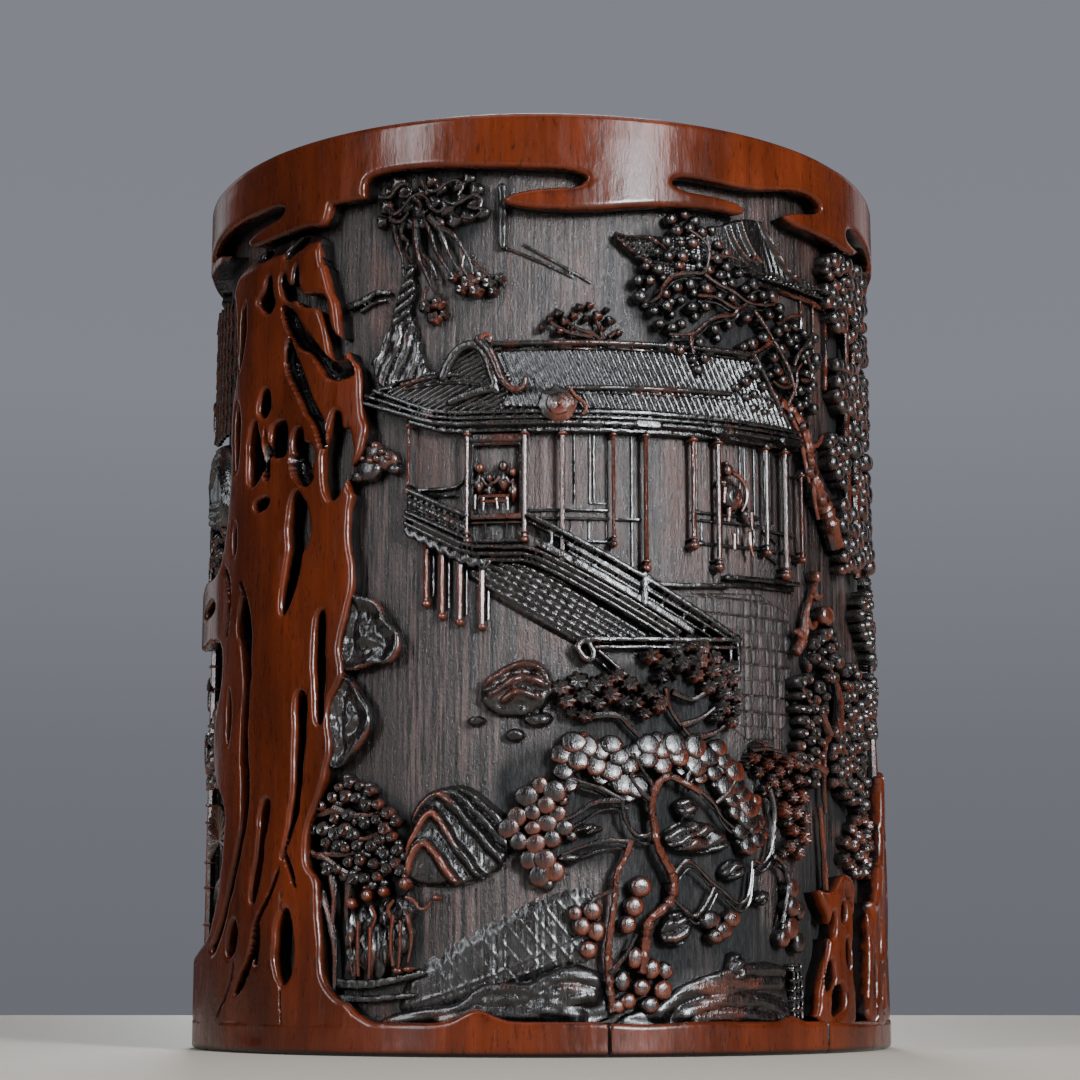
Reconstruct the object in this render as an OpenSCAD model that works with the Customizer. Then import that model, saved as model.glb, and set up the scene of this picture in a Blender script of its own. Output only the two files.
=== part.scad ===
// Carved bamboo brush pot: a bored culm with a let-in floor, carved in relief with a landscape.
// The origin is at the centre of the foot, +Z is up, and the pavilion side faces -Y.

/* [Pot] */
// Outside diameter over the uncut skin
pot_d = 116; // [110:1:122]
// Height from the table to the lip
pot_h = 143; // [136:1:150]
// Diameter of the bore
bore_d = 92; // [84:1:96]
// Depth of the carving below the skin
relief = 3.8; // [3.4:0.1:4.4]
// Rounding of the lip's outer edge
lip_r = 1.2; // [0.8:0.2:3]

/* [Floor] */
// Thickness of the floor disc
floor_t = 8; // [5:1:12]
// Height of the floor disc's underside above the table
floor_lift = 3; // [2:0.5:6]
// Width of the step that the floor disc is let into
rebate_w = 2; // [1:0.5:3]

/* [Bands] */
// Height of the plain foot band
foot_h = 5; // [3:0.5:5]
// Height of the solid part of the rim band
rim_h = 11; // [9:0.5:12]
// Roundness of the circles
$fn = 64; // [32:8:128]

/* [Hidden] */
pot_r = pot_d / 2;
bore_r = bore_d / 2;
ground_r = pot_r - relief;
drawn_h = 143;
up = pot_h / drawn_h;
floor_r = bore_r + rebate_w;
floor_top = floor_lift + floor_t;
rim_z = pot_h - rim_h * up;
low_cut = relief * 0.35;
mid_cut = relief * 0.6;
high_cut = relief * 0.85;
full_cut = relief;
skin_c = "#7a3418";
dark_c = "#2b211d";
worn_c = "#4a2a1e";
floor_c = "#3a2018";

// A place on the wall, given as [azimuth, height], on the flat drawing at azimuth c
function flat(p, c) = [pot_r * sin(p[0] - c), p[1] * up];
function flat_all(pts, c) = [for (p = pts) flat(p, c)];

// One side of a path, moved sideways by half of a width that runs from w0 to w1
function side(p, w0, w1, s) = [for (i = [0 : len(p) - 1])
    let (n = len(p) - 1, a = p[max(i - 1, 0)], b = p[min(i + 1, n)], d = b - a,
        w = w0 + (w1 - w0) * i / n)
    p[i] + s * w / 2 * [-d[1], d[0]] / norm(d)];
function reversed(p) = [for (i = [len(p) - 1 : -1 : 0]) p[i]];

// A tube between two radii and two heights
module ring(r0, r1, z0, z1) {
    rotate_extrude()
        translate([r0, z0])
            square([r1 - r0, z1 - z0]);
}

// Cuts the flat drawing at azimuth c out of the wall, between two heights above the ground
module carve(c, low, high) {
    intersection() {
        ring(ground_r + low, ground_r + high, 0, pot_h);
        rotate([0, 0, c])
            rotate([90, 0, 0])
                linear_extrude(pot_r + 2)
                    children();
    }
}

// Flat shapes: an outline, a strip along a path, a row of upright strips and a set of discs
module outline(c, pts) {
    polygon(flat_all(pts, c));
}
module strip(c, pts, w0, w1) {
    p = flat_all(pts, c);
    polygon(concat(side(p, w0, w1, 1), reversed(side(p, w0, w1, -1))));
}
module uprights(c, list, w) {
    for (q = list)
        translate([flat([q[0], 0], c)[0] - w / 2, q[1] * up])
            square([w, (q[2] - q[1]) * up]);
}
module discs(c, list, r) {
    for (p = list)
        translate(flat(p, c))
            circle(r, $fn = 24);
}

// Bored tube, with a step at the foot for the floor disc
module culm_wall() {
    inner_round = 2;
    color(dark_c)
        rotate_extrude()
            polygon([[floor_r, 0], [ground_r, 0], [ground_r, pot_h], [bore_r + inner_round, pot_h],
                [bore_r, pot_h - inner_round], [bore_r, floor_top], [floor_r, floor_top]]);
}

// Round board let into the foot
module floor_disc() {
    color(floor_c)
        translate([0, 0, floor_lift])
            cylinder(r = floor_r, h = floor_t);
}

// Smooth band under the lip, with cloud-shaped slots, and the cloud tongues that hang below it
module rim_band() {
    lip = [for (a = [0 : 15 : 90]) [pot_r - lip_r * (1 - cos(a)), pot_h - lip_r * (1 - sin(a))]];
    color(skin_c)
        difference() {
            rotate_extrude()
                polygon(concat([[ground_r, pot_h], [ground_r, rim_z], [pot_r, rim_z]], lip));
            for (turn = [0, 180])
                rotate([0, 0, turn])
                    rim_slots(rim_z / up - 1);
        }
}
module rim_slots(low) {
    c = [-60, -10, 36, 70];
    carve(c[0], 0.1, full_cut + 1)
        outline(c[0], [[-78, low], [-76, 134.5], [-52, 134], [-46, 133.2], [-46.5, low]]);
    carve(c[1], 0.1, full_cut + 1)
        outline(c[1], [[-28.5, low], [-28.8, 134], [-26, 135], [-10, 134], [5, 133.5], [7.3, 132.3],
            [5, low]]);
    carve(c[2], 0.1, full_cut + 1)
        outline(c[2], [[21, low], [21, 133], [23, 133.8], [35, 133.8], [44, 135.8], [50, 136],
            [52.5, 134.4], [46, 132.5], [43, low]]);
    carve(c[3], 0.1, full_cut + 1)
        outline(c[3], [[61, low], [62, 133.4], [64, 134], [79, 134], [79, low]]);
}
module rim_clouds() {
    top = rim_z / up;
    c = [-47, 14, 60];
    color(skin_c)
        for (turn = [0, 180])
            rotate([0, 0, turn]) {
                carve(c[0], 0, full_cut)
                    outline(c[0], [[-46, top], [-54, 130.5], [-56.5, 129], [-53, 128.3], [-42, 128.5],
                        [-37, 128], [-36, 130], [-37, top]]);
                carve(c[1], 0, full_cut)
                    outline(c[1], [[7.8, top], [5, 131], [0, 130.5], [-6, 128.8], [-4, 127.8], [4, 127],
                        [15, 128.2], [25, 129.3], [33, 129.3], [33.5, 130.7], [28, 131.2], [20.5, top]]);
                carve(c[2], 0, full_cut)
                    outline(c[2], [[46, top], [42.5, 131], [44, 130], [60, 129.5], [60.5, top]]);
            }
}

// Plain band that the pot stands on
module foot_band() {
    color(skin_c)
        ring(ground_r, pot_r, 0, foot_h * up);
}

// Tall crag left at full skin height, pierced by long worn slots
module red_cliff() {
    c = -50;
    color(skin_c)
        difference() {
            carve(c, 0, full_cut)
                outline(c, [[-22, 5], [-29, 6.5], [-32.5, 8.5], [-35, 12], [-35.5, 22], [-35, 25],
                    [-38, 27.5], [-38.5, 33], [-36, 38], [-33.5, 45], [-34.3, 51], [-31.5, 57],
                    [-32.5, 61], [-29.8, 69], [-30.2, 74], [-31.2, 79], [-30.5, 84], [-31.5, 88],
                    [-28.2, 92], [-27.5, 94], [-28.8, 98], [-29, 104], [-32, 106.5], [-33.3, 112],
                    [-35, 117.5], [-37, 124.5], [-50, 125.5], [-56, 125.5], [-62, 122], [-59.5, 119],
                    [-57, 112], [-61, 105], [-62, 100], [-61, 92], [-63, 82], [-66, 77], [-76, 75],
                    [-76, 66], [-63, 64], [-63, 58], [-66, 50], [-64, 41], [-60.5, 38], [-61, 30],
                    [-66, 18], [-84, 14], [-84, 5]]);
            cliff_slots(c);
        }
}
module cliff_slots(c) {
    carve(c, 0.1, full_cut + 1) {
        outline(c, [[-50.2, 122.7], [-49, 122.5], [-48, 118], [-50, 116.5], [-53, 119]]);
        outline(c, [[-46.5, 122], [-45, 120.5], [-41.5, 118], [-36.5, 117], [-34, 109.5], [-32, 106.2],
            [-35, 107], [-37, 114.5], [-42.5, 117], [-46, 118.3]]);
        outline(c, [[-54.8, 90], [-54.8, 97], [-53.5, 99.5], [-51.3, 96], [-50.3, 90], [-53, 88.5]]);
        outline(c, [[-51.5, 101], [-50.3, 104], [-48.4, 102], [-50, 99.5]]);
        outline(c, [[-48.5, 92.5], [-48.5, 97], [-44, 97.5], [-44, 92.2]]);
        outline(c, [[-42.8, 95], [-41, 96.2], [-37.7, 91.5], [-41, 89.5]]);
        outline(c, [[-33.5, 98], [-30.3, 93], [-31, 87], [-33.8, 84], [-36, 86.5], [-36, 91]]);
        outline(c, [[-52.8, 85.9], [-48, 86], [-48.5, 84.4], [-52, 84.2]]);
        strip(c, [[-41, 86.5], [-41.2, 80], [-42, 74], [-44.2, 67]], 4, 1);
        strip(c, [[-55.5, 71], [-54.5, 64], [-53.3, 56], [-54, 48], [-53.2, 36], [-57, 25], [-64, 15]],
            3.4, 1.2);
        strip(c, [[-36, 66.5], [-36, 58], [-35.7, 49]], 2, 0.8);
        strip(c, [[-39.7, 54.5], [-40.2, 45], [-40.5, 36], [-44, 28]], 2.2, 1.2);
        strip(c, [[-47.3, 38.5], [-48.5, 31], [-50.3, 22.5]], 1.8, 1.2);
        outline(c, [[-44.3, 19], [-42.5, 21.7], [-40.6, 18], [-40.8, 11], [-43, 10.2], [-44.8, 15]]);
        outline(c, [[-58.2, 16], [-56, 20.5], [-54.6, 18], [-56.5, 14.4]]);
    }
}

// Dark shelves of rock beside the crag
module cliff_ledges() {
    c = -28;
    color(dark_c)
        carve(c, 0, mid_cut) {
            outline(c, [[-29.6, 68.5], [-25.5, 67.5], [-24.6, 64], [-22.3, 62.7], [-22, 60], [-24, 57.7],
                [-28, 58], [-31, 57], [-32, 61]]);
            outline(c, [[-31, 56], [-28.5, 53.5], [-26.6, 50], [-27.5, 47], [-32.5, 42.5], [-33.2, 45],
                [-33.9, 51]]);
        }
}
module cliff_knot() {
    c = -26;
    color(worn_c)
        carve(c, 0, high_cut)
            outline(c, [[-30.3, 88.5], [-27.7, 92.3], [-25, 92.5], [-22.6, 89.5], [-23.5, 87], [-27, 86.3]]);
}

// Pine that hangs from the rim: boughs and trunks, then the tufts below them
module hanging_pine() {
    c = -18;
    color(worn_c)
        carve(c, 0, mid_cut) {
            outline(c, [[-27, 130], [-25, 134], [-13.5, 133.5], [-8.5, 130.5], [-9, 127.5], [-14, 125.5],
                [-20, 125], [-24, 126]]);
            strip(c, [[-17, 126], [-14, 124.5], [-12.3, 122], [-11.5, 120]], 2, 1);
            strip(c, [[-20.3, 126], [-20, 121], [-18.3, 118], [-17, 115.2]], 1.4, 0.8);
            outline(c, [[-24, 126], [-21.5, 126], [-21.3, 121], [-22.4, 118.3], [-23.7, 121]]);
            outline(c, [[-19, 125.5], [-17.3, 125.5], [-15.2, 119.3], [-16.5, 120]]);
        }
}
module hanging_pine_tufts() {
    c = -13;
    color(dark_c)
        carve(c, 0, high_cut) {
            outline(c, [[-15, 117], [-14, 119.5], [-11.5, 120], [-6.8, 118], [-5.5, 116], [-8, 114.5],
                [-11, 113.3], [-13.2, 115.2]]);
            outline(c, [[-20, 112.3], [-18.5, 114.3], [-15.8, 114.2], [-14.8, 112.6], [-16, 111],
                [-18.6, 110.4]]);
        }
}

// Combed rock under the hanging pine, and the shelf beside it
module hanging_rock() {
    c = -24;
    color(dark_c)
        carve(c, 0, mid_cut) {
            outline(c, [[-21.5, 118], [-24, 116.5], [-25.8, 111.5], [-27.8, 108.5], [-28, 104.5],
                [-26.5, 101.2], [-22.5, 101.2], [-20, 103.5], [-20.4, 109], [-22.5, 110.5], [-22, 114.5]]);
            outline(c, [[-31.4, 115.3], [-25, 116.2], [-24.8, 114.6], [-31, 113.9]]);
        }
}

// Hall far up the hill on the right
module far_roof() {
    c = 36;
    color(dark_c)
        carve(c, 0, low_cut) {
            outline(c, [[11, 124.7], [17, 124], [20, 121], [17, 118.8]]);
            outline(c, [[31.5, 128.3], [38, 129], [40, 127], [44, 124.8], [58, 124.3], [61, 121.5],
                [36.5, 121.3], [33, 124.5]]);
        }
}
module far_wall() {
    c = 54;
    color(dark_c)
        carve(c, 0, low_cut) {
            outline(c, [[45, 95.5], [60, 96.5], [60, 98], [46, 97.2]]);
            uprights(c, [[58.2, 107, 121], [53.8, 88, 95.6]], 1.2);
            outline(c, [[50, 119.4], [57.4, 119.4], [57.4, 120.8], [50, 120.8]]);
        }
}

// Small tree above the ridge of the hall
module small_tree() {
    c = 7;
    color(worn_c)
        carve(c, 0, mid_cut) {
            discs(c, [[1.2, 110.3], [3.4, 110], [2.8, 108], [6, 111.8], [7.7, 112.4], [8.6, 110.8],
                [11, 110], [12, 108.3]], 1.2);
            strip(c, [[9.2, 107.2], [8, 109], [5, 109.5]], 1, 0.6);
        }
}

// Plum tree: a mass of boughs low in the wall, round berries standing on it, and its leaning trunk
module plum_boughs() {
    c = 34;
    color(dark_c)
        carve(c, 0, low_cut) {
            outline(c, [[17.5, 127.5], [24, 128.8], [31, 126.8], [34.5, 123.5], [36.2, 120.8], [48, 120.7],
                [49.5, 118], [51, 115], [54, 113], [52, 110], [54, 108], [58, 106], [60, 102], [53, 99.5],
                [45, 100.2], [43.5, 102], [41, 104], [38, 107.5], [28, 107.5], [25, 105.5], [21, 104],
                [18, 107.3], [16.5, 110.5], [13, 113.3], [15, 117], [19, 118.5]]);
            outline(c, [[29.3, 99.5], [30, 102], [34, 105.5], [38, 106.4], [42.5, 101.5], [40.5, 98],
                [36, 96.3]]);
        }
}
module plum_berries() {
    c = 34;
    color(worn_c)
        carve(c, low_cut, high_cut)
            discs(c, [[20, 127], [22, 127.6], [25, 127.6], [22.5, 125.3], [26, 126], [19.5, 121.3],
                [22, 120.6], [22.7, 122.3], [30.8, 122.5], [33, 121.8], [31.5, 119], [33.5, 119.2],
                [16.3, 116.5], [15, 113.4], [22, 116], [24, 115.4], [23, 112], [25.2, 112.2], [20.5, 110.4],
                [18, 109], [19.7, 107.8], [28.5, 110.2], [26, 108.5], [28.7, 108.4], [31.6, 108.4],
                [34.5, 109.7], [37.5, 109.2], [38.5, 106.6], [41.5, 106.8], [36.5, 103.8], [33, 102.2],
                [30.7, 100.8], [35, 99.4], [38, 99], [39.5, 100.8], [41, 112.2], [43.5, 111.8],
                [38.5, 117.8], [46.5, 118.8], [48.7, 117], [50.5, 116], [52.5, 112.8], [49, 108.6],
                [54, 107.2], [55, 104.6], [52, 102.2], [48, 101]], 1.4);
}
module plum_trunk() {
    c = 50;
    color(worn_c)
        carve(c, 0, full_cut)
            strip(c, [[44.7, 100], [47, 97.5], [48.8, 93.5], [49.5, 89.5], [52.5, 86], [56, 81], [57.5, 75]],
                3.6, 6.5);
}

// Long hall: tiled slopes, raised ridges and scrolled ends, eaves, posts and rails
module hall_roof() {
    c = 8;
    color(dark_c)
        carve(c, 0, mid_cut)
            outline(c, [[-26, 100.3], [-16, 96.3], [0, 95.7], [20, 96], [44, 96.5], [40, 99], [37, 105],
                [36, 107], [20, 106.9], [-7.5, 106.2], [-10, 104.5], [-13, 101.3], [-14, 101.8],
                [-22, 100.7]]);
}
module hall_ridges() {
    c = 0;
    color(worn_c) {
        carve(c, mid_cut, full_cut)
            strip(c, [[-8.5, 106], [-6.3, 103], [-5, 100.5], [-2.6, 99]], 1.8, 1.4);
        carve(c, 0, full_cut)
            strip(c, [[-15.3, 101.9], [-13.8, 105], [-11.5, 106.9], [-9, 106.8]], 1.1, 1.6);
        carve(c, mid_cut, full_cut)
            strip(c, [[-13.7, 97.8], [-8, 99.2]], 1.5, 1.5);
        carve(c, mid_cut, full_cut) {
            discs(c, [[2.4, 96.4]], 2.9);
            strip(c, [[4, 97.5], [5.3, 96.3], [6.8, 96.6]], 1.6, 0.8);
        }
        carve(c, mid_cut, high_cut)
            strip(c, [[6.5, 99.2], [18, 99.6], [29, 100]], 0.7, 0.7);
        carve(c, mid_cut, high_cut)
            strip(c, [[-5, 105.9], [5, 106.1], [17, 106.5]], 0.6, 0.6);
    }
}
module hall_eaves() {
    c = 8;
    color(dark_c)
        carve(c, 0, high_cut)
            outline(c, [[-29, 98.7], [-26.3, 99.7], [-16, 95.8], [0, 95.2], [20, 95.5], [44.5, 96],
                [44.5, 93.6], [20, 93.1], [0, 92.8], [-12, 92.6], [-17, 94.3]]);
}
module hall_posts() {
    c = 12;
    color(worn_c)
        carve(c, 0, mid_cut) {
            uprights(c, [[-11.6, 76.2, 92.4], [-2.6, 76.2, 92.5], [3.2, 73, 92.6], [11.2, 75.5, 92.8],
                [16.4, 72, 93], [24.5, 76, 93], [29, 73, 93.1], [38.7, 76.2, 93.3], [43, 73, 93.4]], 0.9);
            uprights(c, [[-21.2, 84.5, 94.8], [47, 76, 88.5]], 0.6);
        }
}
module hall_rails() {
    c = 12;
    color(dark_c)
        carve(c, 0, low_cut) {
            for (z = [79.6, 80.8])
                strip(c, [[-2, z], [2.6, z]], 0.5, 0.5);
            for (z = [76, 79.6, 80.8])
                strip(c, [[5, z], [10.7, z]], 0.5, 0.5);
            for (z = [76.6, 80.3, 81.3]) {
                strip(c, [[25.1, z], [28.4, z]], 0.5, 0.5);
                strip(c, [[29.6, z], [38.2, z]], 0.5, 0.5);
            }
            strip(c, [[39.3, 80], [42.4, 80]], 0.5, 0.5);
            strip(c, [[43.6, 80], [46.5, 80]], 0.5, 0.5);
            uprights(c, [[9, 81.6, 92.5], [36.5, 82, 92.8], [41, 82, 93]], 2);
        }
}
module room_frame() {
    c = -7;
    color(dark_c)
        carve(c, 0, low_cut)
            difference() {
                outline(c, [[-11.1, 76.4], [-11.1, 92.3], [-3.1, 92.3], [-3.1, 76.4]]);
                outline(c, [[-10.6, 80], [-10.6, 91.2], [-3.6, 91.2], [-3.6, 80]]);
            }
}
module room_figures() {
    c = -7;
    color(worn_c)
        carve(c, 0, mid_cut) {
            discs(c, [[-9.9, 87.6], [-6, 86.6], [-8.4, 85.2]], 0.8);
            outline(c, [[-10.4, 80.2], [-10.4, 86.8], [-9.3, 86.6], [-8.6, 84], [-7.6, 84.6], [-5.3, 85.8],
                [-4, 84.6], [-3.8, 80.2]]);
        }
}
module drummer() {
    c = 33;
    color(dark_c)
        carve(c, 0, mid_cut) {
            discs(c, [[32, 84]], 2);
            discs(c, [[31.2, 88.4]], 1);
            strip(c, [[33.2, 87], [34.5, 85.2], [34.2, 82.6], [35.2, 79.2], [34.9, 75.2]], 1, 1.4);
        }
}

// Gallery on stilts, with the stair that leads down from it
module gallery_rail() {
    c = -16;
    color(dark_c)
        carve(c, 0, low_cut) {
            outline(c, [[-21.3, 84.3], [-12.1, 79.9], [-12.1, 76.5], [-21.3, 81]]);
            strip(c, [[-20, 84.4], [-14, 84.4], [-12.2, 86]], 0.5, 0.5);
        }
}
module deck() {
    c = -8;
    color(dark_c)
        carve(c, 0, high_cut)
            strip(c, [[-21.5, 79.9], [-11.6, 74.9], [-2, 74.9], [2.6, 72.3]], 2, 2);
}
module stilts() {
    c = -14;
    color(worn_c)
        carve(c, 0, mid_cut)
            uprights(c, [[-18.3, 67, 77], [-15.7, 65, 75.6], [-12.8, 64, 74.2], [-9.3, 63.2, 73.6]], 0.9);
}
module stair() {
    c = 12;
    color(dark_c) {
        carve(c, 0, high_cut)
            strip(c, [[3.9, 71.6], [14.5, 65.4], [20, 62.3]], 2, 2);
        carve(c, 0, mid_cut) {
            strip(c, [[3.9, 76.5], [15.8, 70.2], [31.4, 62.2]], 0.8, 0.8);
            strip(c, [[3.9, 75], [15.8, 68.5], [28, 62.3]], 0.6, 0.6);
            uprights(c, [[15.8, 66.3, 69]], 1.2);
        }
        carve(c, 0, low_cut * 0.4)
            outline(c, [[-7, 72.6], [0, 72.2], [6, 69], [17.5, 62.4], [6.2, 61.4], [5, 60.3]]);
    }
}
module landing() {
    c = 20;
    color(dark_c) {
        carve(c, 0, mid_cut)
            strip(c, [[7.6, 60.6], [20, 61], [32.3, 61.7]], 0.9, 0.9);
        carve(c, 0, high_cut) {
            outline(c, [[5.3, 58.6], [7, 62], [7.5, 58.2]]);
            outline(c, [[31, 57.6], [32.3, 57.6], [32.5, 61], [31, 61]]);
        }
        carve(c, 0, low_cut)
            strip(c, [[8.2, 59.8], [13.4, 56.2]], 0.7, 0.7);
    }
}
module ledges() {
    c = 30;
    color(dark_c)
        carve(c, 0, low_cut) {
            strip(c, [[17.4, 71.2], [19.5, 70], [31.5, 70.4]], 0.6, 0.6);
            strip(c, [[31.2, 71.8], [42.4, 71.9]], 0.6, 0.6);
        }
}
module mid_rocks() {
    c = -4;
    color(dark_c)
        carve(c, 0, high_cut) {
            outline(c, [[-9.5, 53.5], [-5, 57], [-2, 57.7], [1.2, 55.6], [1.4, 52.5], [0, 50.6], [-4, 50],
                [-8.6, 51]]);
            discs(c, [[-10.3, 49], [-4.3, 46.7], [-3.4, 46.7]], 1.1);
            discs(c, [[-1.6, 49], [-0.3, 49]], 1.2);
        }
}

// Big pine: leaf pads under the landing, twisted trunk, pads and berry clusters
module bough_leaves() {
    c = 17;
    color(worn_c)
        carve(c, 0, high_cut)
            discs(c, [[3, 53.5], [5.5, 54.3], [4, 51.5], [6.6, 52.2], [9.6, 54.5], [10.6, 52.6], [13.3, 54.4],
                [14, 51.6], [16.5, 53.2], [18, 51], [6.5, 49.2], [17, 58.4], [19.2, 57.6], [21, 59.6],
                [23.6, 60.2], [22.6, 57.6], [25.2, 58.6], [27, 58], [28.7, 56.2], [30.5, 57], [27, 54.4],
                [29.6, 54], [31, 53.6], [29, 51.4]], 1.6);
}
module pine_trunk() {
    c = 20;
    color(worn_c)
        carve(c, 0, mid_cut) {
            strip(c, [[10.3, 8], [9.8, 15], [11, 23], [11.1, 26.6], [13.4, 30.4]], 1.6, 1.2);
            strip(c, [[15.6, 15.6], [15.8, 20], [19.6, 22], [20, 26], [17.4, 31], [16.5, 36], [18, 40.2]],
                2, 1.2);
            strip(c, [[19, 40.4], [22, 39.6], [25, 38.4], [28, 35]], 1.2, 0.8);
            strip(c, [[17, 32], [14, 32], [12.2, 34.4], [12.2, 37], [8.6, 37]], 1.4, 0.8);
            strip(c, [[22, 28.7], [26, 25.5], [31, 22], [33.4, 25], [33.9, 28.3]], 1, 1);
            strip(c, [[35, 28.4], [38, 29], [38.2, 33], [37.6, 38.6]], 1, 1);
            strip(c, [[38.6, 29], [41, 27.4], [41.3, 23], [40, 19]], 1.2, 1);
        }
}
module pine_leaves() {
    c = 24;
    color(worn_c)
        carve(c, 0, high_cut) {
            discs(c, [[3, 43.8], [5.7, 45], [6.5, 42.6], [3.3, 40.8], [8.8, 44.2], [11.7, 43.7],
                [14.5, 44.2], [10.5, 41], [13.8, 41.4], [12.8, 38.8], [18.5, 44.5], [22, 44.2], [24.2, 43.4],
                [26.4, 44], [28.7, 43.4], [27.4, 41], [30.8, 40.2], [33, 38], [30.6, 37.6], [33, 35.4],
                [32.5, 32.6], [36, 43.4], [38, 42.4], [40.4, 42], [42, 39.6], [44.4, 38.6],
                [43.4, 36.6], [45, 34.8], [44.6, 32.2], [43.2, 23.6], [43.4, 21], [42.4, 18.4]], 1.7);
            outline(c, [[18.6, 33.4], [22, 33.6], [29, 31.6], [29.4, 29.6], [25, 29.8], [19.6, 31]]);
            outline(c, [[26, 19.4], [28.6, 19.8], [29.4, 17], [32.8, 13], [31, 10.2], [29.2, 12],
                [28.4, 15.4], [26, 16.6]]);
        }
}
module pine_berries() {
    c = 8;
    color(skin_c)
        carve(c, 0, full_cut)
            discs(c, [[-2.2, 37.4], [0, 38.8], [-3.6, 34.4], [-1.3, 33], [0.8, 35.2], [1.4, 32.6],
                [-3.3, 30.4], [0, 30.2], [-1.4, 26.8], [0.6, 25.8], [14.8, 24.4], [14, 21.4], [13.2, 19],
                [7.4, 20.8], [6, 18.4], [8, 17.8], [7, 15.4], [14.2, 13.2], [12.4, 10.8], [16.6, 12.2],
                [15.2, 10], [13.2, 8], [16.2, 7.4], [17.6, 9.2], [19.4, 18.6], [22.2, 19.2], [20.6, 16.8],
                [23, 17]], 1.5);
}
module mountain() {
    c = -12;
    color(dark_c)
        carve(c, 0, mid_cut)
            outline(c, [[-20.3, 35], [-18, 38], [-14, 39.3], [-11, 39], [-5.2, 34.8], [-5, 28], [-9, 25.9],
                [-12.5, 25.2], [-20, 25], [-21, 29]]);
}
module terrace() {
    c = -6;
    color(dark_c)
        carve(c, 0, low_cut)
            outline(c, [[-18, 16.5], [-0.6, 23.2], [4.4, 20], [5.4, 17], [9.2, 16.8], [3, 14.4], [-6.4, 10.9],
                [-17, 7.9], [-20, 11]]);
}
module shore_rocks() {
    c = 8;
    color(dark_c)
        carve(c, 0, high_cut) {
            outline(c, [[-23.5, 5], [-16, 6.7], [-12, 7.2], [-7.5, 10], [-1.6, 10], [0, 11.4], [4.4, 13.2],
                [9.2, 12], [9.3, 5]]);
            outline(c, [[18.8, 5], [19.2, 8], [25, 10.6], [28.2, 11.4], [28.2, 9], [33, 9.4], [34, 12.8],
                [40.4, 12.8], [41, 5]]);
            strip(c, [[42, 5.3], [43.4, 8.6], [43.6, 13]], 0.8, 0.6);
            strip(c, [[44, 5.3], [45, 8.6], [45.2, 12.6]], 0.8, 0.6);
        }
}

// Grove at the foot of the crag, and the people in it
module west_grove() {
    c = -30;
    color(worn_c)
        carve(c, 0, mid_cut)
            outline(c, [[-38, 31], [-36, 37.6], [-33.6, 41], [-28, 40.8], [-25, 38.6], [-22, 36.4],
                [-20.6, 33], [-23.4, 31], [-23, 27.4], [-26, 25.6], [-33, 25.8], [-37.2, 27.6]]);
}
module grove_figures() {
    c = -25;
    color(worn_c)
        carve(c, 0, high_cut) {
            discs(c, [[-20.5, 25], [-22.2, 22.6], [-27.4, 23], [-29.8, 21.8]], 0.9);
            outline(c, [[-34.6, 12], [-34, 20], [-30.6, 20.6], [-24, 22.4], [-21, 23.6], [-16.6, 22.4],
                [-16.4, 21.2], [-19, 20.4], [-19.6, 12], [-28, 11]]);
        }
}
module staff_figure() {
    c = 51;
    color(worn_c)
        carve(c, 0, mid_cut) {
            strip(c, [[45.6, 61.2], [48.2, 64.4], [48.6, 68.6], [51, 72.4]], 0.8, 1.4);
            outline(c, [[50.6, 66.4], [50.6, 69.4], [53.4, 69.8], [55.6, 69], [55.4, 66.2], [53, 65.4]]);
        }
}
module east_trees() {
    c = 60;
    color(dark_c)
        carve(c, 0, low_cut) {
            outline(c, [[45, 42], [44, 56.6], [50, 57.6], [48.6, 63.6], [57, 64.4], [59, 58.4], [72, 58],
                [78, 52], [76, 42], [70, 36], [54, 35]]);
            outline(c, [[58, 75], [60, 118], [64, 128], [74, 128], [76, 96], [74, 76]]);
            strip(c, [[50.6, 36], [51.4, 30], [52, 25.4]], 1.2, 1.2);
        }
}
module east_tree_berries() {
    c = 60;
    color(worn_c)
        carve(c, low_cut, high_cut) {
            discs(c, [[46, 54], [48, 56], [47, 52], [50.5, 54.5], [50.8, 51.8], [53, 55.4], [51.4, 60.6],
                [54, 59.2], [54.6, 62.4], [46, 48.4], [48, 46.4], [50, 44.6], [48.6, 42.4], [53, 46],
                [62, 47], [64, 49.2], [67, 47], [59, 41.6], [63, 41], [59.4, 37.8], [66, 40], [70, 55]], 1.5);
            discs(c, [[62, 104], [64, 98], [63, 92], [66, 89], [62, 86], [65, 83], [64, 116], [66, 121],
                [70, 126], [62, 80], [70, 101], [70, 93], [70, 86]], 1.8);
        }
}
module east_rocks() {
    c = 60;
    color(skin_c)
        carve(c, 0, full_cut) {
            difference() {
                outline(c, [[47, 5], [47.6, 13], [50, 16], [49, 20], [47.8, 24], [51, 23.6], [55, 26.8],
                    [58.6, 25.2], [57.8, 18], [57, 14], [57.6, 5]]);
                strip(c, [[51, 18.4], [55.6, 22.4]], 1.6, 1.8);
                strip(c, [[50.4, 9.4], [52.4, 14.6]], 3, 3);
            }
            outline(c, [[63, 13.4], [66, 16.6], [65, 20], [67.6, 24], [72, 24], [76, 18], [80, 12], [80, 5],
                [66, 5]]);
        }
}
module west_foliage() {
    c = -74;
    color(worn_c)
        carve(c, 0, high_cut) {
            discs(c, [[-65, 118], [-65, 112], [-66, 106], [-69, 120], [-70, 114], [-70, 108], [-72, 102],
                [-74, 118], [-75, 111], [-76, 104], [-68, 47], [-71, 44], [-70, 50], [-74, 48]], 2.2);
            discs(c, [[-67.4, 34.6]], 5.4);
            outline(c, [[-64, 92.4], [-70, 99], [-82, 97], [-84, 86], [-72, 84], [-64, 86]]);
        }
}

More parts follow.
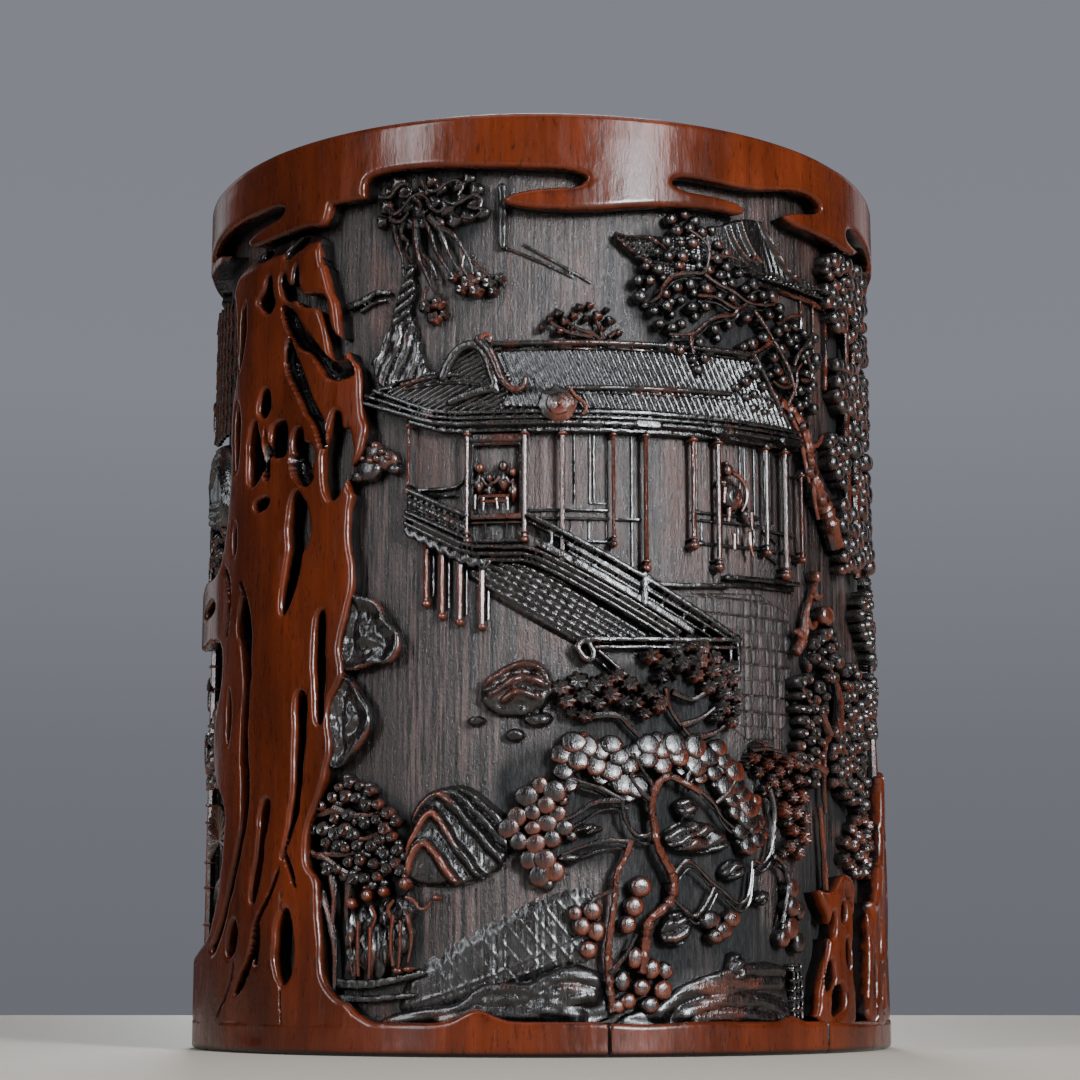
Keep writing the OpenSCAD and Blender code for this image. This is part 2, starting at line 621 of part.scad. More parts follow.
// Rocks and pines between the front scene and the far side
module north_rocks() {
    c = 100;
    color(dark_c)
        carve(c, 0, mid_cut) {
            outline(c, [[86, 5], [88, 22], [91, 38], [96, 52], [100, 60], [104, 50], [109, 40], [113, 22],
                [116, 5]]);
        }
}
module north_foliage() {
    c = 100;
    color(worn_c)
        carve(c, 0, high_cut)
            discs(c, [[92, 72], [97, 75], [102, 72], [107, 76], [95, 84], [100, 88], [106, 86], [92, 96],
                [98, 100], [104, 98], [109, 104], [95, 110], [101, 113], [107, 116], [98, 122]], 3);
}

// The far side: a second crag, hills, a leaning pine, a hut, a boat and a bamboo grove
module back_cliff() {
    c = 140;
    color(skin_c)
        difference() {
            carve(c, 0, full_cut)
                outline(c, [[118, 5], [125, 16], [124, 30], [129, 44], [127, 60], [131, 74], [129, 92],
                    [133, 108], [134, 124], [146, 127], [152, 118], [150, 100], [156, 84], [153, 66],
                    [158, 48], [155, 30], [160, 14], [168, 5]]);
            carve(c, 0.1, full_cut + 1) {
                strip(c, [[139, 118], [137, 108], [138.6, 98]], 2.4, 1.2);
                strip(c, [[145, 108], [146.6, 96], [143.6, 84]], 2, 3);
                strip(c, [[134.6, 84], [136, 72], [133.4, 60]], 3, 1.4);
                strip(c, [[148, 70], [149, 56], [146, 44]], 2, 2.6);
                strip(c, [[140, 60], [141.4, 44], [138.6, 30]], 2.6, 1.2);
                strip(c, [[131.6, 38], [132.6, 26], [130, 16]], 1.6, 2.6);
                strip(c, [[150, 30], [149, 20], [151.6, 12]], 2.2, 1.6);
            }
        }
}
module back_hills() {
    c = 190;
    color(dark_c)
        carve(c, 0, mid_cut) {
            outline(c, [[164, 92], [169, 104], [174, 111], [178, 104], [184, 97], [190, 107], [197, 119],
                [203, 108], [209, 98], [218, 92]]);
        }
}
module back_pine() {
    c = 186;
    color(worn_c)
        carve(c, 0, mid_cut) {
            strip(c, [[176, 8], [178.6, 20], [176, 32], [180, 44], [188, 52], [193, 62], [190, 72]], 5, 2);
            strip(c, [[179.6, 43], [173, 50], [168, 58]], 2.4, 1.2);
            strip(c, [[190, 54], [199, 57], [206, 54]], 2.2, 1.2);
        }
}
module back_pine_leaves() {
    c = 188;
    color(worn_c)
        carve(c, mid_cut, full_cut)
            discs(c, [[166, 58], [169.4, 61], [172.4, 57.6], [186, 74], [190, 76.6], [194, 74], [190, 71],
                [204, 55], [208, 57], [207, 52], [178, 66], [182, 68], [198, 66], [202, 68]], 2.6);
}
module hut_roof() {
    c = 234;
    color(dark_c)
        carve(c, 0, high_cut)
            outline(c, [[216, 46], [222, 52], [227, 58], [241, 58], [246, 52], [252, 46], [246, 48],
                [222, 48]]);
}
module hut_posts() {
    c = 234;
    color(worn_c)
        carve(c, 0, mid_cut) {
            uprights(c, [[222, 31, 47.6], [229, 31, 47.6], [239, 31, 47.6], [246, 31, 47.6]], 1.1);
            outline(c, [[218, 28.6], [250, 28.6], [249, 30.6], [219, 30.6]]);
        }
}
module boat() {
    c = 202;
    color(worn_c)
        carve(c, 0, high_cut) {
            outline(c, [[192, 21], [196, 17.4], [208, 17.4], [213, 21.6], [207, 20], [198, 20]]);
            outline(c, [[199, 20.6], [200.4, 25], [206, 25], [207, 20.6]]);
        }
}
module back_shore() {
    c = 210;
    color(dark_c)
        carve(c, 0, high_cut)
            outline(c, [[170, 5], [176, 7.6], [184, 6.6], [190, 9.4], [199, 7], [210, 10], [219, 8],
                [228, 13], [238, 11], [246, 15], [252, 5]]);
}
module bamboo_stalks() {
    c = 262;
    color(worn_c)
        carve(c, 0, mid_cut) {
            strip(c, [[254, 8], [253, 50], [256, 96]], 1.6, 1);
            strip(c, [[260, 6], [261.4, 60], [259, 112]], 1.8, 1.1);
            strip(c, [[268, 6], [266, 50], [270, 100]], 1.6, 1);
        }
}
module bamboo_leaves() {
    c = 262;
    color(dark_c)
        carve(c, mid_cut, high_cut)
            for (q = [[253, 84], [256, 96], [259, 104], [260, 112], [268, 92], [270, 100], [266, 76],
                [254, 66], [261, 88]])
                for (lean = [-50, -15, 25, 60])
                    translate(flat(q, c))
                        rotate(lean)
                            polygon([[0, 0], [-0.8, -3], [0, -7], [0.8, -3]]);
}

culm_wall();
floor_disc();
rim_band();
rim_clouds();
foot_band();
red_cliff();
cliff_ledges();
cliff_knot();
hanging_pine();
hanging_pine_tufts();
hanging_rock();
far_roof();
far_wall();
small_tree();
plum_boughs();
plum_berries();
plum_trunk();
hall_roof();
hall_ridges();
hall_eaves();
hall_posts();
hall_rails();
room_frame();
room_figures();
drummer();
gallery_rail();
deck();
stilts();
stair();
landing();
ledges();
mid_rocks();
bough_leaves();
pine_trunk();
pine_leaves();
pine_berries();
mountain();
terrace();
shore_rocks();
west_grove();
grove_figures();
staff_figure();
east_trees();
east_tree_berries();
east_rocks();
west_foliage();
north_rocks();
north_foliage();
back_cliff();
back_hills();
back_pine();
back_pine_leaves();
hut_roof();
hut_posts();
boat();
back_shore();
bamboo_stalks();
bamboo_leaves();
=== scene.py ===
# %% [markdown]
# # A carved bamboo brush pot
# The pot is one length of thick bamboo, bored out and carved outside. The smooth red-brown parts are the
# bamboo's own skin. Everything dark lies below it, on a ground that the carver cut back by nearly 4 mm.
# So the model is built as a carver works: first a plain ground, then every motif standing on it.

# %% Load the frame
import math
import bpy
import numpy as np
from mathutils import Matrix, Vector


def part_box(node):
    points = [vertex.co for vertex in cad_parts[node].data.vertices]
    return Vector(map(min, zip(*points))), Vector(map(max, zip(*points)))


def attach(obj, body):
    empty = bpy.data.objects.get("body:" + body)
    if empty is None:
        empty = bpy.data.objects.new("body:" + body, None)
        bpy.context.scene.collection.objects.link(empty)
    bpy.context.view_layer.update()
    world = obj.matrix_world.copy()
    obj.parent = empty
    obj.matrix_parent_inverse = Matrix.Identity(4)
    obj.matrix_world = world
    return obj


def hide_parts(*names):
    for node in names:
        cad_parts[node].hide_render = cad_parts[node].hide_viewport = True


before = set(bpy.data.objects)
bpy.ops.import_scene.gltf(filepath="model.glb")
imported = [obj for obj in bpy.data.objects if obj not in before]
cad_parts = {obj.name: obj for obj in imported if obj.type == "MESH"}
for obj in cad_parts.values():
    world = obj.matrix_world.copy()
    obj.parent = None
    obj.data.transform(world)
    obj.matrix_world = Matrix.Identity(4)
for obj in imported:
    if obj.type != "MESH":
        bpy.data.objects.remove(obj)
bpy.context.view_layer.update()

# %% [markdown]
# ## Sizes and the flat drawing
# A carver draws the scene on paper and wraps the paper round the tube. The same trick keeps this script
# readable: each motif is drawn flat, as azimuth in degrees (0 faces the viewer, + is to the right) and height
# in millimetres, and one function bends the finished relief round the tube.

# %% Sizes from the frame
MM = 0.001
POT_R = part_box("foot_band")[1].x / MM
POT_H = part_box("rim_band")[1].z / MM
RELIEF = 3.8
GROUND_R = POT_R - RELIEF
BORE_R = 46.0
FOOT_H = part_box("foot_band")[1].z / MM
SUNK = -0.7
DEG = math.pi / 180 * POT_R


def flat(points):
    """Turns [azimuth, height] pairs into millimetres along the skin and millimetres up."""
    return np.array([(a * DEG, z) for a, z in points])


def bend(x, h, z):
    """Bends the flat drawing round the tube: h is the height above the carved ground, in millimetres."""
    radius = GROUND_R + h
    return np.stack([radius * np.sin(x / POT_R), -radius * np.cos(x / POT_R), z], -1) * MM


print("radius", POT_R, "height", POT_H, "ground radius", GROUND_R)

# %% [markdown]
# ## Soft noise
# Hand work is never quite even. A small lattice of random numbers, blended smoothly, gives the same slow
# waver on every run, because the lattice is drawn from a fixed seed.

# %% Noise and easing
LATTICE = np.random.default_rng(7).random((64, 64))


def waver(x, z, pitch_x, pitch_z, shift=0):
    """Smooth noise from -1 to 1 with the given grain size in millimetres."""
    u, v = x / pitch_x + 17.3 * shift, z / pitch_z + 5.1 * shift
    i, j = np.floor(u).astype(int), np.floor(v).astype(int)
    s, t = u - i, v - j
    s, t = s * s * (3 - 2 * s), t * t * (3 - 2 * t)
    pick = lambda a, b: LATTICE[a % 64, b % 64]
    low = pick(i, j) * (1 - s) + pick(i + 1, j) * s
    high = pick(i, j + 1) * (1 - s) + pick(i + 1, j + 1) * s
    return 2 * (low * (1 - t) + high * t) - 1


def ease(value, low, high):
    """0 below low, 1 above high, and smooth between."""
    t = np.clip((value - low) / (high - low), 0, 1)
    return t * t * (3 - 2 * t)


print("waver at a point", float(waver(np.array(3.0), np.array(4.0), 2, 2)))

# %% [markdown]
# ## Distance to an outline
# A relief is easy to shape once every point knows how far it is from the edge of its motif: negative inside,
# positive outside. From that one number come rounded edges, slots, grooves and ridges. Corners are cut twice
# (Chaikin's way), so a few chosen points give a flowing outline.

# %% Outlines and strokes
def soften(points, rounds=2, closed=True):
    """Cuts the corners of an outline or a path."""
    p = np.asarray(points, float)
    for _ in range(rounds):
        q = np.roll(p, -1, 0) if closed else p[1:]
        a = p if closed else p[:-1]
        cut = np.stack([a * 0.75 + q * 0.25, a * 0.25 + q * 0.75], 1).reshape(-1, p.shape[1])
        p = cut if closed else np.vstack([p[:1], cut[1:-1], p[-1:]])
    return p


def near(x, z, p, reach):
    """The grid points within reach of a shape's box, so that far ones cost nothing."""
    return ((x > p[:, 0].min() - reach) & (x < p[:, 0].max() + reach)
            & (z > p[:, 1].min() - reach) & (z < p[:, 1].max() + reach))


def area(x, z, points, rounds=2, reach=5.0):
    """Signed distance to a closed outline given in degrees and millimetres."""
    p = soften(flat(points), rounds)
    out = np.full(x.shape, reach)
    m = near(x, z, p, reach)
    u, v = x[m], z[m]
    best, inside = np.full(u.shape, reach ** 2), np.zeros(u.shape, bool)
    for (ax, az), (bx, bz) in zip(p, np.roll(p, -1, 0)):
        ex, ez = bx - ax, bz - az
        t = np.clip(((u - ax) * ex + (v - az) * ez) / (ex * ex + ez * ez + 1e-12), 0, 1)
        best = np.minimum(best, (u - ax - t * ex) ** 2 + (v - az - t * ez) ** 2)
        if az != bz:
            inside ^= ((az > v) != (bz > v)) & (u < ex * (v - az) / ez + ax)
    out[m] = np.where(inside, -1, 1) * np.sqrt(best)
    return out


def stroke(x, z, points, w0, w1=None, rounds=2, reach=4.0):
    """Signed distance to a path whose width runs from w0 to w1, in millimetres."""
    w1 = w0 if w1 is None else w1
    p = soften(flat(points), rounds, closed=False)
    out = np.full(x.shape, reach)
    m = near(x, z, p, reach + max(w0, w1))
    u, v = x[m], z[m]
    run = np.concatenate([[0], np.cumsum(np.linalg.norm(np.diff(p, axis=0), axis=1))])
    best = np.full(u.shape, reach)
    for i in range(len(p) - 1):
        ex, ez = p[i + 1] - p[i]
        t = np.clip(((u - p[i, 0]) * ex + (v - p[i, 1]) * ez) / (ex * ex + ez * ez + 1e-12), 0, 1)
        along = (run[i] + t * (run[i + 1] - run[i])) / run[-1]
        gap = np.hypot(u - p[i, 0] - t * ex, v - p[i, 1] - t * ez)
        best = np.minimum(best, gap - (w0 + (w1 - w0) * along) / 2)
    out[m] = best
    return out


def join(*distances):
    return np.minimum.reduce(distances)


def cut(shape, *holes):
    return np.maximum.reduce([shape] + [-hole for hole in holes])


def edge(d, radius):
    """How far a quarter-round edge drops below the top, for a distance d inside the outline."""
    t = np.clip(1 + d / radius, 0, 1)
    return radius * (1 - np.sqrt(1 - t * t))


print("half a square millimetre inside:", area(np.array([[0.5]]), np.array([[0.5]]),
                                               [(0, 0), (1, 0), (1, 1), (0, 1)], 0))

# %% [markdown]
# ## Materials
# All the wood is bamboo, stained and waxed. Its colour depends on how much it has been handled: the ground is
# nearly black, the skin is red-brown, and high edges that fingers reach are worn from black to red. Each mesh
# therefore carries one value at every point for wear and painted shade, and one recipe turns it into colour.
# Above zero the value is wear. Below zero it blends the colour towards near black. Most of that is painted shade
# in recesses, on undercut sides, under twigs and at the feet of pads; the rest is dark cracks and darker
# patches.
# Ambient occlusion darkens recesses further, which is painted shade too, and convex edges are mixed towards
# pale grey, which is a painted highlight. Long thin noise, stretched up the culm, makes the fibres, and a
# fine bump breaks up the shine. Specular level and coat are the same all over each wood.

# %% Shader helpers
def add_node(tree, kind, **settings):
    item = tree.nodes.new(kind)
    for key, value in settings.items():
        setattr(item, key, value)
    return item


def wire(tree, source, target):
    tree.links.new(source, target)


def blend_colour(tree, factor, first, second, mode="MIX"):
    """Mixes two colours, each a socket or a plain colour."""
    mix = add_node(tree, "ShaderNodeMix", data_type="RGBA", blend_type=mode)
    for socket, value in ((mix.inputs[0], factor), (mix.inputs[6], first), (mix.inputs[7], second)):
        if hasattr(value, "links") or hasattr(value, "is_output"):
            wire(tree, value, socket)
        elif isinstance(value, float):
            socket.default_value = value
        else:
            socket.default_value = (*value, 1)
    return mix.outputs[2]


def ramp(tree, source, *stops):
    """A colour ramp; each stop is (position, grey level)."""
    item = add_node(tree, "ShaderNodeValToRGB")
    elements = item.color_ramp.elements
    while len(elements) < len(stops):
        elements.new(0.5)
    for element, (place, grey) in zip(elements, stops):
        element.position = place
        element.color = (grey, grey, grey, 1)
    wire(tree, source, item.inputs[0])
    return item.outputs[0]


def grain(tree, stretch, scale, detail=4.0, rough=0.6, distort=0.0):
    """Noise in millimetres, stretched by (x, y, z)."""
    place = add_node(tree, "ShaderNodeTexCoord").outputs["Object"]
    mapping = add_node(tree, "ShaderNodeMapping")
    mapping.inputs["Scale"].default_value = [s / MM for s in stretch]
    wire(tree, place, mapping.inputs[0])
    noise = add_node(tree, "ShaderNodeTexNoise")
    noise.inputs["Scale"].default_value = scale
    noise.inputs["Detail"].default_value = detail
    noise.inputs["Roughness"].default_value = rough
    noise.inputs["Distortion"].default_value = distort
    wire(tree, mapping.outputs[0], noise.inputs["Vector"])
    return noise.outputs[0]


def calculate(tree, operation, first, second=None, clamp=False):
    item = add_node(tree, "ShaderNodeMath", operation=operation, use_clamp=clamp)
    for socket, value in zip(item.inputs, (first, second)):
        if isinstance(value, (int, float)):
            socket.default_value = value
        elif value is not None:
            wire(tree, value, socket)
    return item.outputs[0]


print("shader helpers ready")

# %% Bamboo recipe
# Near black that negative values paint in: painted shade in recesses, on undercut sides and under twigs and
# pads, and dark cracks.
INK_AND_SHADE_BLACK = (0.0004, 0.0003, 0.0003)
# Pale grey mixed onto convex edges: a painted highlight along the arrises.
EDGE_GLINT_GREY = (0.11, 0.075, 0.065)
# Reach of the ambient occlusion below, in millimetres; it paints shade into recesses.
RECESS_REACH = 2.2
COAT_ROUGHNESS = 0.2


def bamboo(name, deep, body, worn, fibre, shine, coat, bump, pore, soot=0.4,
           edge_glint=0.2, relief=0.16, gloss=0.6, spread=0.3, drift=(0.09, 0.4), contrast=0.12):
    """Stained bamboo: deep and body are the two ends of the fibre colour, worn is where hands have rubbed."""
    material = bpy.data.materials.new(name)
    material.use_nodes = True
    tree = material.node_tree
    shader = tree.nodes["Principled BSDF"]
    streak = grain(tree, (1, 1, 0.035), fibre, 5.0, 0.65)
    cloud = grain(tree, (1, 1, drift[1]), drift[0], 3.0, 0.55)
    speck = grain(tree, (1, 1, 0.25), pore, 2.0, 0.6)
    mottle = grain(tree, (1, 1, 0.6), 0.55, 4.0, 0.7)
    base = blend_colour(tree, ramp(tree, streak, (0.52 - contrast, 0.0), (0.52 + contrast, 1.0)), deep, body)
    base = blend_colour(tree, calculate(tree, "MULTIPLY", ramp(tree, cloud, (0.40, 0.0), (0.62, 1.0)), 0.75),
                        base, [c * 0.2 for c in body])
    wear = add_node(tree, "ShaderNodeAttribute", attribute_name="wear").outputs["Fac"]
    patchy = calculate(tree, "ADD", wear, calculate(tree, "MULTIPLY",
                                                    calculate(tree, "SUBTRACT", mottle, 0.5), 0.8))
    rubbed = ramp(tree, patchy, (0.3, 0.0), (0.72, 1.0))
    glow = blend_colour(tree, ramp(tree, streak, (0.3, 0.0), (0.7, 1.0)), [c * 0.55 for c in worn], worn)
    glow = blend_colour(tree, calculate(tree, "MULTIPLY", ramp(tree, cloud, (0.3, 1.0), (0.62, 0.0)), soot),
                        glow,
                        [c * 0.3 for c in worn])
    base = blend_colour(tree, rubbed, base, glow)
    base = blend_colour(tree, calculate(tree, "MULTIPLY", ramp(tree, speck, (0.3, 1.0), (0.42, 0.0)), 0.5),
                        base, [c * 0.3 for c in deep])
    # Convex edges, found by pointiness, are mixed towards pale grey: a painted highlight.
    edge_glint_mask = ramp(tree, add_node(tree, "ShaderNodeNewGeometry").outputs["Pointiness"], (0.54, 0.0),
                 (0.66, 1.0))
    base = blend_colour(tree, calculate(tree, "MULTIPLY", edge_glint_mask, edge_glint), base, EDGE_GLINT_GREY)
    # Ambient occlusion darkens the colour in recesses towards near black: painted shade.
    hollow = add_node(tree, "ShaderNodeAmbientOcclusion", samples=6)
    hollow.inputs["Distance"].default_value = RECESS_REACH * MM
    open_air = ramp(tree, hollow.outputs["AO"], (0.30, 0.0), (0.80, 1.0))
    base = blend_colour(tree, open_air, [c * 0.15 for c in deep], base)
    # Negative values blend the colour towards near black: mostly painted shade, and also dark cracks and darker
    # patches.
    ink_and_painted_shade = calculate(tree, "MULTIPLY", wear, -1.0, clamp=True)
    base = blend_colour(tree, ink_and_painted_shade, base, INK_AND_SHADE_BLACK)
    wire(tree, base, shader.inputs["Base Color"])
    shader.inputs["Specular IOR Level"].default_value = gloss
    shader.inputs["Coat Weight"].default_value = coat
    dash = grain(tree, (1, 1, 0.16), fibre * 1.7, 3.0, 0.7)
    rough = calculate(tree, "ADD", calculate(tree, "MULTIPLY", ramp(tree, dash, (0.36, 1.0), (0.62, 0.0)),
                                             spread), shine)
    rough = calculate(tree, "ADD", rough, calculate(tree, "MULTIPLY", ink_and_painted_shade, 0.4), clamp=True)
    wire(tree, rough, shader.inputs["Roughness"])
    shader.inputs["Coat Roughness"].default_value = COAT_ROUGHNESS
    height = calculate(tree, "ADD", calculate(tree, "MULTIPLY", streak, 0.6),
                       calculate(tree, "MULTIPLY", dash, 0.7))
    crumb = grain(tree, (1, 1, 0.6), fibre * 1.3, 3.0, 0.7)
    height = calculate(tree, "ADD", height, calculate(tree, "MULTIPLY", crumb, 0.9))
    relief_bump = add_node(tree, "ShaderNodeBump")
    relief_bump.inputs["Strength"].default_value = bump
    relief_bump.inputs["Distance"].default_value = relief * MM
    wire(tree, height, relief_bump.inputs["Height"])
    wire(tree, relief_bump.outputs[0], shader.inputs["Normal"])
    return material


GROUND_WOOD = bamboo("dark_bamboo_ground", (0.0012, 0.0008, 0.0008), (0.066, 0.042, 0.037),
                     (0.085, 0.034, 0.024),
                     fibre=2.1, shine=0.22, coat=0.0, bump=1.0, pore=3.5, relief=0.15, edge_glint=0.1, gloss=0.38,
                     spread=0.3, drift=(0.35, 0.05),
                     contrast=0.075)
SKIN_WOOD = bamboo("polished_bamboo_skin", (0.003, 0.002, 0.002), (0.010, 0.006, 0.005),
                   (0.115, 0.020, 0.006),
                   fibre=0.45, shine=0.17, coat=0.08, bump=0.3, pore=2.0, soot=0.9, edge_glint=0.1, gloss=0.28,
                   spread=0.12)
CARVED_WOOD = bamboo("carved_dark_bamboo", (0.002, 0.0015, 0.0015), (0.013, 0.0085, 0.008),
                     (0.115, 0.021, 0.007),
                     fibre=1.8, shine=0.14, coat=0.3, bump=1.0, pore=4.0, relief=0.07, edge_glint=0.12,
                     gloss=0.55, spread=0.2)
FLOOR_WOOD = bamboo("waxed_floor_board", (0.020, 0.008, 0.005), (0.045, 0.017, 0.009), (0.06, 0.02, 0.009),
                    fibre=0.3, shine=0.36, coat=0.1, bump=0.5, pore=2.5)
print("woods", [m.name for m in bpy.data.materials])

# %% [markdown]
# ## Making pieces
# A relief piece is a grid laid on the drawing. Cells outside the outline are dropped, the grid points just
# outside it are slid onto it, and each point is lifted to its height. A skirt then drops from the edge into
# the wall, leaning inwards, as an undercut does on the real pot. That gives smooth edges and true sides.

# %% Mesh to piece
def piece(name, verts, faces, wood, replaces=(), wear=None, uv=None, crease=42):
    mesh = bpy.data.meshes.new(name)
    mesh.from_pydata(verts.tolist(), [], faces)
    mesh.materials.append(wood)
    mesh.shade_smooth()
    mesh.set_sharp_from_angle(angle=math.radians(crease))
    worn = mesh.attributes.new("wear", "FLOAT", "POINT")
    worn.data.foreach_set("value", np.zeros(len(verts)) if wear is None else np.asarray(wear, float))
    if uv is not None:
        corner = np.zeros(len(mesh.loops), int)
        mesh.loops.foreach_get("vertex_index", corner)
        layer = mesh.uv_layers.new(name="OFBake")
        layer.data.foreach_set("uv", uv[corner].ravel())
    body = bpy.data.objects.new(name, mesh)
    bpy.context.collection.objects.link(body)
    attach(body, "root")
    if replaces:
        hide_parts(*replaces)
    print(name, len(mesh.polygons), "faces")
    return body


def relief_mesh(span, shape, height, step=0.25, undercut=0.35, wear=None, wrap=False):
    """Vertices, faces, per-point values for worn red and painted shade, and map of a relief on the patch span =
    (az0, az1, z0, z1).
    """
    az0, az1, z0, z1 = span
    columns = int(round((az1 - az0) * DEG / step)) + 1
    rows = int(round((z1 - z0) / step)) + 1
    x, z = np.meshgrid(np.linspace(az0, az1, columns) * DEG, np.linspace(z0, z1, rows))
    if wrap:
        x, z = x[:, :-1], z[:, :-1]
    d = shape(x, z)
    inside = d < 0
    right = np.roll(np.arange(x.shape[1]), -1) if wrap else np.arange(1, x.shape[1])
    left = np.arange(x.shape[1]) if wrap else np.arange(x.shape[1] - 1)
    kept = inside[:-1][:, left] | inside[1:][:, left] | inside[:-1][:, right] | inside[1:][:, right]
    index = np.arange(x.size).reshape(x.shape)
    a, b = index[:-1][:, left], index[:-1][:, right]
    c, e = index[1:][:, right], index[1:][:, left]
    top = np.stack([a[kept], b[kept], c[kept], e[kept]], 1)
    gz, gx = np.gradient(d, z[1, 0] - z[0, 0], x[0, 1] - x[0, 0])
    size = np.maximum(gx ** 2 + gz ** 2, 0.3)
    used = np.zeros(x.size, bool)
    used[top.ravel()] = True
    slide = np.where(used.reshape(x.shape) & ~inside, np.clip(d, 0, 1.5 * step), 0) / size
    x = x - slide * gx
    z = np.clip(z - slide * gz, z0, z1)
    d = np.where(inside, d, 0)
    h = height(x, z, d)
    pad = np.pad(kept, 1)
    if wrap:
        pad[1:-1, 0], pad[1:-1, -1] = kept[:, -1], kept[:, 0]
    sides = []
    for other, p, q in ((pad[:-2, 1:-1], a, b), (pad[2:, 1:-1], c, e), (pad[1:-1, :-2], e, a),
                        (pad[1:-1, 2:], b, c)):
        border = kept & ~other
        sides.append(np.stack([p[border], q[border]], 1))
    sides = np.concatenate(sides)
    foot = np.unique(sides)
    lower = np.full(x.size, -1)
    lower[foot] = x.size + np.arange(len(foot))
    norm = np.sqrt(size).ravel()[foot]
    fx = x.ravel()[foot] - undercut * gx.ravel()[foot] / norm
    fz = np.clip(z.ravel()[foot] - undercut * gz.ravel()[foot] / norm, z0, z1)
    verts = np.concatenate([bend(x.ravel(), h.ravel(), z.ravel()), bend(fx, np.full(len(foot), SUNK), fz)])
    p, q = sides[:, 0], sides[:, 1]
    faces = np.concatenate([top, np.stack([q, p, lower[p], lower[q]], 1)])
    value = np.zeros(x.shape) if wear is None else wear(x, z, d, h)
    # The skirts get -0.8, which paints the undercut sides near black as painted shade; at the lip they get 1.0
    # and count as worn.
    value = np.concatenate([np.asarray(value).ravel(), np.where(fz > POT_H - 0.3, 1.0, -0.8)])
    width, tall = x.max() - x.min(), z.max() - z.min()
    uv = np.stack([np.concatenate([(x.ravel() - x.min()) / width, (fx - x.min()) / width]),
                   np.concatenate([(z.ravel() - z.min()) / tall, (fz - z.min()) / tall])], 1)
    kept_points, remap = np.unique(faces, return_inverse=True)
    return verts[kept_points], remap.reshape(faces.shape).tolist(), value[kept_points], np.clip(uv, 0,
            1)[kept_points]


def relief(name, span, shape, height, replaces=(), wood=CARVED_WOOD, slot="dark_relief", **options):
    verts, faces, wear, uv = relief_mesh(span, shape, height, **options)
    return piece(name, verts, faces, wood, replaces, wear, uv)


print("relief maker ready")

# %% [markdown]
# ## The ground
# The carver pares the wall back with flat chisels and leaves it almost bare, so the long fibres of the bamboo
# show as fine upright ridges. They are real ridges here: every column of the mesh has its own small height,
# which drifts slowly on the way up. The same piece carries the bore, the top and the step for the floor. Under
# the trees and clouds the patches listed below are painted near black: painted shadow on the ground.

# %% Ground wall
FLOOR_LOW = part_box("floor_disc")[0].z / MM
FLOOR_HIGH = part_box("floor_disc")[1].z / MM
FLOOR_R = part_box("floor_disc")[1].x / MM
FIBRES = 960
fibre = np.random.default_rng(3)
ridge = fibre.normal(0, 0.035, FIBRES) + np.repeat(fibre.normal(0, 0.02, FIBRES // 3), 3)
heights = np.linspace(0, POT_H - 0.3, 56)
turn = np.linspace(-math.pi, math.pi, FIBRES, endpoint=False)
around, up = np.meshgrid(turn * POT_R, heights)
grown = ridge[None, :] * (0.75 + 0.5 * waver(around, up, 3.0, 20.0)) + 0.07 * waver(around, up, 9.0, 30.0, 1)
profile = [(BORE_R + 1.2, POT_H), (BORE_R + 0.35, POT_H - 0.35), (BORE_R, POT_H - 1.2), (BORE_R, 90),
           (BORE_R, 50),
           (BORE_R, FLOOR_HIGH), (FLOOR_R, FLOOR_HIGH), (FLOOR_R, 0)]
rings = [np.stack([(GROUND_R + g) * np.sin(turn), -(GROUND_R + g) * np.cos(turn), np.full(FIBRES, z)], -1)
         for g, z in zip(grown, heights)]
rings += [np.stack([r * np.sin(turn), -r * np.cos(turn), np.full(FIBRES, z)], -1)
          for r, z in [(GROUND_R - 0.8, POT_H)] + profile]
verts = np.concatenate(rings) * MM
a = np.arange(len(rings) * FIBRES).reshape(len(rings), FIBRES)
b = np.roll(a, -1, 1)
faces = np.stack([a, b, np.roll(b, -1, 0), np.roll(a, -1, 0)], -1).reshape(-1, 4)
run = np.concatenate([[0], np.cumsum([np.abs(q - p).max() for p, q in zip(rings, rings[1:])])])
uv = np.stack([np.tile((turn + math.pi) / (2 * math.pi), len(rings)), np.repeat(run / run[-1], FIBRES)], 1)
# Patches under the trees and clouds that are painted near black: painted shadow on the ground.
SHADOW_PATCHES = [[(-8, 42), (0, 47), (12, 48), (24, 48), (34, 44), (38, 34), (36, 22), (45, 14), (46, 8), (34, 13),
            (24, 12), (14, 6),
            (11, 12), (14, 22), (8, 28), (-2, 24), (-6, 30)], [(2, 56), (14, 58), (32, 60), (34, 48),
        (20, 43), (12, 46), (2, 50)],
           [(15, 127), (30, 129), (36, 120), (52, 114), (54, 100), (44, 96), (32, 97), (30, 107), (22, 103),
            (14, 112)],
           [(-31, 133), (-9, 134), (-8, 127), (-14, 122), (-26, 122)],
           [(-42, 38), (-30, 41), (-21, 37), (-20, 26), (-18, 11), (-36, 9)],
           [(44, 62), (74, 64), (78, 34), (60, 34), (44, 41)], [(57, 130), (80, 131), (82, 74), (60, 74)],
           [(-60, 131), (-88, 131), (-90, 8), (-60, 14)], [(46, 34), (60, 34), (66, 4), (46, 4)]]
painted_shadow = np.maximum.reduce([ease(-area(around, up, hollow), -1.6, 1.4) for hollow in SHADOW_PATCHES])
# Random tone of the ground, minus the painted shadow.
tone_and_painted_shadow = 0.25 + 0.35 * waver(around, up, 5.0, 30.0, 2) - 1.25 * painted_shadow
tone_and_painted_shadow = np.concatenate([tone_and_painted_shadow.ravel(), np.full((len(profile) + 1) * FIBRES, 0.55)])
piece("culm_wall_ground", verts, faces.tolist(), GROUND_WOOD, ["culm_wall"], tone_and_painted_shadow, uv)

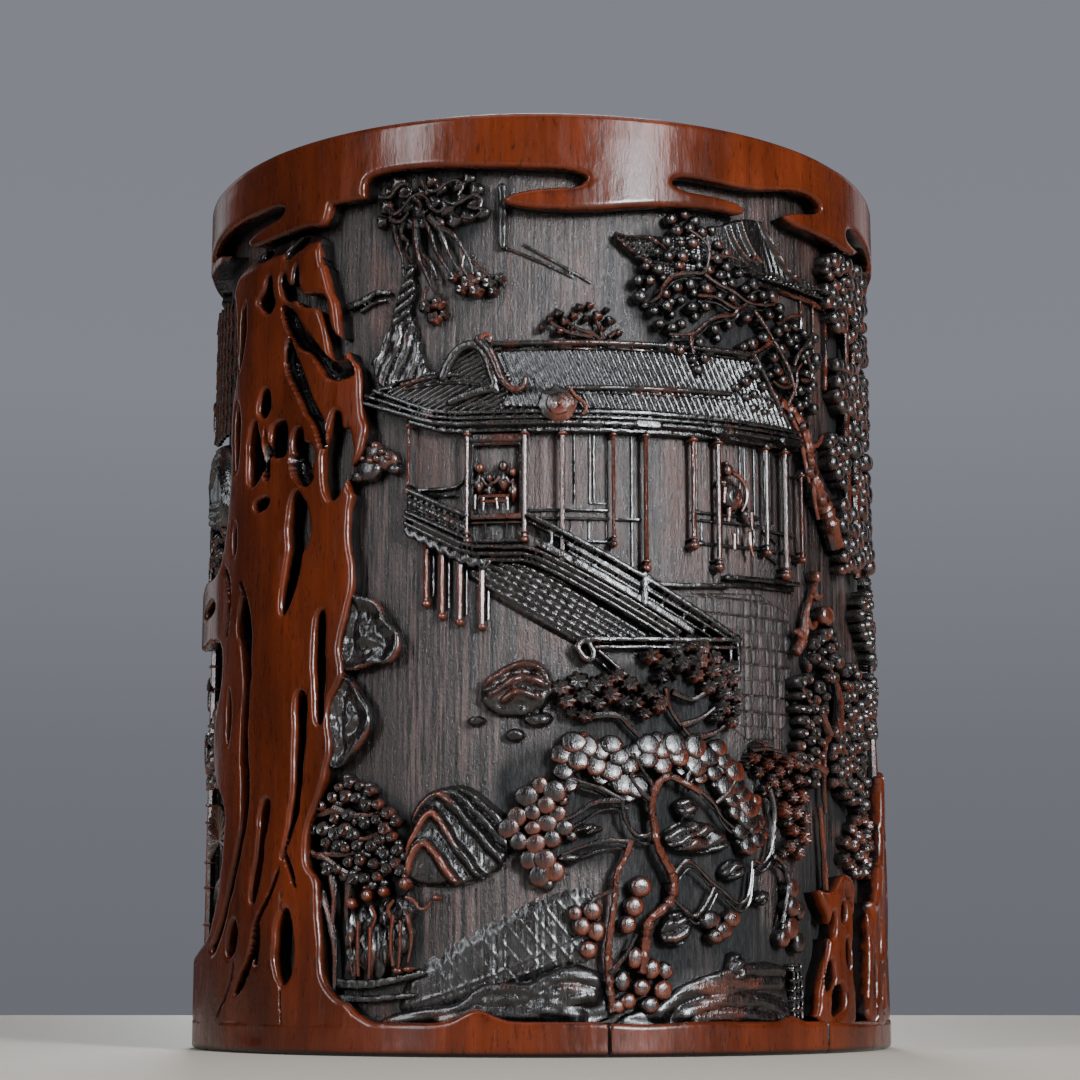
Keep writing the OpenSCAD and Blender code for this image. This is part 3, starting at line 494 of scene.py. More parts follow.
# %% [markdown]
# ## The floor
# The floor is a separate disc let into the step at the foot. Its upper face shows a turner's faint rings, and
# its edge is eased so that it drops in without chipping.

# %% Floor disc
TURNS = 160
lathe = [(0.0, FLOOR_LOW)] + [(r, FLOOR_LOW) for r in (16, 32, FLOOR_R - 0.6)] + [(FLOOR_R - 0.1,
        FLOOR_LOW + 0.5)]
lathe += [(FLOOR_R - 0.1, FLOOR_HIGH - 0.5), (FLOOR_R - 0.6, FLOOR_HIGH)]
lathe += [(r, FLOOR_HIGH - 0.12 * (k % 2)) for k, r in enumerate(np.arange(45.5, 1, -1.4))] + [(0.0,
        FLOOR_HIGH)]
spin = np.linspace(0, 2 * math.pi, TURNS, endpoint=False)
verts = np.array([(r * math.sin(t), -r * math.cos(t), z) for r, z in lathe[1:-1] for t in spin]
                 + [(0, 0, FLOOR_LOW), (0, 0, FLOOR_HIGH)]) * MM
a = np.arange((len(lathe) - 2) * TURNS).reshape(-1, TURNS)
b = np.roll(a, -1, 1)
faces = np.stack([a[:-1], b[:-1], b[1:], a[1:]], -1).reshape(-1, 4).tolist()
faces += [[b[0, k], a[0, k], a.size] for k in range(TURNS)] + [[a[-1, k], b[-1, k],
        a.size + 1] for k in range(TURNS)]
piece("floor_disc_board", verts, faces, FLOOR_WOOD, ["floor_disc"], crease=30)

# %% [markdown]
# ## The rim and its clouds
# Under the lip the carver leaves a smooth band of skin. Long curling slots pierce it, and tongues of cloud
# hang from it. The band and the tongues are one outline: everything above a line, plus tongues, minus slots.
# The edges of the slots are well rounded from handling.

# %% Rim
RIM_LOW = 131.6
LIP_R = 1.3
TONGUES = [
    [(-48, 134), (-55.5, 131.2), (-57, 129.6), (-54, 128.4), (-45, 128.5), (-40, 128.8), (-37, 128),
     (-35.5, 129.5),
     (-35, 134)],
    [(-84, 134), (-78, 133), (-70, 131.8), (-63, 130), (-67, 129.4), (-76, 130.5), (-86, 131)],
    [(9, 134), (6.5, 131), (0, 130.7), (-5, 129.8), (-6.3, 128.6), (-4, 127.7), (2, 127.1), (8, 127.2),
     (15, 128.2),
     (22, 129), (28, 129.4), (33, 129.2), (34, 130.4), (32, 131.3), (25, 131.4), (20, 134)],
    [(44, 134), (41.8, 131.1), (44, 130), (48, 129.8), (55, 129.8), (60, 129.5), (66, 129.9), (70, 134)],
    [(88, 134), (92, 130), (104, 128.2), (118, 128.6), (126, 130.2), (121, 131.4), (110, 131.2), (106, 134)],
    [(140, 134), (146, 130.5), (158, 129.2), (171, 129.8), (176, 131), (168, 132), (160, 134)],
    [(-172, 134), (-166, 129.8), (-152, 128.2), (-139, 129), (-134, 130.6), (-142, 131.5), (-150, 134)],
    [(-118, 134), (-112, 130.4), (-101, 129.2), (-94, 130.3), (-97, 131.4), (-104, 134)]]
SLOTS = [
    [(-79, 133.6), (-74, 134.5), (-60, 134.2), (-52, 133.9), (-47, 133.7), (-45.3, 132.8), (-47, 131.6),
     (-54, 131),
     (-58, 129.6), (-64, 129.5), (-70, 131.7), (-78, 132.6)],
    [(-29, 133.9), (-27, 135), (-20, 135.1), (-10, 134.3), (0, 133.8), (5.5, 133.5), (7.5, 132.2), (5, 131.1),
     (0, 130.8), (-6, 129.8), (-9, 128), (-28, 128)],
    [(20.2, 132.6), (22, 133.9), (30, 133.7), (36, 133.9), (41, 135), (45, 135.9), (50.5, 136), (52.6, 134.6),
     (50.5, 133.2), (46, 132.4), (42.5, 131.4), (40, 129), (35, 129.5), (33.8, 131), (28, 131.6),
     (23, 131.6)],
    [(60.6, 132.6), (62.5, 134), (70, 134.2), (78, 133.7), (83, 132.5), (78, 131.4), (66, 131.3),
     (61.5, 131.6)],
    [(103, 133), (108, 134.6), (122, 134.9), (131, 133.8), (131, 132), (123, 131.6), (108, 131.4)],
    [(156, 133), (161, 134.2), (172, 134.6), (178, 133.6), (176, 132.2), (163, 132.2)],
    [(-154, 133), (-149, 134.6), (-137, 135), (-129, 134.2), (-128, 132.6), (-137, 131.7), (-150, 131.8)],
    [(-110, 133), (-105, 134.3), (-96, 134.4), (-92, 133.2), (-97, 132), (-107, 131.9)]]


def rim_shape(x, z):
    band = RIM_LOW + 0.35 * waver(x, z * 0, 14, 9) - z
    return cut(join(band, *[area(x, z, t) for t in TONGUES]), *[area(x, z, s) for s in SLOTS])


def rim_height(x, z, d):
    worn_edge = edge(np.minimum(d, 0), 0.9)
    lip = edge(z - POT_H, LIP_R)
    return RELIEF - 0.9 * worn_edge - lip - 0.18 * ease(waver(x, z, 11, 6, 3), 0.0, 1.0)


relief("rim_band_clouds", (-180, 180, 126, POT_H), rim_shape, rim_height, ["rim_band", "rim_clouds"],
       SKIN_WOOD, "skin",
       step=0.36, wrap=True, undercut=0.5,
       wear=lambda x, z, d, h: np.maximum(ease(h, RELIEF - 1.6, RELIEF - 0.4),
                                          0.9 * ease(z, POT_H - 2.5, POT_H - 1))
       - 0.45 * ease(waver(x, z, 7, 2.6, 9), 0.1, 0.8) * ease(z, 138,
        130) - 0.2 * ease(waver(x, z, 16, 5, 11), 0, 0.8))

# %% [markdown]
# ## The foot band
# A narrow band of skin is left at the bottom so that the pot stands on something smooth. Its upper edge rises
# and falls a little where the rocks of the shore grow out of it, and its lower edge is eased.

# %% Foot band
def foot_shape(x, z):
    swell = FOOT_H - 0.1 + 0.25 * waver(x, z * 0, 9, 9, 1)
    swell = swell + 1.9 * np.exp(-((x / DEG + 9.5) / 3.2) ** 2) + 0.9 * np.exp(-((x / DEG - 41) / 2.0) ** 2)
    return z - swell


SPLITS = [[(9.6, -1), (9.9, 3), (9.7, 9)], [(48.6, -1), (48.9, 3), (48.7, 9)], [(-112, -1), (-111.7, 9)]]


def split(x, z):
    """Fine drying cracks that run up from the foot."""
    return ease(-join(*[stroke(x, z, crack, 0.25, rounds=1) for crack in SPLITS]), -0.12, 0.12)


relief("foot_band_skin", (-180, 180, 0, 8), foot_shape,
       lambda x, z, d: RELIEF - edge(d, 0.7) - edge(-z, 0.8) - 0.1 * ease(waver(x, z, 8, 5, 4), 0,
        1) - 0.35 * split(x, z),
       ["foot_band"], SKIN_WOOD, "skin", step=0.33, wrap=True,
       wear=lambda x, z, d, h: ease(h, RELIEF - 1.2, RELIEF - 0.3) - 1.5 * split(x,
        z) - 0.25 * ease(waver(x, z, 9, 3, 2), -0.2, 0.9))

# %% [markdown]
# ## The red crag
# The tall crag on the left is the largest stretch of skin. Its face is smooth, and long slots and keyholes go
# right through to the ground, like rock worn by water. Shallow dark valleys run down it too, each with one
# steep bank and one soft one. Every edge is bevelled by a fine rounded arris that catches the light.

# %% Crag outline, slots and valleys
CRAG = [(-37, 124.5), (-36.5, 121.5), (-35, 117.5), (-33.5, 114), (-33.3, 110), (-31, 106), (-29, 104),
        (-28.8, 98),
        (-28.5, 96), (-27.5, 94), (-28.2, 92), (-29, 90), (-31.5, 88), (-31, 85), (-30, 84), (-31.2, 79),
        (-30.2, 74),
        (-29.8, 70), (-31, 66), (-32.5, 61), (-31.5, 57), (-32, 55.5), (-34.3, 52), (-34.3, 49), (-33.5, 45),
        (-34.3, 42), (-36, 38), (-38, 34), (-38.5, 30), (-38, 27.5), (-35.8, 26), (-35.6, 22), (-35, 16),
        (-34.5, 11),
        (-32.5, 8.5), (-29.5, 7.3), (-28, 5.6), (-22, 4.4), (-22, 3), (-90, 3), (-88, 13.5), (-72, 16),
        (-66, 18),
        (-62.5, 24), (-61, 30), (-60, 36), (-61.5, 39.5), (-64.5, 41.5), (-66.3, 46), (-66, 52), (-63, 58),
        (-62.8, 64.5), (-70, 65.5), (-80, 65), (-86, 67), (-84, 74), (-76, 76.5), (-66, 76), (-63.5, 80),
        (-62, 85),
        (-61, 92), (-62, 100), (-61, 105), (-59.5, 108), (-60, 120), (-62, 122), (-60, 124), (-57, 127.6),
        (-50, 128.3),
        (-40, 128.2), (-37.5, 127)]
CRAG_SLOTS = [
    [(-50.2, 122.7), (-49, 122.5), (-48.7, 120), (-48, 118), (-48.5, 116.8), (-50, 116.3), (-52, 117.7),
     (-53, 119),
     (-51.5, 120), (-50.5, 121)],
    [(-46.8, 120.5), (-46.5, 122.5), (-45.2, 122), (-45, 120.5), (-43.5, 119.5), (-42.8, 123), (-42.3, 123),
     (-42, 119.5),
     (-41, 117.5), (-38, 117.2), (-36.5, 117), (-35.6, 115.5), (-35.2, 112), (-34, 109.7), (-32.3, 109.5),
     (-31.2, 108),
     (-32.3, 106), (-34, 105.8), (-35, 107), (-35.8, 111), (-37, 114.5), (-38.5, 115.3), (-41.5, 115.5),
     (-42.5, 117.5),
     (-44.5, 117), (-46, 118.3)],
    [(-51.2, 104), (-49.3, 104), (-48.3, 102), (-48.6, 100), (-50, 99), (-51.5, 100), (-52, 101)],
    [(-54.8, 90), (-54.8, 97), (-53.5, 99.5), (-52.2, 99), (-51.3, 96), (-50.4, 93), (-50.3, 90), (-52, 88.5),
     (-54, 88.5)],
    [(-48.5, 92.5), (-48.5, 97), (-46, 98), (-44, 97.5), (-43.7, 94), (-44, 92.2), (-46, 92)],
    [(-42.8, 95), (-41.5, 96.2), (-40.5, 95.8), (-40.2, 93.5), (-38.5, 93.2), (-37.7, 91.5), (-38, 89.5),
     (-41, 89.5),
     (-42.5, 91.5)],
    [(-34.3, 97.5), (-33.5, 98), (-32.6, 97), (-32.4, 94.5), (-31, 95), (-30.3, 93), (-30.4, 88.5),
     (-32.5, 85),
     (-33.5, 83.7), (-34.8, 84), (-36, 86.5), (-36, 91), (-35, 93.5)],
    [(-52.7, 86), (-48, 86.2), (-48, 84.9), (-49, 84.2), (-52, 84)],
    [(-43, 85), (-41.3, 86.5), (-40.3, 85), (-38.8, 83), (-38.3, 80), (-38.7, 77.5), (-40, 76.5), (-40.7, 74),
     (-41.5, 71), (-42.5, 68.5), (-44, 66.3), (-44.9, 68), (-44.3, 72), (-43.5, 75), (-43, 77), (-43.5, 80)],
    [(-57.3, 68), (-56.2, 71), (-54.5, 71), (-53.7, 69), (-52.7, 66.5), (-52.2, 62), (-52.3, 57), (-52.8, 52),
     (-53, 48), (-52.2, 43), (-52, 38), (-52.5, 35), (-54, 31), (-56, 26), (-58.5, 21), (-61, 17), (-63, 15),
     (-65, 15), (-65, 16.3), (-63, 17), (-61, 19.5), (-58, 24.5), (-56, 29.5), (-54.3, 34), (-54, 37),
     (-54.7, 42),
     (-55, 48), (-54.7, 53), (-54.2, 57), (-55, 60), (-55.5, 63), (-57.3, 65)],
    [(-37.2, 65), (-36.3, 66.7), (-34.9, 66.5), (-35, 55), (-35.2, 50), (-35.8, 49), (-36.5, 50.5),
     (-37, 56)],
    [(-41, 53), (-40, 54.7), (-38.7, 54), (-38.5, 51), (-38.8, 45), (-39.3, 40), (-39.8, 36), (-41.5, 32),
     (-43.7, 28),
     (-41.8, 34), (-41, 38), (-40.7, 45)],
    [(-48.8, 36.5), (-47.5, 38.5), (-46.2, 38), (-46.5, 36), (-47.4, 33), (-48, 28), (-49, 25), (-50, 22.3),
     (-51, 23), (-50.8, 25.5), (-49.5, 29), (-49.2, 33)],
    [(-49.7, 19), (-49, 19.6), (-48.3, 19), (-48.6, 12.8), (-49.6, 13)],
    [(-44.3, 19), (-43.3, 21.5), (-41.5, 21.7), (-40.8, 20), (-40.3, 16), (-40.5, 12), (-41.8, 10.3),
     (-43, 10.2),
     (-44.3, 12), (-44.8, 15.5)],
    [(-58.2, 17), (-56.8, 19.5), (-55.5, 20.7), (-54.6, 18), (-55, 16), (-56, 15), (-57.5, 14.3),
     (-58.3, 15)],
    [(-57.7, 120), (-56.2, 120), (-56.3, 115), (-57, 112), (-58.5, 107.5), (-58.3, 113)],
    [(-53.7, 126), (-50.4, 125.8), (-50.6, 127.5), (-53.3, 127.6)],
    [(-46, 124.8), (-45.5, 126.2), (-43, 127.6), (-41, 127.5), (-41.3, 126), (-43, 125.3), (-44.5, 124.2)],
    [(-37.6, 127.6), (-36.6, 127), (-36.2, 122), (-37, 121.6), (-37.4, 124)],
    [(-58.8, 104), (-57.6, 101), (-57.6, 96), (-58.5, 91), (-59.5, 95), (-59.8, 101)],
    [(-59.5, 84), (-58, 83), (-58.4, 78), (-59.8, 78.5)],
    [(-60.5, 56), (-59.3, 57), (-58.6, 52), (-59.5, 47), (-60.5, 50)],
    [(-76, 71.5), (-70, 72.5), (-66, 71), (-70, 69.8), (-76, 70)]]
VALLEYS = [
    ([(-46.3, 116.8), (-45.8, 114.5), (-44.5, 112), (-42.5, 109.5), (-41, 108.4), (-39.5, 108), (-38, 106.5),
      (-36.5, 104), (-35, 102.8), (-33, 102.3), (-30, 102.8)],
     [(-30, 104), (-31.5, 106.3), (-34, 105.8), (-36, 107.5), (-38.5, 110.5), (-41, 113.5), (-43, 116),
      (-45.5, 117)]),
    ([(-44, 111.5), (-45, 110), (-45, 107), (-44, 104.5), (-42.5, 102.5), (-41, 100), (-40, 98), (-38, 96),
      (-37, 93.5),
      (-36.7, 92)], [(-35.4, 92), (-35.2, 96), (-37.5, 99.5), (-38.5, 101.5), (-40, 105), (-42, 108.5),
                     (-43.3, 110.8)]),
    ([(-57.3, 74), (-55.6, 71), (-54, 67), (-53.4, 60)], [(-52.4, 60), (-53, 67), (-54, 71), (-56, 74)]),
    ([(-44, 28), (-46, 24), (-50, 20), (-51.3, 14), (-54.5, 11), (-56, 8)],
     [(-53, 9), (-49.7, 13), (-48.6, 19.5), (-45.5, 23), (-43, 28)]),
    ([(-43.2, 30.5), (-41.6, 27), (-40.3, 24.6)], [(-39.6, 24.6), (-40.5, 27.8), (-42.4, 30.8)]),
    ([(-50.5, 92), (-50, 89), (-48.6, 88.5)], [(-47.6, 89), (-47.8, 92.6), (-49.4, 98), (-50.2, 98)]),
    ([(-43.5, 91.6), (-42.4, 88), (-40, 86)], [(-37.4, 87), (-37.6, 90), (-42.6, 92.5)]),
    ([(-56, 14), (-56.8, 11), (-58.6, 8.5), (-62, 4.8)], [(-61, 4.8), (-57.8, 8.5), (-56, 11), (-55.2, 14)]),
    ([(-64, 76.5), (-61.5, 74), (-60.5, 70), (-61.5, 65)], [(-60.5, 65), (-59.6, 70), (-60, 75),
        (-63, 77.5)])]
CRACKS = [[(-43.2, 24), (-43.4, 17), (-43, 10), (-42.5, 4), (-41.5, 1)]]


def crag_shape(x, z):
    wobble = 0.18 * waver(x, z, 2.2, 2.2, 6)
    return cut(area(x, z, CRAG) + wobble, *[area(x, z, s) + wobble for s in CRAG_SLOTS])


def crag_height(x, z, d):
    h = RELIEF - 0.95 * edge(d, 0.75) - 0.22 * ease(waver(x, z, 6, 16, 5), -0.4, 1)
    for bank, far in VALLEYS:
        inside = -area(x, z, bank + far)
        soft = stroke(x, z, bank, 0.2)
        h = h - 2.3 * ease(inside, 0, 0.55) * (1 - 0.7 * ease(soft, 0.6, 3.4))
    for crack in CRACKS:
        h = h - 0.5 * ease(-stroke(x, z, crack, 0.45), 0, 0.2)
    return h - 1.5 * ease(z, 124, 127.6) * ease(-x / DEG, 34, 36)


relief("red_cliff_skin", (-90, -21, 3.2, 129), crag_shape, crag_height, ["red_cliff"], SKIN_WOOD, "skin",
       step=0.27,
       undercut=0.45, wear=lambda x, z, d, h: ease(h, RELIEF - 1.3, RELIEF - 0.45))

# %% [markdown]
# ## Small carved things
# Berries, leaf pads and twigs are too small and too undercut for a grid, so they are built one by one and
# gathered into a heap, which becomes one mesh. A pad is a little dome, plain for a berry and ribbed or dimpled
# for a pine pad. A twig is a tapering round stick that lifts clear of the ground.

# %% Heap of pads and twigs
class Heap:
    def __init__(self, seed=1):
        self.verts, self.faces, self.wear, self.count = [], [], [], 0
        self.chance = np.random.default_rng(seed)

    def add(self, verts, faces, wear):
        self.verts.append(verts)
        self.faces += [[i + self.count for i in f] for f in faces]
        self.wear.append(wear)
        self.count += len(verts)

    def pad(self, place, wide, tall, top, low=-0.4, ribs=0, dimple=0.0, lean=0.0, red=0.3, segments=12,
            tilt=0.0, flat_top=0.0):
        """A dome of the given half width and half height, between two heights above the ground."""
        segments = ribs * 4 if ribs else segments
        t = np.arange(segments) * 2 * math.pi / segments + self.chance.uniform(0, 1)
        steps = [(0.72, 0), (0.96, 0.4), (1.0, 0.62), (0.9, 0.84), (0.62, 0.96), (0.28, 1 - dimple)]
        flute = 1 - (0.17 * (0.5 - 0.5 * np.cos(ribs * t)) if ribs else 0 * t)
        knobbly = 1 + self.chance.uniform(-0.07, 0.07, segments)
        x0, z0 = place[0] * DEG, place[1]
        ca, sa = math.cos(lean), math.sin(lean)
        verts, wear = [], []
        thick = top - low
        shade = red + self.chance.uniform(-0.15, 0.2)
        for size, level in steps:
            size = size + flat_top * (1 - size) * (level > 0.8) * 0.6
            u, v = wide * size * flute * knobbly * np.cos(t), tall * size * flute * knobbly * np.sin(t)
            groove = 0.16 * thick * (1 - flute) / 0.17 * size if ribs else 0
            verts.append(np.stack([x0 + u * ca - v * sa, low + thick * level * (1 - 0.14 * flat_top) - groove
                                   - tilt * v * level, z0 + u * sa + v * ca], 1))
            # The foot of each pad is blended towards black, painted shade between the pads; the top and the
            # lower right side are redder.
            wear.append(shade + 0.22 * level - 0.7 * (1 - level) ** 2 + 0.28 * size * (np.cos(t) - np.sin(t))
                        * 0.7)
        verts.append([[x0, low + thick * (1 - 1.6 * dimple) * (1 - 0.14 * flat_top), z0]])
        wear.append([shade])
        n = segments
        faces = [[k * n + j, k * n + (j + 1) % n, (k + 1) * n + (j + 1) % n, (k + 1) * n + j]
                 for k in range(len(steps) - 1) for j in range(n)]
        faces += [[(len(steps) - 1) * n + j, (len(steps) - 1) * n + (j + 1) % n,
                   len(steps) * n] for j in range(n)]
        self.add(np.concatenate(verts), faces, np.concatenate(wear))

    def pads(self, places, size, top, **options):
        for place in places:
            r = size * self.chance.uniform(0.8, 1.18)
            wide, tall = (r, r * self.chance.uniform(0.78, 1.0)) if len(place) == 2 else (place[2], place[-1])
            self.pad(place, wide, tall, top + self.chance.uniform(-0.35, 0.25), **options)

    def twig(self, points, w0, w1, h0, h1=None, red=0.35, rounds=2, gnarl=0.15):
        """A round stick from width w0 to w1, whose middle runs from height h0 to h1."""
        h1 = h0 if h1 is None else h1
        p = soften(flat(points), rounds, closed=False)
        n = len(p)
        t = np.linspace(0, 1, n)
        way = np.gradient(p, axis=0)
        way /= np.linalg.norm(way, axis=1)[:, None] + 1e-9
        r = (w0 + (w1 - w0) * t) / 2 * (1 + gnarl * self.chance.uniform(-1, 1, n))
        h = h0 + (h1 - h0) * t
        rings, wear = [], []
        for k in range(8):
            c, s = math.cos(k * math.pi / 4), math.sin(k * math.pi / 4)
            rings.append(np.stack([p[:, 0] - way[:, 1] * c * r, h + s * r, p[:, 1] + way[:, 0] * c * r], 1))
            # The outer side of each stick is redder, and the side towards the wall is painted darker: painted
            # shade under the twig.
            wear.append(np.full(n, red + 0.3 * s - 0.4 * max(-s, 0)))
        verts = np.stack(rings, 1).reshape(-1, 3)
        tips = [[p[i, 0] + e * way[i, 0] * r[i] * 0.6, h[i], p[i, 1] + e * way[i, 1] * r[i] * 0.6]
                for i, e in ((0, -1), (-1, 1))]
        faces = [[i * 8 + (k + 1) % 8, i * 8 + k, i * 8 + 8 + k, i * 8 + 8 + (k + 1) % 8]
                 for i in range(n - 1) for k in range(8)]
        faces += [[k, (k + 1) % 8, n * 8] for k in range(8)]
        faces += [[(n - 1) * 8 + (k + 1) % 8, (n - 1) * 8 + k, n * 8 + 1] for k in range(8)]
        self.add(np.concatenate([verts, tips]), faces, np.concatenate([np.stack(wear, 1).ravel(),
                [red, red]]))

    def twigs(self, paths, w0, w1, h0, h1=None, **options):
        for points in paths:
            self.twig(points, w0, w1, h0, h1, **options)

    def bake(self, name, replaces=(), wood=CARVED_WOOD):
        flat_verts = np.concatenate(self.verts)
        return piece(name, bend(*flat_verts.T), self.faces, wood, replaces, np.concatenate(self.wear))


def span_of(*outlines, margin=1.2):
    every = np.concatenate([np.asarray(o, float)[:, :2] for o in outlines])
    (a0, z0), (a1, z1) = every.min(0), every.max(0)
    return a0 - margin, a1 + margin, max(z0 - margin, 0.2), min(z1 + margin, POT_H - 0.2)


def ridges(name, lines, replaces=(), top=1.5, round_=0.3, red=0.35, step=0.22, slot="dark_relief",
           **options):
    """A relief made of strokes; each line is (path, first width, last width) and may add its own top."""
    def shape(x, z):
        return join(*[stroke(x, z, line[0], line[1], line[2], 1) for line in lines])

    def height(x, z, d):
        tops = []
        for line in lines:
            s = stroke(x, z, line[0], line[1], line[2], 1)
            level = line[3] if len(line) > 3 else top
            tops.append(np.where(s < 0.12, level - edge(np.minimum(s, 0), round_) * min(1, level), -9))
        return np.maximum(np.maximum.reduce(tops), 0.15) + 0.06 * waver(x, z, 0.9, 0.9)

    wear = lambda x, z, d, h: red + 0.25 * waver(x, z, 3, 3, 2)
    return relief(name, span_of(*[line[0] for line in lines]), shape, height, replaces, slot=slot, step=step,
                  undercut=0.12, wear=wear, **options)


def fibres(x, z):
    return 0.07 * waver(x, z, 0.45, 14) + 0.05 * waver(x, z, 1.3, 25, 1)


print("heap ready")

# %% [markdown]
# ## Beside the crag
# Two shelves of dark rock lean out of the crag like folded leaves. Each is a shallow dome with a bright rim,
# left standing proud and undercut, so that a deep shadow lies under it. Above them a dark knot of rock hangs
# over its own hollow.

# %% Ledges and knot
LEDGES = [[(-32, 69.5), (-29.6, 68.8), (-25.5, 67.7), (-24.6, 64.5), (-22.3, 63), (-21.8, 60), (-23.8, 57.5),
           (-28, 57.8), (-31, 56.8), (-34, 58)],
          [(-33, 56.8), (-31, 56.2), (-28.5, 53.8), (-26.4, 50), (-27.3, 46.8), (-32.3, 42), (-35, 43),
           (-35.6, 52)]]


def ledge_shape(x, z):
    return join(*[area(x, z, ledge) for ledge in LEDGES]) + 0.25 * waver(x, z, 2.4, 2.4)


def ledge_height(x, z, d):
    cup = 1.1 * np.exp(-((d + 2.6) / 1.5) ** 2)
    fold = 0.5 * waver(x + 0.5 * z, z - x, 3.2, 5.5, 1) + 0.22 * waver(x, z, 0.8, 0.8, 2)
    return 3.2 - 1.4 * edge(d, 0.6) - cup + fold * ease(-d, 0.2, 1.2) - 0.05 * ease(-x / DEG, 24, 34)


relief("cliff_ledges_carved", span_of(*LEDGES), ledge_shape, ledge_height, ["cliff_ledges"], undercut=1.0,
       wear=lambda x, z, d, h: 0.12 + 0.55 * ease(d, -0.9, -0.1) * ease(waver(x, z, 4, 4), -0.4, 0.6))

knot = Heap(5)
knot.pads([(-28.5, 88.2, 2.6, 1.9), (-25.3, 89.5, 2.3, 1.8), (-27.3, 90.8, 2.0, 1.5), (-23.8, 87.9, 1.2, 0.9),
           (-30.2, 87.2, 1.3, 1.0)], 1, 2.6, red=0.05, segments=16)
knot.pads([(-27, 91.7), (-25.6, 90.6), (-24.6, 89.6), (-26.6, 89.7), (-27.7, 89.4), (-29.2, 89.9)], 0.75, 3.2,
          red=0.2)
knot.bake("cliff_knot_carved", ["cliff_knot"])

# %% [markdown]
# ## The hanging pine
# An old pine clings under the rim and hangs head down, so its roots and twigs curl like cords and its needles
# end in ribbed fans. The mass is dark, and only the arrises shine.

# %% Hanging pine
pine = Heap(11)
MASS = [(-26.8, 127.8), (-26, 130.3), (-24.5, 128.7), (-22.4, 129.8), (-20, 128.6), (-17.6, 130),
        (-15.4, 128.9),
        (-13, 130.2), (-10.8, 129.4), (-9.4, 127.7), (-12, 127.2), (-14.2, 126.8), (-17, 126.6),
        (-19.3, 126.9),
        (-21.5, 127), (-23.8, 126.6), (-10.5, 131.4), (-13.4, 132.3), (-16.5, 132), (-19.5, 131.6),
        (-22.7, 132.4),
        (-25.4, 132.4), (-11.8, 133.4), (-18, 133.4), (-24, 133.8)]
pine.pads(MASS, 1.55, 2.0, red=-0.05, ribs=3)
CURLS = [[(-26.5, 131.5), (-24.5, 131), (-23.5, 132.5), (-22, 133.2), (-20.5, 132), (-21.3, 130.6),
          (-22.7, 131)],
         [(-25.5, 129.5), (-23.8, 128), (-22.3, 129), (-20.8, 130.8), (-19, 131), (-17.6, 129.4)],
         [(-19.5, 133.6), (-18.5, 131.6), (-16.8, 131), (-15, 132.4), (-13.3, 132.8), (-12, 131.5),
          (-13, 130.2)],
         [(-15.5, 129.8), (-14, 128.7), (-12.2, 129.3), (-10.6, 130.3), (-9, 129.2), (-9.8, 127.6),
          (-11.5, 128.2)],
         [(-18.3, 130), (-17.4, 128.2), (-15.8, 127.6), (-14.8, 128.7)],
         [(-24.5, 127.5), (-22.6, 126.6), (-21.2, 128.2)],
         [(-20, 127.5), (-19, 129.3), (-20.3, 130.4)], [(-12.5, 126.8), (-10.8, 126.3), (-9.5, 127)]]
pine.twigs(CURLS, 0.75, 0.45, 2.5, 2.9, red=0.05, gnarl=0.3)
ROOTS = [[(-18, 127.5), (-16.8, 125.6), (-15, 125), (-13.6, 123.7), (-12.8, 122.3), (-11.2, 119.6),
          (-10.9, 117.5)],
         [(-20.5, 127.5), (-20.4, 124), (-20, 121), (-18.5, 118), (-17.5, 115.5), (-16, 114.6)],
         [(-24.2, 127), (-23.8, 124), (-22.8, 121.5), (-22.6, 118.3)],
         [(-22.6, 127), (-23.2, 125), (-21.6, 123.8), (-22.5, 122.2), (-21, 120.3)],
         [(-19, 127), (-17.6, 124.3), (-17.2, 122), (-15.2, 119), (-14.3, 117.6)],
         [(-17, 126.5), (-15.6, 123.3), (-14.8, 121), (-13.2, 118.4)],
         [(-19.2, 121.5), (-17.6, 119.8), (-16.8, 117.3)]]
pine.twigs(ROOTS, 1.2, 0.45, 1.7, 1.4, red=0.08, gnarl=0.28)
pine.twigs([[(-11, 119.8), (-9.4, 118.3), (-8.2, 117.2)], [(-12.3, 120.8), (-12.8, 119), (-11.8, 117.6)],
            [(-18.3, 116.2), (-19, 114.8), (-18.8, 113.5)]], 0.6, 0.35, 1.6, red=0.2)
pine.bake("hanging_pine_carved", ["hanging_pine"])

tufts = Heap(12)
FANS = [(-14, 117.5, 1.2, 1.0), (-11.6, 116.6, 2.0, 1.5), (-9.6, 117.3, 1.4, 1.2), (-8.3, 116.2, 1.6, 1.2),
        (-6.7, 116.9, 1.2, 1.0), (-12.7, 115.5, 1.4, 1.0), (-10.4, 115.1, 1.7, 1.1), (-18.7, 113.2, 1.5, 1.2),
        (-16.6, 113.5, 1.5, 1.2), (-17.4, 111.4, 1.6, 1.2), (-15.7, 111.9, 1.0, 0.8), (-7.6, 114.9, 1.1, 0.8)]
tufts.pads(FANS, 1, 2.1, ribs=5, dimple=0.12, red=0.08)
tufts.bake("hanging_pine_tufts_carved", ["hanging_pine_tufts"])

# %% [markdown]
# ## The rock below the pine
# Water-worn rock is carved as bundles of curved strands, each a rounded ridge beside a hollow.

# %% Hanging rock
ROCK = [[(-26.4, 108), (-24.8, 112), (-23.5, 115.6), (-22.3, 119.6), (-21.2, 120.5), (-20.7, 117),
         (-21.4, 112.5),
         (-20.2, 109), (-19.2, 106), (-18.5, 103.4), (-16.3, 102.3), (-19, 101.7), (-23, 101), (-26.8, 100.8),
         (-28.6, 104.5)]]


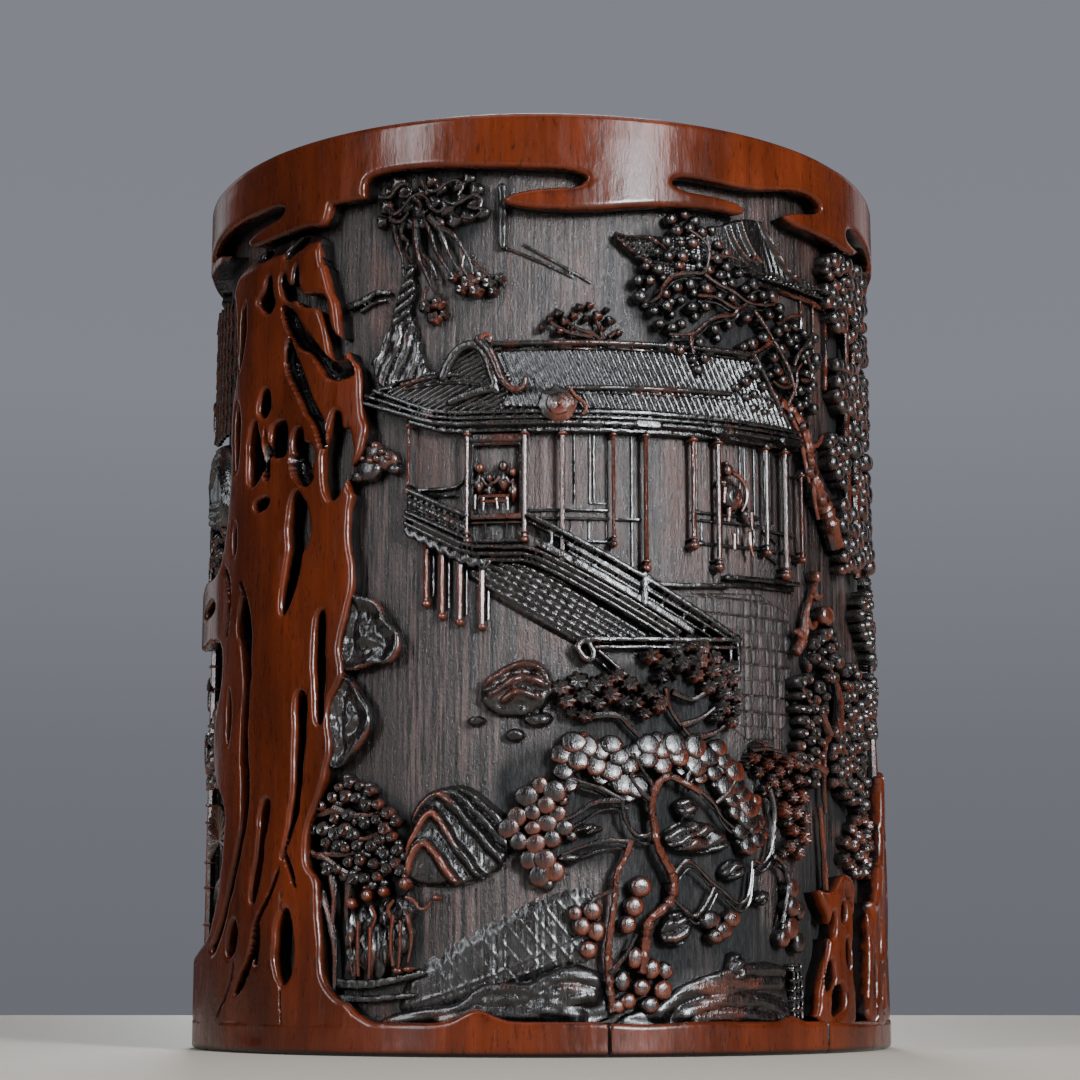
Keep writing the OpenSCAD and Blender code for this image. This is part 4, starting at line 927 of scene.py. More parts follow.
def rock_height(x, z, d):
    sweep = x + 2.2 * np.sin(z / 6.5) + 0.8 * waver(x, z, 4, 6)
    strands = np.abs(np.sin(sweep * 1.35))
    combs = np.abs(np.sin((x * 0.55 - z) * 2.1))
    mix = ease(z, 109.5, 111.5)
    return 1.7 - edge(d, 0.5) - 0.75 * (1 - (strands * (1 - mix) + combs * mix)) ** 2 + 0.25 * waver(x, z,
            1.2, 1.6)


relief("hanging_rock_carved", span_of(*ROCK), lambda x, z: area(x, z, ROCK[0]) + 0.4 * waver(x, z, 1.3, 1.3),
       rock_height,
       ["hanging_rock"], step=0.2, wear=lambda x, z, d, h: 0.1 + 0.3 * waver(x, z, 3, 3))
ridges("shelf_and_strut", [([(-33, 115), (-30.5, 115.5), (-28, 116.6), (-25.5, 116.2)], 1.3, 0.8, 1.3),
                           ([(-31, 114), (-28.5, 115), (-26.3, 115.1)], 0.7, 0.5, 1.0),
                           ([(-6.2, 122.2), (-6.2, 127), (-6.3, 131.6)], 1.1, 1.3, 1.5),
                           ([(-6.6, 122.4), (-1, 120.2), (5, 117.4)], 0.45, 0.4, 0.45),
                           ([(-3, 122.6), (3, 119.4), (8, 116.6)], 0.45, 0.4, 0.4)], red=0.2)

# %% [markdown]
# ## The far roof
# A second pavilion stands higher up and further off, so its relief is lower. Its roof is tiled with a scale
# pattern, its hips are double lines, and a plain wall with a framed panel stands below the eaves.

# %% Far roof and wall
FAR_ROOF = [(10.8, 124.9), (14, 123.9), (17, 124.6), (20, 124.5), (26, 126), (31.8, 128.4), (34, 129.4),
            (38.5, 130.2),
            (40.5, 127.6), (43, 124.6), (46, 122.6), (60, 122.2), (60.5, 120.2), (36, 120.4), (34, 121.5),
            (26, 120),
            (19, 117.6), (17.5, 119), (13.5, 121.5)]
HIPS = [[(11, 124.7), (14, 123.8), (17, 124.3), (20, 122.5)], [(11.5, 123.8), (15, 121.2), (18.5, 118.8)],
        [(31.8, 128), (32.5, 126), (34.5, 123.5), (36.5, 122.5), (37, 124)],
        [(38.5, 130), (40, 127.5), (42.5, 124.5), (45, 122.3), (48, 121.6)],
        [(34.2, 128.8), (35.2, 126.2), (37, 123.9), (38.4, 122.9)]]


def far_roof_height(x, z, d):
    scale = np.sin((x * 0.9 + z) * 3.6) * np.sin((x * 0.9 - z) * 3.6)
    h = 1.5 - 0.6 * edge(d, 0.5) + 0.22 * scale * ease(-x / DEG, -30, -22)
    h = h + 0.14 * np.sin((x + 0.4 * z) * 5.0) * ease(x / DEG, 38, 42)
    line = join(*[stroke(x, z, hip, 0.9) for hip in HIPS])
    return h + 0.75 * ease(-line, -0.1, 0.3) - 0.5 * ease(np.abs(z - 121.1 + 0.25 * np.sin(x)), 0.45, 0.1)


relief("far_roof_carved", span_of(FAR_ROOF), lambda x, z: area(x, z, FAR_ROOF), far_roof_height, ["far_roof"],
       step=0.2,
       wear=lambda x, z, d, h: 0.05 + 0.35 * ease(h, 1.5, 2.1))
ridges("far_wall_carved", [([(49.5, 119.6), (54, 119.4), (58, 119.2)], 0.9, 0.9),
                           ([(58, 121), (58, 112), (57.6, 106)], 0.9, 0.9),
                           ([(50, 119), (50.2, 112), (50, 107)], 0.5, 0.5, 0.7),
                           ([(54, 119), (54, 107)], 0.5, 0.5, 0.6),
                           ([(36.5, 119.4), (43, 119.5), (50, 119.4)], 0.6, 0.6, 0.9)], ["far_wall"], top=1.0)

# %% [markdown]
# ## The hall's roof
# The hall is seen from one corner. Its long roof is tiled in fine slanting rows, cut with a V-tool at an even
# pitch, and the short hip at the left slants the other way. The ridges stand above the tiles as plain worn
# rolls: a horseshoe gable, a curl at the corner and a round end tile.

# %% Hall roof
HALL_ROOF = [(-26.8, 100.6), (-24.5, 100.6), (-22.3, 101.1), (-16, 102.1), (-14, 104.8), (-11.8, 106.6),
             (-9.3, 106.9),
             (-7.5, 106.6), (2, 106.7), (20, 107.1), (36, 107.6), (40.5, 101.5), (45.5, 95.6), (45.5, 94.2),
             (20, 94.1), (2.5, 94), (-15.5, 94), (-21, 97)]
MAIN_TILES = [(-9.5, 106.4), (2, 106.5), (20, 106.9), (36, 107.4), (40.3, 101.5), (45, 95.9), (4, 95.9),
              (-6.5, 96.3),
              (-4.8, 100.5)]
PITCH = 1.07


def hall_roof_height(x, z, d):
    main = ease(-area(x, z, MAIN_TILES, 0), 0, 0.4)
    rows = np.abs(np.sin((x + 0.44 * z) * math.pi / PITCH))
    hip = np.abs(np.sin((z - 0.52 * x) * math.pi / 0.86))
    tile = main * (0.40 * rows ** 0.5) + (1 - main) * 0.34 * hip ** 0.7
    slope = 0.8 * ease(z, 107, 95)
    lower = 0.35 * ease(z - 0.05 * x, 99.6, 98.4) * main
    return 1.15 + slope + lower + tile - 0.5 * edge(d, 0.4) + 0.06 * waver(x, z, 1, 1)


relief("hall_roof_tiles", span_of(HALL_ROOF), lambda x, z: area(x, z, HALL_ROOF, 1), hall_roof_height,
       ["hall_roof"],
       step=0.185, wear=lambda x, z, d, h: 0.02 + 0.12 * waver(x, z, 6, 3))

# %% Ridges of the hall
ridges("hall_ridges_carved", [
    ([(-8, 106.4), (2, 106.5), (20, 106.9), (36.3, 107.4)], 0.9, 0.9, 2.5),
    ([(-7.8, 105.4), (2, 105.6), (20, 106), (36, 106.5)], 0.45, 0.45, 2.1),
    ([(4, 99.3), (18, 99.7), (31, 100.3)], 0.9, 0.8, 3.1), ([(4, 98.4), (18, 98.8), (31, 99.4)], 0.4, 0.4,
        2.8),
    ([(36.3, 107.4), (39, 103.6), (42.6, 98.5), (45.6, 95.2)], 0.9, 0.9, 2.7),
    ([(-15.5, 101.6), (-14.6, 103.7), (-13.1, 105.7), (-11, 106.6), (-9.5, 105.9), (-8.4, 104), (-7.7, 101.6),
      (-6.9, 99)], 1.5, 1.3, 2.9),
    ([(-9.6, 107), (-8.2, 105.5), (-7.1, 103.3), (-6.4, 101.3), (-5.3, 99.5), (-3.9, 98.8), (-2.6, 99.4),
      (-2.4, 100.7)],
     1.5, 0.9, 3.4),
    ([(-22.5, 100.9), (-19, 101.5), (-16, 101.9), (-13.3, 101.9)], 0.8, 0.8, 2.4),
    ([(-22, 100.1), (-14.5, 100.8), (-9.3, 99.9)], 0.6, 0.6, 2.4),
                              ([(-14.2, 97.5), (-11, 98.6), (-7.4, 99.5)], 1.3, 1.5, 3.0),
    ([(-29.6, 98.8), (-26.6, 100.5), (-24.6, 100.7)], 0.7, 1.0, 2.3)],
    ["hall_ridges"], step=0.2, red=0.26, round_=0.55)
curl = Heap(21)
curl.pad((2.5, 96.6), 3.1, 3.0, 4.0, low=0.4, dimple=0.22, red=0.35, segments=28)
curl.pad((2.5, 96.6), 1.9, 1.8, 4.15, low=2.4, dimple=0.2, red=0.15, segments=20)
curl.twigs([[(2.5, 96.6), (3.4, 97.3), (2.9, 98), (1.7, 97.6), (1.5, 96.3), (2.6, 95.5), (4, 96.1),
             (4.4, 97.6)],
            [(4.3, 98.9), (5.2, 97.6), (6.3, 96.9), (6.9, 96), (6.2, 95)]], 0.6, 0.5, 3.7, 3.6, red=0.6)
curl.twig([(-9.3, 106.9), (-8.6, 107.7), (-7.6, 107.3), (-7.9, 106.4)], 0.9, 0.6, 3.2, red=0.6)
curl.bake("hall_ridge_end_tile")

# %% [markdown]
# ## Eaves
# Four thin lines run under the roof: the tile edge, the board, the rafters and the beam. The rafters stand out
# furthest of the four, and three short blocks above the posts stand out further still; under them lies the deep
# shadow in which the posts begin.

# %% Eaves
EAVES = [[(-27, 100.3), (-21.5, 97.9), (-15.6, 95.7), (-5, 95.6), (10, 95.7), (45.5, 96.2)],
         [(-28.4, 99.6), (-21.5, 96.9), (-15.4, 94.8), (-5, 94.7), (10, 94.8), (46, 95.3)],
         [(-29.6, 98.8), (-21.2, 95.8), (-15.2, 93.9), (-5, 93.8), (10, 93.9), (46.3, 94.4)],
         [(-21, 95), (-15, 93.1), (-5, 93), (10, 93.1), (46.5, 93.6)]]
ridges("hall_eaves_carved", [(EAVES[0], 0.6, 0.6, 3.0), (EAVES[1], 0.5, 0.5, 3.1), (EAVES[2], 0.6, 0.6, 3.25),
                             (EAVES[3], 0.7, 0.7, 2.0)]
       + [([(a - 1.6, 94), (a + 1.6, 94)], 1.1, 1.1, 3.6) for a in (16.4, 29, 43)], ["hall_eaves"], step=0.19,
       red=0.12,
       round_=0.15)

# %% [markdown]
# ## Posts, doors and rails
# Each post is an upright reed, worn red along its length, with a small knob for a base. Between them stand
# recessed door panels with a moulded frame and low lattice rails.

# %% Posts
POSTS = [(-21.2, 94.8, 84, 0.55), (-11.6, 92.9, 76, 0.85), (-2.6, 92.9, 76, 0.85), (3.2, 92.9, 73, 0.95),
         (11.2, 92.9, 75.5, 0.7), (16.4, 93, 72, 0.9), (24.5, 93, 76, 0.95), (29, 93, 73, 1.0),
         (38.7, 93.2, 76.2, 0.7),
         (43, 93.2, 73, 0.95), (47, 90, 76, 0.7)]
posts = Heap(31)
for azimuth, high, low, width in POSTS:
    posts.twig([(azimuth, high), (azimuth, (high + low) / 2), (azimuth, low)], width * 0.85, width * 0.85,
               1.9, red=0.3,
               gnarl=0.06)
    posts.pad((azimuth, low), width * 0.95, width * 0.75, 2.7, red=0.4)
    posts.pad((azimuth, low + 1.1), width * 0.8, width * 0.3, 2.6, red=0.5)
    posts.pad((azimuth, high - 0.5), width * 0.9, width * 0.45, 2.7, red=0.4)
posts.bake("hall_posts_carved", ["hall_posts"])
RAILS = [[(-2.2, 79.5), (10.7, 79.6)], [(-2.2, 80.8), (10.7, 80.9)], [(4.5, 76), (10.7, 76.1)],
         [(25, 80.3), (38.3, 80.5)],
         [(25, 81.5), (38.3, 81.7)], [(25, 76.7), (42.5, 76.9)], [(39.4, 80), (46.7, 80)],
         [(39.3, 79.8), (42.3, 78.3)],
         [(39.3, 76.4), (42.3, 75)], [(12, 79.6), (16, 79.7)], [(43.5, 77), (46.8, 77)]]
DOORS = [[(7.7, 82), (7.7, 92.6)], [(8.4, 82), (8.4, 92.6)], [(10.5, 82), (10.5, 92.6)],
         [(7.7, 82), (10.6, 82)],
         [(14.6, 72), (14.6, 92.6)], [(34.6, 82.2), (34.6, 92.6)], [(35.6, 82.2), (35.6, 92.6)],
         [(37.6, 82), (37.6, 92.6)],
         [(40, 81), (40, 92.8)], [(41.8, 81), (41.8, 92.8)], [(26, 82), (26, 92.6)], [(5.2, 82), (5.2, 92.6)],
         [(4.6, 76), (4.6, 79.5)], [(7.6, 76), (7.6, 79.5)], [(10.4, 76), (10.4, 79.5)],
         [(26.8, 77), (26.8, 80.3)],
         [(30.6, 77), (30.6, 80.3)], [(34, 77), (34, 80.3)], [(37.4, 77), (37.4, 80.3)],
         [(44.8, 77), (44.8, 93)]]
ridges("hall_rails_carved", [(r, 0.38, 0.38, 0.75) for r in RAILS] + [(d, 0.3, 0.3, 0.36) for d in DOORS],
       ["hall_rails"],
       step=0.2, red=0.2, round_=0.15)

# %% [markdown]
# ## The room with company
# One bay is open. Three small figures sit and stand about a low table, and a lintel and side frames give the
# bay its depth. The figures are only suggested by rounded heads, sleeves and folds. They are nobody.

# %% Room
ridges("room_frame_carved", [([(-11.4, 91.9), (-2.8, 91.9)], 1.0, 1.0, 1.9),
                             ([(-11, 91), (-3.2, 91)], 0.4, 0.4, 1.5),
                             ([(-10.9, 91), (-10.9, 80.3)], 0.45, 0.45, 1.5),
                             ([(-3.3, 91), (-3.3, 80.3)], 0.45, 0.45, 1.5),
                             ([(-11, 79.8), (-3, 79.8)], 0.7, 0.7, 1.7),
                             ([(-11, 78.9), (-3, 78.9)], 0.35, 0.35, 1.3),
                             ([(-8.8, 79), (-8.8, 76)], 0.35, 0.35, 1),
                             ([(-5.4, 79), (-5.4, 76)], 0.35, 0.35, 1),
                             ([(-11, 76), (-3, 76)], 0.6, 0.6, 1.4)], ["room_frame"], step=0.18, red=0.3,
       round_=0.15)
people = Heap(41)
people.pads([(-9.6, 87.2, 0.75, 0.85), (-6, 87.5, 0.8, 0.9), (-8.1, 85.6, 0.6, 0.7),
             (-4.5, 86.5, 0.65, 0.75)], 1, 2.3,
            red=0.35)
people.pads([(-9.8, 84.9, 1.15, 1.8), (-6, 85.2, 1.25, 1.7), (-8.1, 83.7, 1.1, 1.4), (-4.5, 83.8, 0.85, 2.3)],
            1, 1.9,
            red=0.15, ribs=4)
people.twigs([[(-9.3, 85.6), (-8.5, 84.4), (-7.6, 84.6)], [(-6.4, 85.8), (-7.2, 84.7), (-8, 85)],
              [(-5.5, 85.6), (-4.9, 84.6), (-4.3, 85.3)], [(-10.3, 83), (-10.3, 80.8)],
              [(-9, 82.6), (-9, 80.6)],
              [(-5.3, 82.6), (-5.2, 80.6)], [(-7, 82.4), (-6.8, 80.8)]], 0.55, 0.4, 1.9, red=0.25)
people.twigs([[(-9.7, 82.7), (-7, 82.8), (-5, 82.7)], [(-9.4, 82), (-5.2, 82)]], 0.6, 0.6, 1.9, red=0.3)
people.pads([(-7.6, 83.6, 0.35, 0.3), (-6.4, 83.4, 0.3, 0.25)], 1, 2.2, red=0.3)
people.bake("room_figures_carved", ["room_figures"])

drum = Heap(42)
drum.pad((31.7, 84.2), 2.1, 2.1, 2.6, dimple=0.12, red=0.1, segments=28)
drum.pad((31.7, 84.2), 1.4, 1.4, 2.75, low=1.8, dimple=0.1, red=0.0, segments=24)
drum.pads([(31, 88.4, 0.95, 1.0), (30.6, 89.4, 0.5, 0.4)], 1, 2.4, red=0.3)
drum.pads([(30.3, 86.4, 1.1, 1.1), (34.6, 81.8, 1.0, 1.6)], 1, 1.9, ribs=4, red=0.25)
drum.twigs([[(31.6, 87.9), (33, 87.4), (34.3, 85.7), (34.2, 83.6), (33.2, 82)], [(30.8, 82.3), (30.6, 80.2)],
            [(35, 82), (35.2, 79.4)], [(30, 85.4), (29.8, 83)]], 0.9, 0.5, 2.2, red=0.4)
drum.twigs([[(34.8, 78.9), (34.9, 76.8), (35.5, 75.3)], [(31.8, 78.4), (31.8, 76)]], 0.9, 0.6, 2.0, red=0.4)
drum.bake("drummer_carved", ["drummer"])

# %% [markdown]
# ## Gallery, deck and stair
# The hall stands on stilts, with a railed gallery at the left and a long covered stair that runs down to the
# right. They are bundles of parallel boards, so each is a set of strokes, and scalloped brackets hang below.

# %% Gallery and deck
GALLERY = [([(-21.3, 84.4), (-16.5, 82.1), (-11.7, 79.9)], 0.65, 0.65, 2.7),
           ([(-21.3, 80.9), (-11.7, 76.4)], 0.6, 0.6, 2.5),
           ([(-21.2, 83.1), (-11.7, 78.7)], 0.35, 0.35, 1.9), ([(-21.2, 82), (-11.7, 77.5)], 0.35, 0.35, 1.9),
           ([(-20.5, 84.4), (-14, 84.3), (-12.4, 85.4)], 0.5, 0.5, 1.4),
           ([(-20.8, 83.6), (-13.5, 83.2)], 0.3, 0.3, 1.1)]
GALLERY += [([(a, 84.3 - (a + 21.3) * 0.47), (a, 80.9 - (a + 21.3) * 0.47)], 0.85, 0.85, 1.7)
            for a in np.linspace(-21.1, -12, 10)]
ridges("gallery_rail_carved", GALLERY, ["gallery_rail"], step=0.2, red=0.12, round_=0.2)
EDGE = [(-21.5, 80.2), (-16, 77.4), (-11.2, 75), (-6, 74.9), (-2, 74.9), (3, 72.5), (15, 66.2), (21.5, 62.6)]
DECK = [([(a, z - drop) for a, z in EDGE], 0.6, 0.6, top) for drop, top in ((0, 3.0), (1.0, 2.7), (1.9, 2.2))]
BRACKETS = [(-20.6, 77), (-19, 76.2), (-17.3, 75.3), (-15.6, 74.4), (-14, 73.6), (-12.4, 72.8), (-10.8, 72.2),
            (-9, 71.8)]
DECK += [([(a - 0.8, z + 1.2), (a, z), (a + 0.8, z + 0.8)], 1.0, 0.9, 2.3) for a, z in BRACKETS]
ridges("deck_carved", DECK, ["deck"], step=0.2, red=0.15, round_=0.25)
stilts = Heap(51)
for azimuth, high, low in ((-18.3, 77, 66.8), (-15.7, 75.4, 64.8), (-12.8, 73.6, 63.8), (-9.3, 72.4, 63)):
    stilts.twig([(azimuth, high), (azimuth, (high + low) / 2), (azimuth, low)], 1.15, 1.0, 1.2, red=0.38,
                gnarl=0.1)
    stilts.twig([(azimuth + 0.9, high - 1.5), (azimuth + 0.9, low + 1.2)], 0.45, 0.4, 0.5, red=0.1)
    stilts.pad((azimuth, low), 0.75, 0.6, 1.9, red=0.5)
stilts.bake("stilts_carved", ["stilts"])

# %% Stair
HATCH = [(-14, 71), (-9, 73.4), (-3, 73.4), (2, 71.5), (8, 67.8), (20.6, 61), (9, 59.6), (6, 59.6)]


def hatch_height(x, z, d):
    along = (x + 1.9 * z) / 2.15
    rows = np.abs(np.sin(along * math.pi / 1.05))
    short = np.abs(np.sin((x * 1.5 - z * 0.9) * 1.15))
    return 0.75 + 0.42 * rows ** 0.6 + 0.12 * short - 0.9 * ease(d, -1.0, 0) + 0.06 * waver(x, z, 0.8, 0.8)


relief("stair_underside", span_of(HATCH), lambda x, z: area(x, z, HATCH, 1), hatch_height, step=0.2,
       wear=lambda x, z, d, h: -0.05 + 0.2 * waver(x, z, 5, 5))
STAIR = [([(-2, 79.7), (3, 77.2), (15.5, 70.7), (31.7, 62)], 0.7, 0.7, 3.2),
         ([(-1.8, 78.7), (3, 76.2), (15.5, 69.6), (31.2, 61.4)], 0.35, 0.35, 2.4),
         ([(4, 75.2), (15.5, 69), (30, 62.1)], 0.45, 0.45, 2.5),
         ([(4.2, 74.2), (15.7, 68), (27, 62.2)], 0.4, 0.4, 2.2),
         ([(0, 75.2), (3.5, 73.4), (16, 66.8), (23.5, 62.8)], 1.2, 1.1, 2.8),
         ([(15.8, 71), (15.8, 66.4)], 0.8, 0.8, 3.2),
         ([(1.5, 78), (1.5, 75)], 0.5, 0.5, 2.6), ([(31.6, 62.4), (31.9, 59.8)], 0.8, 0.7, 3.0)]
STAIR += [([(a, 77.6 - (a - 2) * 0.53), (a, 76 - (a - 2) * 0.53)], 0.4, 0.4, 2.3) for a in (5.5, 8.5, 12, 19,
        22.5, 26)]
ridges("stair_carved", STAIR, ["stair"], step=0.2, red=0.08, round_=0.15)
LANDING = [([(6.8, 60.9), (15, 61.1), (24, 61.4), (32, 62)], 0.7, 0.7, 3.0),
           ([(7.4, 59.8), (24, 60.3), (31.6, 60.8)], 0.6, 0.6, 2.5),
           ([(5.3, 59.8), (6.8, 61.2), (8.2, 58.4), (6.8, 57.6), (5.3, 59.8)], 0.9, 0.9, 2.8),
           ([(30.7, 61), (30.7, 57.2)], 0.6, 0.6, 2.4),
           ([(32.1, 62), (32, 57)], 0.7, 0.6, 2.7), ([(8, 60), (13.2, 55.8)], 0.6, 0.5, 1.9),
           ([(7.5, 59), (12, 55.2)], 0.4, 0.4, 1.6),
           ([(17.5, 59.8), (21.5, 55.5)], 0.5, 0.4, 1.6), ([(30.5, 57.2), (32.2, 57)], 0.6, 0.6, 2.4)]
ridges("landing_carved", LANDING, ["landing"], step=0.2, red=0.2, round_=0.25)
ridges("ledges_carved", [([(16, 71.6), (18, 70), (20, 69.7), (25, 70), (31.5, 70.5)], 0.8, 0.7, 1.6),
                         ([(30.8, 71.7), (38, 71.9), (46.5, 72.1)], 0.8, 0.8, 1.7),
                         ([(31.5, 70.6), (46, 71)], 0.35, 0.35, 1.1)],
       ["ledges"], red=0.12)

# %% [markdown]
# ## The brick terrace wall
# Under the hall the ground is scored with a fine brick bond, lighter and shallower than anything else, so that
# it stays in the distance.

# %% Brick wall
BRICKS = [(17, 69), (46, 70.8), (47, 58), (44.5, 47), (32, 46.3), (31, 55), (33, 63), (24, 66)]
COURSE = 2.45


def brick_height(x, z, d):
    row = np.floor(z / COURSE)
    bed = np.abs(z / COURSE - row - 0.5) * COURSE
    joint = np.abs((x / 3.1 + 0.5 * (row % 2)) % 1 - 0.5) * 3.1
    score = 0.2 * np.maximum(ease(bed, 1.02, 1.2), 0.8 * ease(joint, 1.33, 1.5))
    return 0.17 - score + 0.6 * fibres(x, z) - 0.5 * ease(d, -0.8, 0)


relief("brick_wall", span_of(BRICKS), lambda x, z: area(x, z, BRICKS, 1), brick_height, step=0.21,
       wood=GROUND_WOOD,
       slot="bamboo_ground", wear=lambda x, z, d, h: 0.1 + 0.1 * waver(x, z, 5, 9))

# %% [markdown]
# ## Plum tree and small tree
# Fruit trees are carved as clusters of round berries over crooked twigs. Every berry is undercut, and the foot
# of each berry and a lower second layer of berries are painted near black as painted shade, so black gaps show
# between them. A thick trunk, worn red, twists down at the right of the hall.

# %% Small tree and plum
small = Heap(61)
small.twigs([[(4, 109.9), (6, 108.7), (8, 108.3), (9.4, 107.2)], [(1.4, 109.8), (4, 108.2), (8, 107.7)],
             [(8.6, 110.3), (9.4, 108.8), (9.8, 107.3)], [(12, 108.8), (10.6, 107.8)]], 0.6, 0.8, 1.4,
            red=0.15)
small.pads([(1.2, 110.3), (2.6, 111.3), (3.6, 110), (2.8, 108.4), (5, 110.9), (6, 112.3), (7.6, 112.6),
            (8.8, 111),
            (6.9, 110.6), (10.9, 110.4), (12.2, 108.5), (4.8, 108.9), (10.2, 112), (9.6, 109), (0, 109)],
           0.85, 2.3,
           red=0.08, ribs=3)
small.bake("small_tree_carved", ["small_tree"])
PLUM_TWIGS = [[(43, 100), (44.5, 102.5), (45.3, 104.3), (45, 106), (46.5, 107.5)],
              [(45.3, 104.3), (43, 103), (41, 102.8), (39.5, 103.5)],
              [(45, 107), (45.8, 109), (47.5, 110.5), (48.7, 111.8)],
              [(46.5, 105), (48.5, 105), (49.5, 106.3), (48, 109)],
              [(20.3, 117.5), (21.5, 118.3), (24, 118.8), (26.5, 118.9), (27, 120.5), (27.5, 123),
               (26, 124.5), (23.5, 125.7)],
              [(26.5, 118.9), (29, 117.5), (31.5, 117), (34.5, 115.3), (37.5, 115.5), (40, 116)],
              [(34.5, 115.3), (32.5, 114), (30.5, 114.5), (28.5, 115.5), (25, 115.2)],
              [(32.5, 114), (32, 113), (29, 112.5), (27, 111.5), (25.5, 110), (24, 108.8), (20, 108.5)],
              [(20.3, 117.5), (19, 116), (18.8, 114.5), (17, 113.3)],
              [(24, 108.8), (23.8, 107.5), (24.2, 105.8)],
              [(36, 114.5), (38.5, 112), (41, 109), (43.5, 106), (44.8, 102)],
              [(40, 110.2), (37.5, 108.5), (35, 107)],
              [(27.3, 121.5), (30, 122.5), (33, 122)], [(41, 113), (44, 115), (47, 115.5)]]
plum = Heap(62)
plum.twigs(PLUM_TWIGS, 0.8, 0.5, 2.6, 3.0, red=0.15, gnarl=0.3)
plum.twigs([[(a + 0.8, z - 0.4) for a, z in path[::-1]] for path in PLUM_TWIGS[4:]], 0.6, 0.4, 1.4, 1.9,
           red=-0.05, gnarl=0.3)
plum.bake("plum_boughs_carved", ["plum_boughs"])
PLUM = [(21, 127.3), (23.2, 128.2), (25.2, 127.5), (24.2, 126.2), (21.8, 125.4), (26.3, 125.8), (28.3, 126.4),
        (20.2, 123.5), (22.6, 123.6), (24.6, 123.8), (29.3, 124.2), (18.3, 121.6), (20.4, 121.2),
        (22.8, 121.4),
        (25, 121.6), (29, 121.8), (31, 120.9), (33.2, 120), (30.9, 123), (16.6, 119.2), (18.6, 118.9),
        (22.2, 119.9),
        (24.2, 117.2), (27.5, 119.9), (29.6, 119.2), (32, 118.4), (34.6, 117.8), (36.6, 118.9), (15.2, 116.8),
        (17.2, 117), (19.8, 115.2), (21.8, 116.4), (15.6, 114.3), (17.8, 112.2), (20, 113.2), (22.4, 114.2),
        (24.4, 113.4), (26.8, 113.8), (27, 116.7), (29.6, 115.9), (31.8, 115.8), (36, 116.6), (38.4, 117.4),
        (40.6, 117.6),
        (42.4, 116), (39.8, 114.4), (37.4, 113.4), (35, 113.2), (30.6, 112.9), (18.8, 110.2), (20.8, 109.7),
        (22.6, 110.6), (25.6, 107.9), (22.3, 106.4), (24.4, 105.1), (26.4, 105.5), (25.4, 103.6),
        (20.6, 106.9),
        (28.4, 110.4), (41.6, 112), (43.8, 113.2), (45.8, 113.6), (38.4, 110.4), (36.2, 109.2), (34.2, 108.4),
        (40.5, 107.6), (42.6, 109.4), (44.2, 110.7), (46.2, 111.8), (48.2, 113), (49.6, 111.6), (47.2, 108.8),
        (49, 109.8), (50.3, 107.6), (48.6, 106.4), (37.6, 105.6), (39.5, 104.6), (36, 104.2), (38, 102.6),
        (34.4, 102.8), (32.6, 101.6), (34.2, 100.2), (36.2, 101), (41, 101.2), (39.4, 100), (32, 99.2),
        (36, 98.7),
        (43, 104.4), (41.6, 105.6), (47, 103.4), (49, 103.8), (50.6, 104.8), (46.6, 100.8), (48.4, 101.4),
        (44, 98.6),
        (50.6, 101), (51.8, 109.4), (51.2, 112.8), (38.2, 98.4), (41.8, 98.8)]
berries = Heap(63)
berries.pads(PLUM, 1.02, 3.0, red=0.05)
# A lower layer of berries behind the first, painted darker: painted shade between the berries.
berries.pads([(a + 1.3, z - 1.0) for a, z in PLUM[::2]], 0.85, 1.7, red=-0.1)
berries.bake("plum_berries_carved", ["plum_berries"])
TRUNK = [[(42, 100.4), (44, 99.9), (46.8, 98), (48.6, 94.5), (49.3, 91), (51.6, 87), (55, 84), (57.5, 79.5)],
         [(44.2, 98.4), (46.4, 95.6), (47.6, 92), (48.6, 88.6)], [(48.8, 94.6), (51, 94.8), (53, 97)],
         [(50.2, 89.6), (49.8, 86.4), (51, 83)]]
trunk = Heap(64)
trunk.twig(TRUNK[0], 1.9, 3.3, 2.0, 1.9, red=0.42, gnarl=0.16, rounds=3)
trunk.twigs(TRUNK[1:], 0.9, 0.6, 2.4, red=0.5, gnarl=0.25)
trunk.pads([(48.7, 90.3, 0.9, 1.2), (51.8, 86.2, 0.8, 1.1), (46.4, 97.2, 0.7, 0.9)], 1, 4.0, dimple=0.25,
           red=0.5)
trunk.bake("plum_trunk_carved", ["plum_trunk"])

# %% [markdown]
# ## Middle rocks
# A folded rock floats in the mist below the stair, with three pebbles. Its folds are parallel ridges.

# %% Middle rocks
MID = [[(-9.6, 53.2), (-8.7, 55.4), (-5, 57.6), (-2, 58.3), (0.4, 57.5), (2.3, 55), (1.7, 52.3), (0, 50),
        (-4, 49.3),
        (-7.2, 49.7), (-9.3, 51.2)],
       [(-11.9, 49), (-10.6, 49.9), (-8.9, 49.7), (-8.2, 48.8), (-9.4, 48.1), (-11.2, 48.2)],
       [(-5.9, 46.9), (-4.6, 47.9), (-2.8, 47.6), (-2.1, 46.4), (-3.6, 45.6), (-5.4, 46)],
       [(-3.2, 49.2), (-1.2, 50.4), (1.4, 50.2), (2.3, 49), (0.6, 47.9), (-2.2, 48.1)]]
FOLDS = [[(-9.3, 54), (-5.5, 56.6), (-2, 57.5), (0.8, 55.8), (1.6, 53)],
         [(-7.7, 52.8), (-4.4, 54.8), (-2, 55.4), (0.6, 54)],
         [(-5.7, 51.8), (-3.4, 53.5), (-1.3, 52.4)]]


def mid_height(x, z, d):
    line = join(*[stroke(x, z, fold, 0.8) for fold in FOLDS])
    fold = 0.75 * ease(-line, -0.5, 0.35)
    return 2.1 - 1.5 * edge(d, 1.0) + fold + 0.3 * waver(x, z, 1.5, 0.8) - 0.5 * ease(z, 53, 49.5) * ease(z,
            48.5, 50.5)


